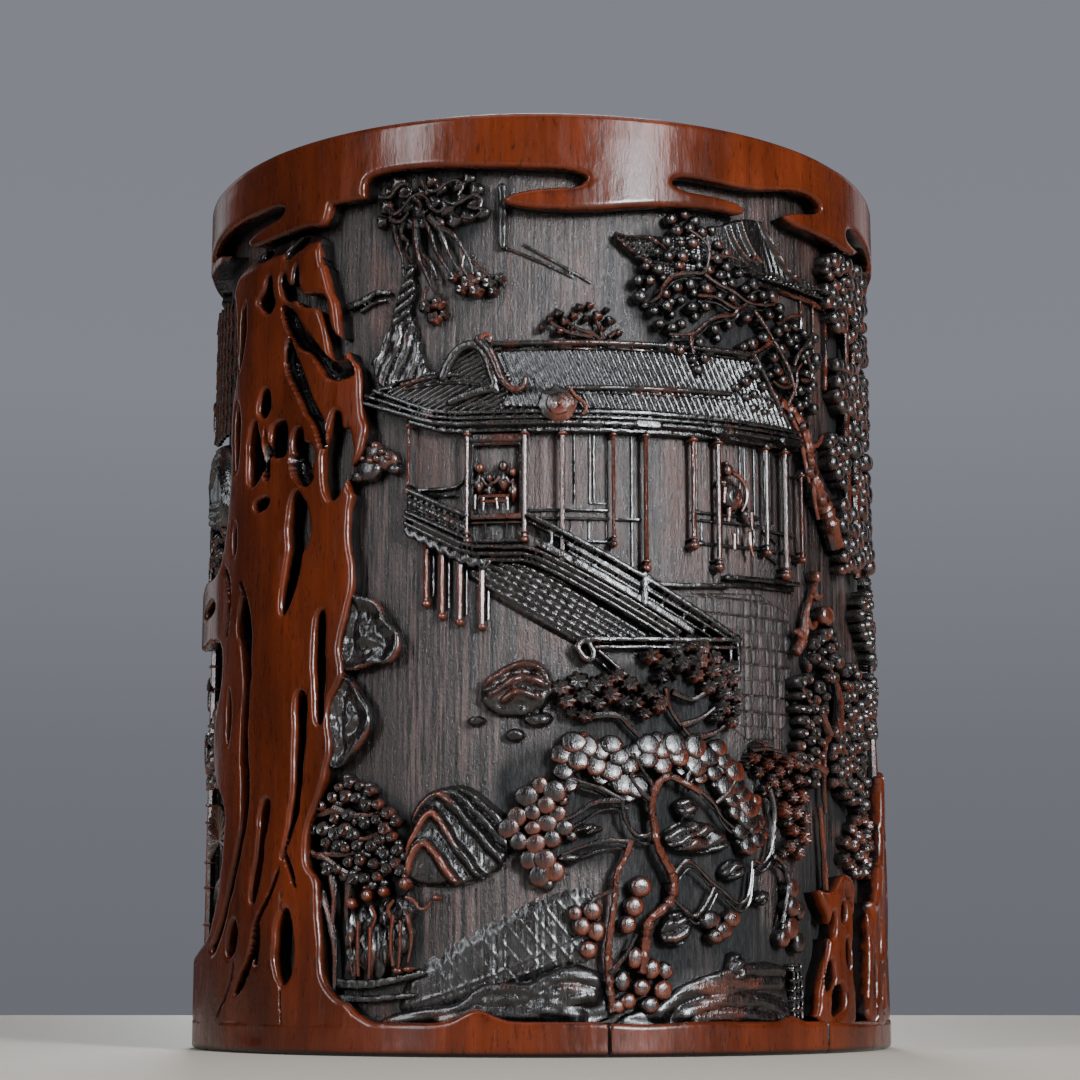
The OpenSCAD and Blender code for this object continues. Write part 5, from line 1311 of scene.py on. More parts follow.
relief("mid_rocks_carved", span_of(*MID), lambda x, z: join(*[area(x, z, m) for m in MID]) + 0.1 * waver(x, z,
        1, 1),
       mid_height, ["mid_rocks"], step=0.19, undercut=0.7, wear=lambda x, z, d,
       h: 0.1 + 0.35 * ease(h, 1.7, 2.5))

# %% [markdown]
# ## The garden pine
# In front stands an old pine with twisting red limbs. Its needles are carved as flat, overlapping
# ribbed pads, in sprays that fan out from the twigs. Fingers have worn the pads red on the side that stands out.

# %% Boughs under the landing
BOUGH = [(3, 53.6, 1.7, 1.3), (5.6, 54.6, 1.8, 1.4), (3.9, 51.7, 1.6, 1.3), (6.5, 52.4, 1.7, 1.4),
         (8, 54, 1.5, 1.3),
         (9.9, 54.8, 1.6, 1.3), (11.6, 55.6, 1.4, 1.2), (13.5, 54.4, 1.6, 1.3), (10.6, 52.7, 1.6, 1.3),
         (8.6, 51.4, 1.3, 1.1),
         (12.6, 51.8, 1.3, 1.1), (14.4, 51.6, 1.4, 1.1), (16.6, 53.4, 1.5, 1.3), (18.2, 51.4, 1.4, 1.2),
         (15.8, 50.1, 1.2, 1),
         (6.6, 49.6, 1.4, 1.0), (4.6, 50, 1.2, 0.9), (17, 58.7, 1.6, 1.2), (19.2, 57.6, 1.7, 1.3),
         (21, 60, 1.8, 1.3),
         (23.2, 61, 1.7, 1.3), (25.4, 60.5, 1.8, 1.4), (22.3, 58, 1.7, 1.4), (25, 58.4, 1.9, 1.5),
         (27.6, 59, 1.6, 1.3),
         (27.4, 57, 1.6, 1.3), (29.4, 57.4, 1.6, 1.3), (31, 58, 1.2, 1), (30.6, 55.9, 1.4, 1.2),
         (28.7, 55.4, 1.5, 1.2),
         (24.6, 56.2, 1.4, 1.1), (26.8, 54.6, 1.4, 1.2), (29.5, 53.6, 1.5, 1.3), (31.3, 53.4, 1.3, 1.2),
         (29.2, 51.5, 1.4, 1.2),
         (31.2, 51.2, 1.1, 1), (28, 50, 1.1, 0.9), (30.6, 49.4, 1.2, 1), (18.6, 55.6, 1.2, 1)]
boughs = Heap(71)
boughs.pads([(a, z, 1.2 * w, 1.2 * t) for a, z, w, t in BOUGH], 1, 3.1, ribs=7, dimple=0.14, red=0.1)
boughs.twigs([[(19.5, 54), (20, 51), (22, 48.5), (25, 45.6)], [(20.5, 53.5), (24, 52.2), (26, 53.5),
        (28, 55)],
              [(7, 49.5), (12, 50), (14, 47.5), (17, 45.5), (19, 44)], [(22, 48.5), (25.5, 49.6), (28, 51.4)],
              [(17.4, 53), (19.6, 52.6), (20.3, 50.8)], [(23.6, 46.8), (27.4, 47.2), (30, 49)]], 1.1, 0.7,
             1.6, red=0.1,
             gnarl=0.25)
boughs.bake("bough_leaves_carved", ["bough_leaves"])

# %% Trunk and limbs
LIMBS = [[(10.6, 6.5), (10.3, 9), (10, 12), (9.8, 15), (10.3, 19), (11, 23), (11, 26.5), (12.5, 28.5),
          (13.3, 31.2)],
         [(15.2, 12), (15.5, 15.5), (15.9, 19.5), (18, 21), (20, 22.7), (20.2, 26), (18.5, 28.5), (17.3, 31),
          (17, 33.5),
          (16.5, 36), (17, 39), (19, 41), (22, 39.8), (24.5, 38.5)]]
FORKS = [[(13, 31), (10, 31.3), (6, 30.3), (3, 29)], [(12, 36.8), (12.5, 34), (14, 32), (16, 31.8), (17, 33)],
         [(12.3, 37), (8, 37), (5.5, 35), (3, 34)], [(12, 37), (9, 38.8), (5, 40)],
         [(24.5, 38.7), (27, 37), (28.2, 35), (30.5, 33.5)],
         [(16.7, 37), (14.6, 38.6), (13.4, 40.8)], [(20, 22.7), (22, 21), (23.5, 20), (25.5, 22), (27.2, 25)],
         [(20.2, 26.5), (22, 28.7), (24, 27.5), (26, 25.5), (28.5, 24), (31, 22), (32.8, 22.8), (33.6, 25),
          (34, 28.5)],
         [(37.5, 39.5), (38.6, 36.5), (38.2, 33), (37.7, 30), (36, 28), (34.5, 28.8)],
         [(38, 29.4), (40, 28.5), (41, 27), (41.5, 25), (41, 23), (40, 19.5)],
         [(22, 39.8), (23, 42), (25.5, 43.5)],
         [(17, 39), (15, 42), (14, 44)], [(34, 45.3), (37, 45.8), (40.5, 45.3)],
         [(11, 24), (8, 23), (6.6, 21)],
         [(27.2, 37), (29.5, 38.6), (31, 40.5)], [(10, 12), (12.6, 14.6), (14.2, 17.6)]]
limbs = Heap(72)
limbs.twig(LIMBS[0], 1.35, 0.9, 2.2, 2.8, red=0.34, gnarl=0.25, rounds=3)
limbs.twig(LIMBS[1], 1.7, 1.1, 2.2, 2.9, red=0.34, gnarl=0.25, rounds=3)
limbs.twigs(FORKS, 0.9, 0.5, 2.8, 2.4, red=0.08, gnarl=0.35)
limbs.twigs([[(a + 0.9, z - 1.1) for a, z in path[::-1]] for path in FORKS[:12]], 0.6, 0.4, 1.5, 1.9, red=0.0,
            gnarl=0.35)
limbs.pads([(20, 24.4, 0.8, 1.0), (16.8, 35, 0.6, 0.8), (10.8, 25, 0.6, 0.8)], 1, 3.4, dimple=0.3, red=0.45)
limbs.bake("pine_trunk_carved", ["pine_trunk"])

# %% Needle pads
PADS = [(3, 43.8), (4.9, 45.6), (6.9, 45), (5.4, 42.9), (3.3, 41.3), (8.9, 44.4), (10.6, 45.3), (11.8, 43.5),
        (8.2, 42.3),
        (14.5, 44.3), (16.4, 45.4), (16.3, 43.3), (10.6, 41.5), (13.4, 42.2), (18.5, 44.7), (20.6, 45.6),
        (21.3, 43.8),
        (24, 45.4), (24.1, 42.8), (26.2, 44), (28.2, 45.4), (29.3, 43.4), (27.4, 41.6), (31.2, 42),
        (31.3, 40), (29.4, 39.6),
        (32.6, 38.6), (30.6, 37.9), (33.8, 37), (31.4, 36), (33.5, 35.2), (34.6, 33.8), (32.2, 33),
        (33.4, 30.9),
        (12.4, 39.6), (14.6, 39.2), (18.6, 42.6), (35.2, 31.8)]
RED_PADS = [(35, 44.2), (36.4, 46), (37.6, 43.4), (39.4, 44.9), (40.2, 42.4), (42.2, 43.8), (41.4, 40.4),
            (43, 38.6),
            (44.4, 41.4), (45.4, 38.8), (43.6, 36.2), (45.6, 35.4), (45.8, 32.6), (43.4, 33.6), (42.2, 31),
            (44.4, 30.2),
            (39, 40.6), (41.2, 36.6), (44, 44.2)]
CLUSTER = [(-2.2, 37.6), (-0.2, 39.2), (2, 38.2), (-3.6, 34.6), (-1.4, 35.2), (0.7, 36.3), (2.4, 35),
           (-1.3, 32.9),
           (0.9, 33.6), (-3.4, 31), (-0.9, 30.6), (1.6, 31.3), (-1.8, 28.3), (0.5, 28.3), (-0.2, 26),
           (1.9, 26.6),
           (3.4, 33), (-4.9, 32.9)]
needles = Heap(73)
needles.pads(PADS, 1.9, 3.1, red=0.12, segments=20, tilt=0.18, flat_top=1.0)
# A lower layer of pads under every other pad, painted darker: painted shade among the needles.
needles.pads([(a + 0.9, z - 1.5) for a, z in PADS[::2]], 1.6, 2.2, red=-0.05, segments=20, tilt=0.35,
             flat_top=1.0)
needles.pads([(a + 1.6, z + 0.9) for a, z in PADS[1::3]], 1.2, 2.6, red=0.25, segments=18, tilt=0.3,
             flat_top=1.0)
needles.pads(RED_PADS, 1.45, 3.1, ribs=8, dimple=0.15, red=0.5, tilt=0.2)
needles.pads([(a - 1.3, z - 1.2) for a, z in RED_PADS[::2]], 1.2, 2.4, ribs=8, dimple=0.1, red=0.15)
needles.bake("pine_leaves_carved", ["pine_leaves"])
SHRUB = [(15, 24.5, 1.6, 1.5), (14, 21.6, 1.4, 1.4), (13, 19, 1.2, 1.3), (14, 14.2, 1.2, 1.5),
         (12, 10.9, 1.2, 1.5),
         (16.6, 12.6, 1.3, 1.4), (15, 10, 1.3, 1.2), (13, 8, 1.2, 1.1), (16.4, 7.4, 1.4, 1.2),
         (18.4, 9.6, 1.4, 1.4),
         (18.8, 12.4, 1.2, 1.2), (11.2, 7.2, 1.1, 1), (7.5, 21, 1.4, 1.4), (6, 18.7, 1.3, 1.3),
         (8.2, 18, 1.4, 1.4),
         (7, 15.4, 1.3, 1.2), (5, 20.6, 1.1, 1.1), (26.4, 19.8, 1.7, 1.3), (28.6, 18.2, 1.6, 1.2),
         (30.2, 20, 1.4, 1.2),
         (27.2, 17.4, 1.2, 1), (42.8, 24.6, 1.3, 1.5), (42.6, 22, 1.3, 1.5), (42.6, 18.8, 1.4, 1.7),
         (44, 16.6, 1.2, 1.5),
         (40.6, 17.2, 1.2, 1.3), (44.6, 21.4, 1.1, 1.3)]
fruit = Heap(74)
fruit.pads(CLUSTER, 1.7, 3.3, red=0.24, segments=11, tilt=-0.1, flat_top=1.0)
fruit.pads([(a + 1.1, z - 1.2) for a, z in CLUSTER[::2]], 1.2, 2.3, red=0.0, segments=14)
fruit.pads([(a, z, 1.15 * w, 1.15 * t) for a, z, w, t in SHRUB], 1, 3.0, red=0.25, segments=14, flat_top=0.5)
fruit.bake("pine_berries_carved", ["pine_berries"])
SPRAYS = [[(3.6, 32.4), (6.4, 33.9), (9.8, 33.2), (8.4, 31.8)],
          [(1.6, 28.4), (4, 29.6), (6.8, 28.9), (4.6, 27.2)],
          [(17.8, 31), (20, 34.2), (24.4, 34.6), (29.6, 32.8), (30.4, 30.4), (26, 29.4), (21, 29.6)],
          [(28, 26.3), (29.6, 29.1), (32.8, 28.8), (33.2, 26.6), (31, 25.4)],
          [(34, 22.4), (35.4, 24.8), (37.6, 24), (37, 21.8)],
          [(17.4, 16.2), (19, 21.2), (22.4, 21.4), (23.6, 18), (22, 15.6)],
          [(29.3, 11.2), (30, 15.4), (32.6, 14.8), (32.8, 10.6)],
          [(23.5, 38), (25, 36.4), (23, 33.8), (20.5, 35.6), (20.8, 37.6)]]


def spray_height(x, z, d):
    curl = waver(x, z, 2.6, 2.0, 3)
    comb = np.abs(np.sin((0.45 * x - z) * 1.7 + 1.6 * curl))
    return 2.3 - 1.2 * edge(d, 0.8) + 0.75 * comb ** 0.6 + 0.35 * curl - 0.3 * ease(d, -1.2, -0.2)


# Low parts of the sprays are blended towards black, painted shade in their grooves; the high combs are redder.
relief("needle_sprays", span_of(*SPRAYS), lambda x, z: join(*[area(x, z,
        s) for s in SPRAYS]) + 0.15 * waver(x, z, 1, 1),
       spray_height, step=0.2, undercut=0.5, wear=lambda x, z, d,
       h: -0.5 + 0.8 * ease(h, 1.6, 2.9) + 0.2 * waver(x, z, 4, 4))

# %% [markdown]
# ## Mountain, terrace and shore
# The mountain is one broad wedge with long parallel brush-like folds. The paved terrace is a flat parallelogram
# scored with slanting joints. The shore is low mounds of earth, combed with a fine V-tool, running down to the
# foot band.

# %% Mountain
HILL = [(-21.8, 27.5), (-20.5, 35.4), (-18, 38.4), (-14, 39.6), (-11, 39.3), (-8, 37.2), (-5, 34.8),
        (-4.3, 31),
        (-5.5, 27.3), (-9, 25.4), (-12.5, 24.6), (-20, 24.4)]
CRESTS = [([(-21.6, 24.6), (-20.4, 28.4), (-18.6, 30.9), (-17.2, 30.7), (-14.9, 27.4), (-12.8, 24.8)], 2.7),
          ([(-21, 29.6), (-18.8, 33.8), (-17.2, 35.8), (-15.8, 34.6), (-13.2, 30.6), (-9, 25.6)], 2.5),
          ([(-20.2, 34.6), (-17.8, 38), (-15.4, 38.4), (-12.4, 35.4), (-8.6, 31), (-5.4, 27.6)], 2.3),
          ([(-15.6, 38.6), (-12.8, 38.2), (-9.2, 34.6), (-5, 30.4)], 2.1),
          ([(-12.6, 39), (-10.2, 37.8), (-7, 34.6), (-4.6, 32.2)], 2.0),
          ([(-14.4, 36.8), (-10.8, 33.2), (-7, 29.4), (-5.2, 28.8)], 2.0),
          ([(-15.4, 33.6), (-12.6, 29.4), (-9.4, 26.4)], 2.1)]


def hill_height(x, z, d):
    u, v = x + 0.2 * waver(x, z, 1.6, 1.6), z + 0.2 * waver(x, z, 1.6, 1.6, 1)
    h = 1.0 - 0.8 * edge(d, 0.6) + 0.25 * waver(x, z, 2.2, 2.2, 4)
    for crest, top in CRESTS:
        gap = stroke(u, v, crest, 0.25)
        h = np.maximum(h, top - 0.25 * edge(gap - 0.4, 0.5) - 0.95 * ease(gap, 0.1, 1.1) - 0.25 * gap)
    return h - 0.7 * ease(d, -0.8, 0) + 0.07 * waver(x, z, 0.5, 0.7)


relief("mountain_carved", span_of(HILL), lambda x, z: area(x, z, HILL), hill_height, ["mountain"], step=0.19,
       undercut=0.6,
       wear=lambda x, z, d, h: -0.1 + 0.85 * ease(h, 1.6, 2.5) * ease(x / DEG, -8, -17) + 0.3 * ease(z, 30,
        24))

# %% Terrace
TERRACE = [(-24, 5.4), (-22.6, 11), (-20.6, 12.7), (-10, 18.8), (-0.3, 23.5), (5.4, 25.2), (9.6, 24.8),
           (10, 14), (5, 12),
           (-6, 9), (-17, 5.4)]
BORDERS = [[(-21.4, 12), (-10, 18.2), (-0.3, 22.9)], [(-19.6, 7.8), (-8.4, 11.2), (9, 18.8)],
           [(-9, 9.6), (0, 12.8), (9, 17.2)]]


def terrace_height(x, z, d):
    joint = np.abs(((x + 0.87 * z) / 2.75) % 1 - 0.5) * 2.75
    inner = ease(stroke(x, z, BORDERS[0], 0.3), 0.0, 0.3)
    seam = ease(joint, 1.08, 1.34) * ease(z - 0.42 * x, 10.5, 11.5) * ease(x / DEG, -19, -16)
    line = join(*[stroke(x, z, border, 0.35) for border in BORDERS])
    raised = 0.12 * ease(-line, -0.15, 0.15)
    return 0.42 + 0.1 * seam * inner + raised - 0.6 * ease(d, -2.2, 0) + 1.2 * fibres(x, z) + 0.04 * waver(x,
            z, 1.1, 1.1)


relief("terrace_paving", span_of(TERRACE), lambda x, z: area(x, z, TERRACE, 1), terrace_height, ["terrace"],
       step=0.2,
       wear=lambda x, z, d, h: -0.1 + 0.75 * ease(z - 0.3 * x, 15, 8) * ease(x / DEG, -22,
        -14) + 0.25 * waver(x, z, 2, 5))

# %% Shore
SHORE = [[(-27, 3.4), (-25, 5.6), (-20.5, 6.8), (-16, 7.2), (-12.5, 7.6), (-9.5, 10.4), (-5.5, 10.8),
          (-2, 10.3), (0, 12),
          (4.5, 13.5), (8.6, 12.6), (10.3, 9), (10.6, 3.4)],
         [(10.4, 3.4), (12, 6), (17, 7.4), (21, 10), (25, 11.6), (29, 12.6), (33, 13.6), (38, 13.8),
          (41.6, 13), (42, 9.5),
          (44, 5), (47, 3.4)]]
BANKS = [[(-24, 4.8), (-18, 6.2), (-12, 7), (-9, 9.6), (-4.5, 10), (0.5, 8.4), (5, 6)],
         [(-8, 8), (-3, 8.3), (0.5, 10.8), (4, 12.2), (8, 11)],
         [(-15, 5.2), (-7, 6.4), (-1, 6), (6, 8.8)], [(-1, 7.6), (3, 10), (7.4, 9)],
         [(18, 6.6), (21, 9), (25, 10.2), (30, 9.6)],
         [(20, 10), (26, 11.2), (33, 12.8), (40.6, 12.8)], [(22, 6), (28, 8.2), (36, 8), (40.6, 6)],
         [(26, 11), (32, 10.6), (39.6, 10.6)],
         [(24, 5.2), (31, 6.2), (38, 5.2)]]


def shore_height(x, z, d):
    bank = np.maximum.reduce([ease(-stroke(x, z, line, 0.5), -2.2, 0.1) for line in BANKS])
    comb = np.abs(np.sin((z * 2.6 + 0.9 * np.sin(x * 0.45) + 0.12 * x)))
    return 1.2 - 0.9 * edge(d, 0.7) + 1.1 * bank + 0.07 * comb + 0.14 * waver(x, z, 2.6, 1.4)


relief("shore_rocks_carved", span_of(*SHORE, margin=0.6), lambda x,
       z: join(*[area(x, z, s) for s in SHORE]) + 0.1 * waver(x, z, 1, 1),
       shore_height, ["shore_rocks"], step=0.21, undercut=0.4,
       wear=lambda x, z, d, h: -0.15 + 0.6 * ease(h, 1.5, 2.2) * ease(waver(x, z, 5, 2.5), -0.3, 0.7))
FENCES = [([(a, 5.3), (a + 0.3, 9), (a, 13.2)], 0.55, 0.5) for a in (42.7, 43.6, 44.5)]
FENCES += [([(42.4, z), (44.9, z + 0.3)], 0.5, 0.5) for z in (6.4, 7.9, 9.4, 10.9, 12.4)]
ridges("shore_fence", FENCES, top=2.2, red=0.25, step=0.2)

# %% [markdown]
# ## The grove at the crag's foot
# Oval leaves on bent twigs hang over two scholars who stand in conversation. Their robes are carved as bundles
# of soft folds, and their faces are left plain.

# %% Grove and figures
GROVE_TWIGS = [[(-39, 35.6), (-35, 35.9), (-33.5, 36.8), (-31.5, 37.7)],
               [(-34, 36.5), (-30.5, 35.3), (-27.6, 35.2), (-25, 35.6)],
               [(-39, 30.3), (-37, 29.3), (-35, 29.8), (-32.5, 29.4), (-29.5, 29.9), (-27, 29.2)],
               [(-36, 29.4), (-33, 27.6), (-30.6, 26.4), (-28.6, 26.6)],
               [(-34, 33.6), (-31, 31.9), (-28.6, 31.6), (-25.6, 32.4)],
               [(-36.4, 24), (-34.4, 20), (-33.4, 15), (-33.6, 9)],
               [(-34.8, 27.6), (-33.6, 23.6), (-34.2, 18.6)],
               [(-30.6, 26), (-31.4, 22), (-31, 17)]]
LEAVES = [(-32.6, 39.6), (-31, 40.2), (-29, 39.6), (-27, 38.8), (-29.6, 37.9), (-31.6, 38.2), (-25.7, 36.8),
          (-27.6, 36.8),
          (-24, 35.5), (-22.6, 34.1), (-26, 34.6), (-28, 34), (-24.6, 33.2), (-38, 33.4), (-35.7, 33.4),
          (-33.6, 32.7),
          (-31.6, 33.2), (-30, 32.4), (-29.3, 30.8), (-31.2, 30.4), (-26.6, 30.7), (-25.2, 31.5),
          (-23.4, 31.9), (-24.5, 29.4),
          (-22.4, 30), (-28.6, 28.5), (-26.2, 28), (-24, 27.3), (-30.8, 28.4), (-29.6, 25.8), (-27.8, 25.9),
          (-33, 30.9),
          (-35, 31.4), (-33.6, 35), (-31, 35.4), (-36.4, 36.9), (-34.2, 38.2), (-22.6, 28), (-25.8, 26.2),
          (-21.6, 26.9),
          (-32.9, 27.4), (-34.8, 27.2)]
grove = Heap(81)
grove.twigs(GROVE_TWIGS, 1.4, 0.7, 1.7, red=0.25, gnarl=0.2)
grove.pads(LEAVES, 1.15, 3.0, red=0.05, dimple=0.1, lean=0.4)
# Lower layers of leaves between the first, painted darker: painted shade among the leaves.
grove.pads([(a + 0.9, z - 1) for a, z in LEAVES[::2]], 0.95, 2.1, red=-0.05)
grove.pads([(a - 0.8, z + 0.8) for a, z in LEAVES[1::2]], 0.95, 2.3, red=-0.05)
grove.bake("west_grove_carved", ["west_grove"])
robes = Heap(82)
robes.pads([(-20.9, 25, 0.95, 1.05), (-27.3, 23.4, 0.9, 1.0), (-29.9, 22.2, 0.8, 0.9),
            (-24.4, 23.9, 0.8, 0.9)], 1, 3.6,
           red=0.35)
robes.pads([(-20.9, 26.1, 0.5, 0.45), (-27.3, 24.5, 0.45, 0.4)], 1, 3.3, red=0.2)
# Tall low pads behind the figures, painted darker: painted shade between the robes.
robes.pads([(-28.6, 17.6, 1.5, 4.6), (-25.6, 15.2, 1.5, 4.4), (-22.8, 17.2, 1.4, 4.8)], 1, 2.0, segments=16,
           red=-0.2)
robes.pads([(-21.1, 21.4, 1.9, 2.7), (-21.3, 17.6, 1.9, 3.3), (-27.2, 19.6, 1.6, 2.8),
            (-27.2, 15.4, 1.8, 4.0),
            (-24.4, 20.6, 1.3, 2.4), (-24.3, 16, 1.4, 3.6), (-30.2, 18, 1.3, 3.4), (-30.2, 14, 1.4, 3.0)], 1,
           2.8, ribs=5,
           red=-0.05)
robes.twigs([[(-20.4, 23), (-19, 22.5), (-18.3, 21.2), (-17.3, 21.2), (-16.3, 22.4)],
             [(-22.3, 22.6), (-23.6, 21.2), (-22.6, 19.8)],
             [(-26.2, 21.8), (-25.2, 20.2), (-25.9, 18.8)], [(-20.2, 20.4), (-19.3, 17), (-20, 13.6)],
             [(-22.4, 20.4), (-22.9, 16.6), (-22.4, 13)], [(-21.3, 19.6), (-21.2, 16), (-21.5, 12.8)],
             [(-28.3, 19.6), (-28.4, 15.6), (-28.2, 11.6)], [(-26.2, 18.6), (-26.3, 14.4), (-26.4, 11.2)]],
            0.7, 0.45, 3.0,
            red=0.4, gnarl=0.2)
robes.pads([(-16, 22.9, 0.6, 0.5), (-22, 12.4, 1.0, 0.6), (-20.3, 12.6, 0.8, 0.5)], 1, 3.0, red=0.5)
robes.bake("grove_figures_carved", ["grove_figures"])
ridges("grove_ground", [([(-34, 10.6), (-28, 10.2), (-22, 11.2), (-18.6, 12)], 1.6, 1.0),
                        ([(-33, 8.3), (-26, 8.2), (-20, 8.8)], 1.2, 0.8)],
       top=1.6, red=0.1)

# %% [markdown]
# ## The east side
# To the right of the hall a traveller climbs with a staff among pines and fruit trees. Two pierced red rocks
# stand at full skin height at the foot, like a small echo of the tall crag.

# %% Traveller and trees
walker = Heap(91)
walker.twigs([[(44.7, 61), (46.8, 63.5), (47.3, 66), (47.8, 68.5), (49, 70.5), (50.6, 72.8)],
              [(47.4, 66.2), (48.8, 65.2), (50.4, 66.4)],
              [(46.6, 63.2), (45.4, 64.6), (44.4, 64.2)], [(49.2, 70.8), (50.6, 70.2), (52, 71)]], 1.7, 0.8,
             2.0, red=0.35, gnarl=0.2)
walker.pads([(53.4, 67.8, 2.0, 1.7), (50.9, 73.8, 0.9, 1.0)], 1, 2.9, red=0.6, segments=20)
walker.pads([(50.6, 61.8, 1.2, 2.6), (48.9, 60.4, 0.9, 2.2)], 1, 2.4, ribs=4, red=0.3)
walker.twig([(51.8, 24.6), (51.4, 31), (50.6, 37.4)], 1.1, 0.8, 1.8, red=0.4)
walker.bake("staff_figure_carved", ["staff_figure"])
EAST_TWIGS = [[(58, 44), (57, 50), (54, 49), (52, 47), (51.5, 40), (52, 36.6)],
              [(54, 49), (51, 52.5), (48, 53.4), (45.6, 56)],
              [(57, 50), (58, 55), (55.4, 59), (51, 61.2)], [(52, 43), (48.6, 44.2), (45, 42.8)],
              [(57.6, 47), (62, 46), (66.4, 48.6)],
              [(56.8, 44), (60, 39.6), (64.4, 39)], [(58, 55), (63, 57.6), (68, 57)],
              [(58, 50), (64, 52.6), (70, 54)],
              [(62, 76), (63.4, 86), (62.6, 97), (64, 108), (64, 120), (66, 127)],
              [(68, 76), (67, 88), (68.6, 100), (67.4, 113), (70, 126)],
              [(63, 90), (60.6, 93), (58.8, 96)], [(63.4, 104), (60.6, 107), (59, 111)],
              [(67.6, 96), (71.6, 99), (74, 98)],
              [(81, 44), (80, 53), (81.6, 61), (79, 70)], [(80, 53), (76, 55.6), (73, 56)],
              [(67.6, 110), (71.6, 113), (75, 116)], [(64, 118), (60.8, 121), (59, 124.6)],
              [(67.4, 84), (71.6, 86), (75, 84.6)]]
east = Heap(92)
east.twigs(EAST_TWIGS, 1.7, 0.8, 1.8, 2.0, red=0.3, gnarl=0.25)
east.bake("east_trees_carved", ["east_trees"])


def scatter(heap, count, az, heights, size, top, gap=1.75, tries=9000, **options):
    """Drops pads at random over a rounded patch, keeping a gap between their middles."""
    placed = []
    for _ in range(tries):
        angle, reach = heap.chance.uniform(0, 2 * math.pi), 1.12 * math.sqrt(heap.chance.uniform(0, 1))
        reach = reach * (1 + 0.12 * math.sin(3 * angle + az[0]))
        spot_ = ((az[0] + az[1]) / 2 + (az[1] - az[0]) / 2 * reach * math.cos(angle),
                 min((heights[0] + heights[1]) / 2 + (heights[1] - heights[0]) / 2 * reach * math.sin(angle),
                     129))
        if all(math.hypot((spot_[0] - p[0]) * DEG, spot_[1] - p[1]) > gap for p in placed):
            placed.append(spot_)
            if len(placed) == count:
                break
    heap.pads(placed, size, top, **options)


fruit_east = Heap(93)
for az, heights, count in (((44.5, 50.5), (41.5, 50), 17), ((44.5, 52), (50.5, 57.5), 17),
                           ((49.5, 57), (58, 65), 18),
                           ((54, 61), (40, 50), 18), ((60, 69), (38, 50), 26), ((58, 70), (51, 60), 24),
                           ((72, 86), (50, 60), 26),
                           ((76, 87), (63, 70), 18), ((68, 80), (66, 75), 18)):
    scatter(fruit_east, count, az, heights, 1.15, 3.1, red=0.12, dimple=0.1)
for az, heights, count, size in (((56, 63), (91, 98), 15, 1.2), ((58, 65), (104, 110), 16, 1.4),
                                 ((56, 64), (117, 129), 26, 1.2),
                                 ((64, 71), (77, 86), 20, 1.6), ((66, 73), (89, 95), 16, 1.3),
                                 ((63, 71), (98, 111), 32, 1.5),
                                 ((66, 78), (114, 121), 26, 1.3), ((64, 77), (122, 129), 26, 1.6),
                                 ((73, 80), (80, 97), 30, 1.7),
                                 ((74, 79), (101, 111), 24, 1.4), ((59, 64), (76, 86), 16, 1.3)):
    scatter(fruit_east, count, az, heights, size, 3.1, gap=1.45 * size, red=0.15, segments=14)
fruit_east.bake("east_tree_berries_carved", ["east_tree_berries"])

# %% East rocks
EAST_ROCK = [[(46.5, 3.4), (47.3, 9), (49, 13), (50.4, 17), (50.2, 20.5), (48.2, 22.6), (47.6, 24.8),
              (50, 24), (52.5, 24.8),
              (54, 26.6), (56.5, 27.2), (58.4, 25.5), (57.9, 22), (57.2, 18), (57, 13.6), (57.8, 8),
              (58.4, 3.4)],
             [(62, 3.4), (63.4, 10), (65, 16), (64, 21), (66, 24), (68.6, 22), (71, 26), (73, 29), (75.4, 30),
              (76, 36),
              (78.4, 43), (81.4, 45.6), (84.6, 43), (85.6, 36), (84, 29), (86, 20), (83.6, 12), (84, 3.4)]]
EAST_HOLES = [[(53.5, 19.5), (53.8, 22.6), (55.6, 22.8), (55.4, 19.8)],
              [(48.2, 9.2), (49.4, 13.6), (51.6, 14), (51.8, 10)],
              [(50, 5.4), (51.4, 10), (54.2, 10.6), (54.6, 6.4)],
              [(66, 7), (66.6, 14), (68.2, 15), (68.2, 8)],
              [(70, 14), (71, 20), (72.6, 20.6), (72.4, 15)],
              [(79.4, 27), (79.8, 37), (81.6, 38), (81.8, 29)],
              [(50, 17), (50.6, 21), (52, 21.4), (52, 17.4)],
              [(70.6, 6), (71, 11), (73.6, 11.4), (73.8, 6.4)],
              [(55.4, 12), (54.9, 16.4), (56, 17.6), (56.4, 13)]]


def pierced(outlines, holes):
    return lambda x, z: cut(join(*[area(x, z, o) for o in outlines]),
                            *[area(x, z, h) for h in holes]) + 0.25 * waver(x, z, 1.8, 1.8)


def rock_skin(x, z, d):
    hollow = ease(np.abs(waver(x, z, 4.5, 9, 8)), 0.16, 0.0) * ease(waver(x, z, 7, 10, 12), -0.3, 0.4)
    return RELIEF - 0.95 * edge(d, 0.8) - 1.3 * hollow - 0.3 * ease(waver(x, z, 4, 9, 4), -0.4, 1)


relief("east_rocks_skin", span_of(*EAST_ROCK, margin=0.8), pierced(EAST_ROCK, EAST_HOLES), rock_skin,
       ["east_rocks"], SKIN_WOOD,
       "skin", undercut=0.5, wear=lambda x, z, d, h: ease(h, RELIEF - 1.5, RELIEF - 0.5))
for side, seed in ((1, 94), (-1, 95)):
    brush = Heap(seed)
    scatter(brush, 26, (60, 77) if side > 0 else (-78, -65), (27.5, 36) if side > 0 else (5, 12), 1.3, 2.4,
            gap=2.2, ribs=5,
            dimple=0.1, red=0.3)
    brush.bake("undergrowth_east" if side > 0 else "undergrowth_west")

# %% [markdown]
# ## West of the crag
# Behind the crag hang layered needles, a drop-shaped stone, a ribbed shell of leaves and low lumps of moss.

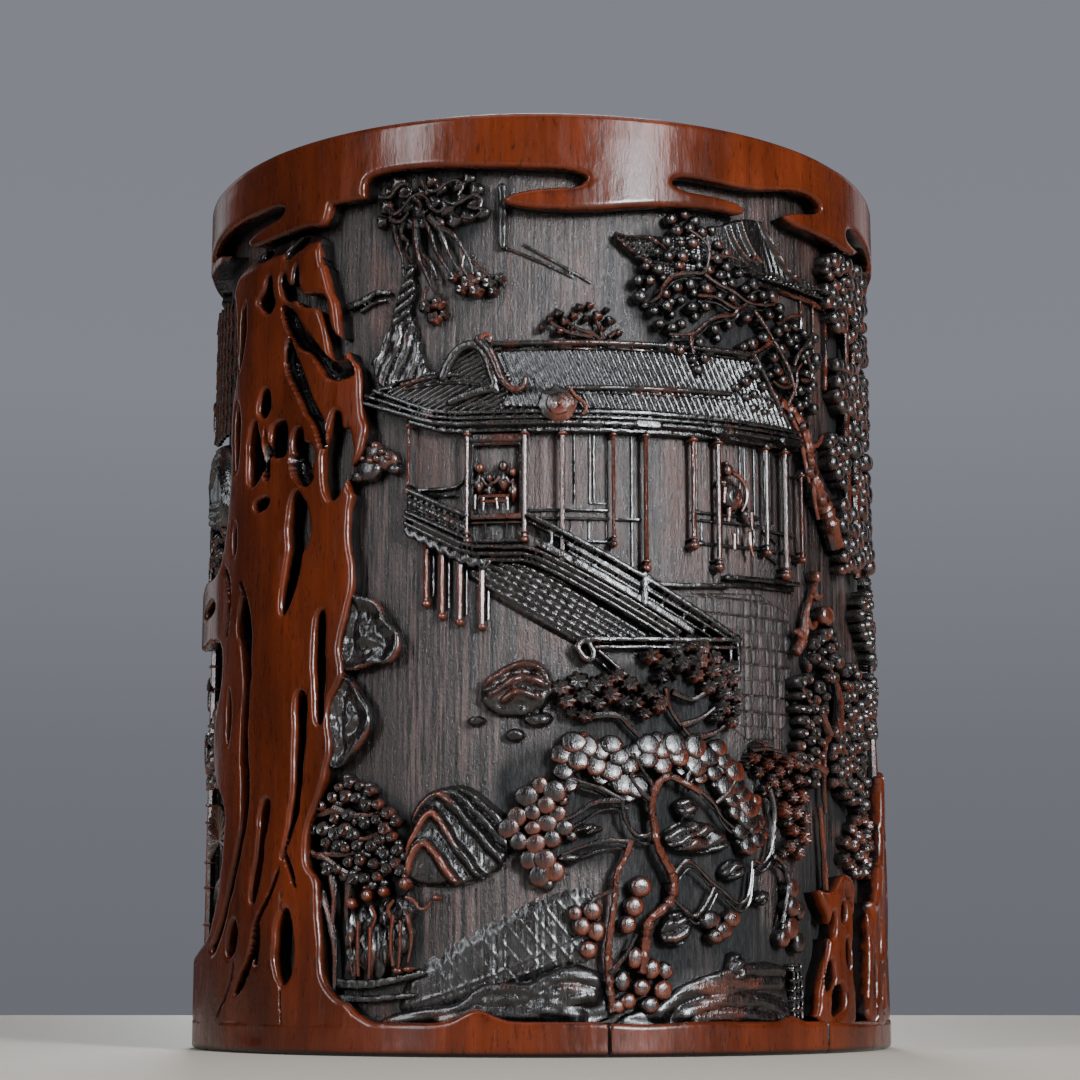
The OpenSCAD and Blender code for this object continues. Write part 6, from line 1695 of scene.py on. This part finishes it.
# %% West foliage
west = Heap(101)
for level, z in enumerate(np.arange(101.5, 121, 2.4)):
    for a in np.arange(-76, -61, 2.3):
        west.twig([(a + 0.6 * (level % 2), z - 1.4), (a + 1.1, z + 0.6), (a + 2.4, z + 1.7)], 1.3, 0.4, 2.2,
                  2.7, red=0.2)
for spread in np.linspace(-0.5, 3.6, 15):
    west.twig([(-67, 33), (-67 + 2.6 * math.cos(spread), 33 + 2.7 * math.sin(spread)),
               (-67 + 5.4 * math.cos(spread), 33 + 5.7 * math.sin(spread))], 0.5, 1.1, 2.0, 2.4, red=0.25)
scatter(west, 22, (-78, -64.5), (42, 54), 1.5, 2.9, gap=2.3, red=0.25, dimple=0.08)
scatter(west, 26, (-84, -64), (78, 84), 1.2, 2.6, gap=1.9, red=0.1, ribs=4)
west.pad((-66.5, 23.5), 3.0, 3.8, 2.6, dimple=0.25, red=0.1, segments=28)
west.bake("west_foliage_carved", ["west_foliage"])
DROP = [(-62.4, 86), (-63, 92), (-66, 97), (-70, 99.4), (-76, 98.6), (-82, 97), (-85, 91), (-83, 86.4),
        (-74, 84.6), (-67, 84)]
relief("west_drop_stone", span_of(DROP), lambda x, z: area(x, z, DROP),
       lambda x, z, d: 3.0 - 1.6 * edge(d, 1.6) + 0.3 * np.sin(4.4 * d) * ease(d, -0.4, -1.4) + 0.2 * waver(x,
        z, 2, 3), step=0.26,
       undercut=0.8, wear=lambda x, z, d, h: 0.2 + 0.3 * waver(x, z, 4, 6))

# %% [markdown]
# ## The far side
# The hall fills only half of the pot, so the other half continues the landscape in the same hand:
# a cleft rock under foliage, a second red crag, hills in mist, a leaning pine, a boat, a fishing hut and a
# stand of bamboo.

# %% Cleft rock and foliage
NORTH = [[(84.6, 3.4), (86.4, 13), (88, 24), (91, 38), (95.6, 52), (100, 61), (104.4, 50), (109, 40),
          (113.4, 22), (117.4, 3.4)]]
GROWTH = [[(100, 58), (98, 48), (94, 36), (92, 22), (90, 8)], [(100.4, 57), (102, 44), (99.6, 32), (101, 18),
        (99, 6)],
          [(101, 52), (105, 40), (106.4, 26), (109, 10)], [(97, 42), (95.8, 28), (96, 12)],
          [(103.6, 38), (104, 24), (104.6, 8)],
          [(109.6, 34), (112, 20), (113.6, 8)]]


def folded(lines, base=1.5, gain=1.3, width=1.3):
    def height(x, z, d):
        u, v = x + 0.6 * waver(x, z, 3, 3), z + 0.6 * waver(x, z, 3, 3, 1)
        crest = np.maximum.reduce([gain * ease(-stroke(u, v, line, width, width * 0.6), -1.8,
                                               0.4) for line in lines])
        return base - 0.9 * edge(d, 0.9) + crest + 0.3 * waver(x, z, 1.2, 2.6, 2) + 0.12 * waver(x, z, 0.6,
                0.8)
    return height


relief("north_rocks_carved", span_of(*NORTH, margin=0.8), lambda x,
       z: area(x, z, NORTH[0]) + 0.5 * waver(x, z, 3, 3),
       folded(GROWTH), ["north_rocks"], step=0.3, undercut=0.7, wear=lambda x, z, d,
       h: 0.05 + 0.5 * ease(h, 1.8, 2.9))
north = Heap(111)
north.twigs([[(100, 58), (99, 66), (102, 76), (98, 88), (101, 100), (99, 112), (102, 122)],
             [(102, 76), (106, 80), (109, 84)],
             [(98, 88), (94, 90), (91, 94)], [(101, 100), (106, 102), (110, 106)],
             [(99, 70), (94, 72), (90, 72)],
             [(99.4, 110), (95, 112), (92, 116)]], 2.4, 0.9, 1.9, red=0.45, gnarl=0.2)
for az, heights, count in (((88, 99), (68, 80), 26), ((100, 111), (74, 90), 36), ((89, 100), (86, 100), 32),
                           ((101, 113), (96, 112), 38),
                           ((91, 108), (112, 126), 46)):
    scatter(north, count, az, heights, 1.45, 3.0, gap=2.3, ribs=4, dimple=0.12, red=0.25)
north.bake("north_foliage_carved", ["north_foliage"])

# %% Second crag
BACK_CRAG = [[(117, 3.4), (121, 9), (125, 16), (124, 30), (129, 44), (127, 60), (131, 74), (129, 92),
              (133, 108), (134, 125),
              (140, 127.6), (147, 127), (152, 118), (150, 100), (156, 84), (153, 66), (158, 48), (155, 30),
              (160, 14), (169, 3.4)]]
BACK_SLOTS = [[(139, 119), (137, 109), (138, 99), (139.6, 98), (140.4, 108), (140.6, 118)],
              [(145, 109), (146, 96), (143, 84), (145.6, 83), (148.2, 95), (146.8, 108)],
              [(134.4, 85), (134.6, 72), (132.6, 60), (135, 61), (137.2, 72), (136.6, 84)],
              [(148, 71), (148.4, 56), (145, 44), (147.4, 43.4), (150.6, 56), (149.8, 69)],
              [(140, 61), (140, 45), (138, 31), (140, 30), (142.8, 44), (142, 60)],
              [(131.6, 39), (131.8, 26), (129.4, 16), (131.6, 15.6), (134, 26), (133, 38)],
              [(150, 31), (148.6, 21), (151, 12), (152.8, 13), (151, 21), (152, 30)],
              [(142, 78), (141, 73), (142.6, 70), (144, 74)], [(140, 92), (139, 87), (141, 85), (142, 89)],
              [(143, 22), (142, 16), (144, 12), (145.4, 17)]]
relief("back_cliff_skin", span_of(*BACK_CRAG, margin=0.8), pierced(BACK_CRAG, BACK_SLOTS), rock_skin,
       ["back_cliff"], SKIN_WOOD, "skin",
       step=0.34, undercut=0.5, wear=lambda x, z, d, h: ease(h, RELIEF - 1.5, RELIEF - 0.5))

# %% Misty hills and shore
HILLS = [[(163, 91), (169, 104.6), (174, 111.4), (178, 105), (184, 98), (190, 107), (197, 120), (203, 108),
          (209, 98.6), (219, 91),
          (205, 89), (190, 91), (176, 88.6)]]
HILL_LINES = [[(174, 110), (171, 103), (167, 95)], [(174, 110), (176, 102), (179, 94)],
              [(197, 118), (193, 108), (188, 98)],
              [(197, 118), (200, 107), (206, 96)], [(197, 113), (197.6, 104), (196, 94)],
              [(184, 97), (184, 92)], [(206, 101), (211, 95)]]
relief("back_hills_carved", span_of(*HILLS), lambda x, z: area(x, z, HILLS[0]) + 0.3 * waver(x, z, 2.5, 2.5),
       folded(HILL_LINES, 1.0, 1.1),
       ["back_hills"], step=0.3, undercut=0.5, wear=lambda x, z, d, h: 0.02 + 0.4 * ease(h, 1.3, 2.2))
BACK_SHORE = [[(166, 3.4), (170, 5.4), (176, 8.2), (184, 7.2), (190, 10), (199, 7.6), (210, 10.8), (219, 8.6),
               (228, 13.6), (238, 11.6),
               (246, 15.4), (252, 10), (266, 8), (276, 9.6), (279, 3.4)]]
BACK_BANKS = [[(170, 5), (178, 7), (188, 8.6), (198, 6)], [(186, 5.4), (200, 6.6), (212, 9.4), (222, 7)],
              [(216, 5.6), (228, 11.8), (238, 9.4), (250, 8)],
              [(230, 6), (244, 13), (252, 7)], [(252, 5), (264, 7), (276, 8)]]
relief("back_shore_carved", span_of(*BACK_SHORE, margin=0.6), lambda x, z: area(x, z, BACK_SHORE[0]),
       folded(BACK_BANKS, 1.2, 1.4), ["back_shore"],
       step=0.3, wear=lambda x, z, d, h: 0.05 + 0.5 * ease(h, 1.8, 2.8))

# %% Leaning pine
lean = Heap(121)
lean.twig([(176, 7), (178.6, 20), (176, 32), (180, 44), (188, 52), (193, 62), (190, 73)], 4.6, 1.8, 1.6, 2.2,
          red=0.5, gnarl=0.14, rounds=3)
lean.twigs([[(179.6, 43), (173, 50), (167, 59)], [(190, 54), (199, 57), (207, 54.6)],
            [(186, 51), (181, 58), (179, 66)],
            [(193, 62), (198, 64), (201, 67)], [(176, 32), (171, 36), (169, 34)]], 2.2, 1.0, 2.0, red=0.45,
           gnarl=0.2)
lean.pads([(178, 26, 1.0, 1.4), (184, 47.6, 0.9, 1.2)], 1, 4.1, dimple=0.3, red=0.45)
lean.bake("back_pine_carved", ["back_pine"])
clouds = Heap(122)
for az, heights, count in (((162, 174), (56, 64), 24), ((182, 198), (70, 79), 34), ((199, 212), (50, 60), 28),
                           ((174, 185), (63, 71), 24),
                           ((195, 206), (64, 71), 20), ((164, 173), (31, 38), 15)):
    scatter(clouds, count, az, heights, 1.5, 3.4, gap=2.3, ribs=5, dimple=0.14, red=0.3)
clouds.bake("back_pine_leaves_carved", ["back_pine_leaves"])

# %% Fishing hut and boat
HUT = [[(215.4, 45.8), (222, 52.4), (227, 58.6), (241, 58.6), (246, 52.4), (252.6, 45.8), (246, 47.4),
        (234, 46.6), (222, 47.4)]]
relief("hut_roof_carved", span_of(*HUT), lambda x, z: area(x, z, HUT[0], 1),
       lambda x, z, d: 2.0 - edge(d, 0.5) + 0.45 * np.abs(np.sin((x - 234 * DEG)
        * (1.9 + 0.05 * (z - 46)))) ** 0.7
       + 0.35 * ease(z, 56.6, 57.4),
       ["hut_roof"], step=0.22, undercut=0.6, wear=lambda x, z, d, h: 0.1 + 0.4 * ease(h, 2.3, 2.8))
ridges("hut_frame", [([(a, 47.8), (a, 31)], 1.2, 1.2, 2.0) for a in (222, 229, 239, 246)]
       + [([(218, z), (250, z)], w, w, top) for z, w, top in ((30.4, 1.0, 2.6), (29, 0.9, 2.2),
        (35.6, 0.5, 1.4), (37.2, 0.5, 1.4))]
       + [([(a, 35.6), (a, 30.6)], 0.45, 0.45, 1.3) for a in range(220, 250, 3)]
       + [([(226.6, 58.6), (241.4, 58.6)], 1.2, 1.2, 3.4), ([(216, 46), (234, 47.2), (252, 46)], 0.9, 0.9,
        3.1)]
       + [([(a, 28.6), (a, 17)], 0.9, 0.8, 1.5) for a in (221, 229, 239, 247)], ["hut_posts"], step=0.24,
       red=0.4)
skiff = Heap(123)
skiff.twig([(191.6, 21.4), (196, 18.4), (202, 17.4), (208, 18.2), (213.4, 22)], 2.6, 2.2, 1.9, red=0.4,
           rounds=3, gnarl=0.04)
skiff.twigs([[(191.8, 22), (197, 19.9), (203, 19.4), (208.6, 20), (213.4, 22.8)],
             [(199.2, 20.4), (200.4, 24.6), (205.8, 24.8), (207, 20.6)],
             [(200.4, 24.6), (202, 26), (204.6, 26), (205.8, 24.8)], [(210.4, 21), (212.4, 29), (213.4, 34)]],
            0.9, 0.6, 2.4, red=0.45, gnarl=0.06)
skiff.pads([(203, 22.4, 2.3, 2.0)], 1, 2.4, ribs=6, red=0.15)
skiff.pads([(209.6, 22.4, 0.9, 1.6), (209.6, 24.6, 0.6, 0.6)], 1, 2.6, red=0.35)
skiff.bake("boat_carved", ["boat"])

# %% Bamboo stand
STALKS = [[(254, 8), (253, 50), (256, 98)], [(260, 6), (261.4, 60), (259, 113)],
          [(268, 6), (266, 50), (270, 101)], [(273.6, 8), (275, 46), (273, 88)]]
stalks = Heap(124)
for stalk in STALKS:
    line = soften(stalk, 4, closed=False)
    marks = np.linspace(0, len(line) - 1, 14).astype(int)
    for low, high in zip(marks, marks[1:]):
        stalks.twig(line[[low, (low + high) // 2, high]], 1.7, 1.55, 1.5, red=0.45, gnarl=0.05, rounds=1)
        stalks.pad(line[high], 1.0, 0.35, 2.6, low=0.2, red=0.55)
stalks.bake("bamboo_stalks_carved", ["bamboo_stalks"])
sprigs = Heap(125)
SPRIG = [(253, 86), (256, 97), (259, 105), (260, 113), (268, 93), (270, 101), (266, 78), (254, 68), (261, 90),
         (273, 88), (275, 74), (262, 70),
         (256, 56), (270, 62), (274, 52), (265, 118), (272, 110), (278, 96), (251, 104), (277, 82)]
for a, z in SPRIG:
    sprigs.twig([(a - 1.4, z + 0.6), (a, z), (a + 1.2, z - 1)], 0.5, 0.4, 2.4, red=0.3)
    for turn in (-150, -118, -92, -66, -32):
        reach = sprigs.chance.uniform(5.2, 7.0)
        tip = math.radians(turn + sprigs.chance.uniform(-8, 8))
        middle = (a + 0.5 * reach * math.cos(tip) / DEG, z + 0.5 * reach * math.sin(tip))
        sprigs.pad(middle, reach / 2, 0.72, 3.0, low=1.6, red=0.25, lean=tip, segments=14)
sprigs.bake("bamboo_leaves_carved", ["bamboo_leaves"])

# %% [markdown]
# ## Stage, light and camera
# The camera stands at table height, close to the foot of the pot and looking slightly up. A high and
# a low pair of soft boxes stand in front, left and right. The low pair is mirrored in the wall and the high pair
# in the rim, so their reflections run down the wax as two broad silvery bands. A box overhead catches the lip
# and every upper edge, two weak ones stand at the sides, and one behind keeps the far side readable.

# %% Stage
def plain(name, colour, rough):
    material = bpy.data.materials.new(name)
    material.use_nodes = True
    shader = material.node_tree.nodes["Principled BSDF"]
    shader.inputs["Base Color"].default_value = (*colour, 1)
    shader.inputs["Roughness"].default_value = rough
    return material


def sheet(name, corners, material, faces=None):
    mesh = bpy.data.meshes.new(name)
    mesh.from_pydata(corners, [], faces or [list(range(len(corners)))])
    mesh.materials.append(material)
    body = bpy.data.objects.new(name, mesh)
    bpy.context.collection.objects.link(body)
    return body


def backdrop_paper():
    """Seamless paper that glows by itself, evenly except for a painted band of light a little brighter in the
    middle of its height.
    """
    material = bpy.data.materials.new("backdrop_paper")
    material.use_nodes = True
    tree = material.node_tree
    height = add_node(tree, "ShaderNodeSeparateXYZ")
    wire(tree, add_node(tree, "ShaderNodeTexCoord").outputs["Object"], height.inputs[0])
    level = calculate(tree, "MULTIPLY", height.outputs[2], 0.5, clamp=True)
    tone = ramp(tree, level, (0.0, 0.155), (0.16, 0.17), (0.42, 0.245), (1.0, 0.225))
    glow = add_node(tree, "ShaderNodeEmission")
    wire(tree, blend_colour(tree, 1.0, tone, (0.96, 0.99, 1.14), "MULTIPLY"), glow.inputs[0])
    wire(tree, glow.outputs[0], tree.nodes["Material Output"].inputs[0])
    return material


TABLE_BACK = 0.33
TABLE_REACH = 0.68
swing = math.acos(TABLE_BACK / TABLE_REACH)
sheet("table", [(TABLE_REACH * math.sin(t), TABLE_REACH * math.cos(t), 0)
                for t in np.linspace(2 * math.pi - swing, swing, 65)],
      plain("pale_table", (0.42, 0.37, 0.31), 0.6))
PAPER_R = 3.0
PAPER_SIDES = 32
corners = [(PAPER_R * math.sin(t), PAPER_R * math.cos(t)) for t in np.linspace(0, 2 * math.pi,
        PAPER_SIDES + 1)]
paper = sheet("backdrop", [(x, y, z) for z in (-2, 4) for x, y in corners], backdrop_paper(),
              [[k, k + 1, k + PAPER_SIDES + 2, k + PAPER_SIDES + 1] for k in range(PAPER_SIDES)])
paper.visible_diffuse = False
paper.visible_glossy = False
print("table reach", TABLE_REACH, "paper radius", PAPER_R)

# %% Lights
AIM_HEIGHT = 0.075
COOLNESS = 1.1


def soft_box(name, azimuth, distance, height, wide, tall, power):
    """An area light that stands at an azimuth from the viewer's side and looks at the pot."""
    light = bpy.data.lights.new(name, "AREA")
    light.shape = "RECTANGLE"
    light.size, light.size_y = wide, tall
    light.energy = power
    light.color = (1.0, 0.5 + 0.5 * COOLNESS, COOLNESS)
    lamp = bpy.data.objects.new(name, light)
    angle = math.radians(azimuth)
    place = np.array([distance * math.sin(angle), -distance * math.cos(angle), height])
    lamp.location = place
    away = np.array([0, 0, AIM_HEIGHT]) - place
    lamp.rotation_euler = (math.atan2(math.hypot(away[0], away[1]), -away[2]), 0,
                           math.atan2(away[1], away[0]) - math.pi / 2)
    bpy.context.collection.objects.link(lamp)


SOFT_BOXES = [  # name, azimuth, distance, height, width, how tall, power
    ("high_left", -44, 0.75, 0.52, 0.14, 0.34, 1.9),
    ("high_right", 33, 0.75, 0.52, 0.18, 0.34, 3.4),
    ("low_left", -42, 0.75, 0.20, 0.14, 0.24, 1.8),
    ("low_right", 29, 0.75, 0.22, 0.13, 0.18, 8.6),
    ("side_left", -142, 0.95, 0.35, 0.30, 0.60, 0.3),
    ("side_right", 142, 0.95, 0.35, 0.30, 0.60, 0.3),
    ("top_box", 8, 0.10, 0.85, 0.60, 0.60, 1.3),
    ("far_box", 182, 0.90, 0.45, 0.30, 0.60, 4.5),
]
for box in SOFT_BOXES:
    soft_box(*box)
world = bpy.data.worlds.new("studio")
world.use_nodes = True
world.node_tree.nodes["Background"].inputs[0].default_value = (0.035, 0.036, 0.040, 1)
world.node_tree.nodes["Background"].inputs[1].default_value = 1.0
bpy.context.scene.world = world

# %% [markdown]
# The lens is a short telephoto, set 409 mm from the pot's axis and only 11.5 mm above the table, tilted up by
# ten degrees. A low camera makes the pot look monumental: its lip arches up and its foot is almost straight.

# %% Camera
CAMERA_BACK = 0.409
CAMERA_UP = 0.0115
CAMERA_TILT = 10.35
LENS = 79.7
FRAME_SHIFT = -0.0014
camera = bpy.data.objects.new("camera", bpy.data.cameras.new("camera"))
camera.data.lens = LENS
camera.data.sensor_width = 36
camera.data.shift_x = FRAME_SHIFT
camera.data.clip_start = 0.01
camera.location = (0, -CAMERA_BACK, CAMERA_UP)
camera.rotation_euler = (math.radians(90 + CAMERA_TILT), 0, 0)
bpy.context.collection.objects.link(camera)
bpy.context.scene.camera = camera
print("camera", camera.location[:])
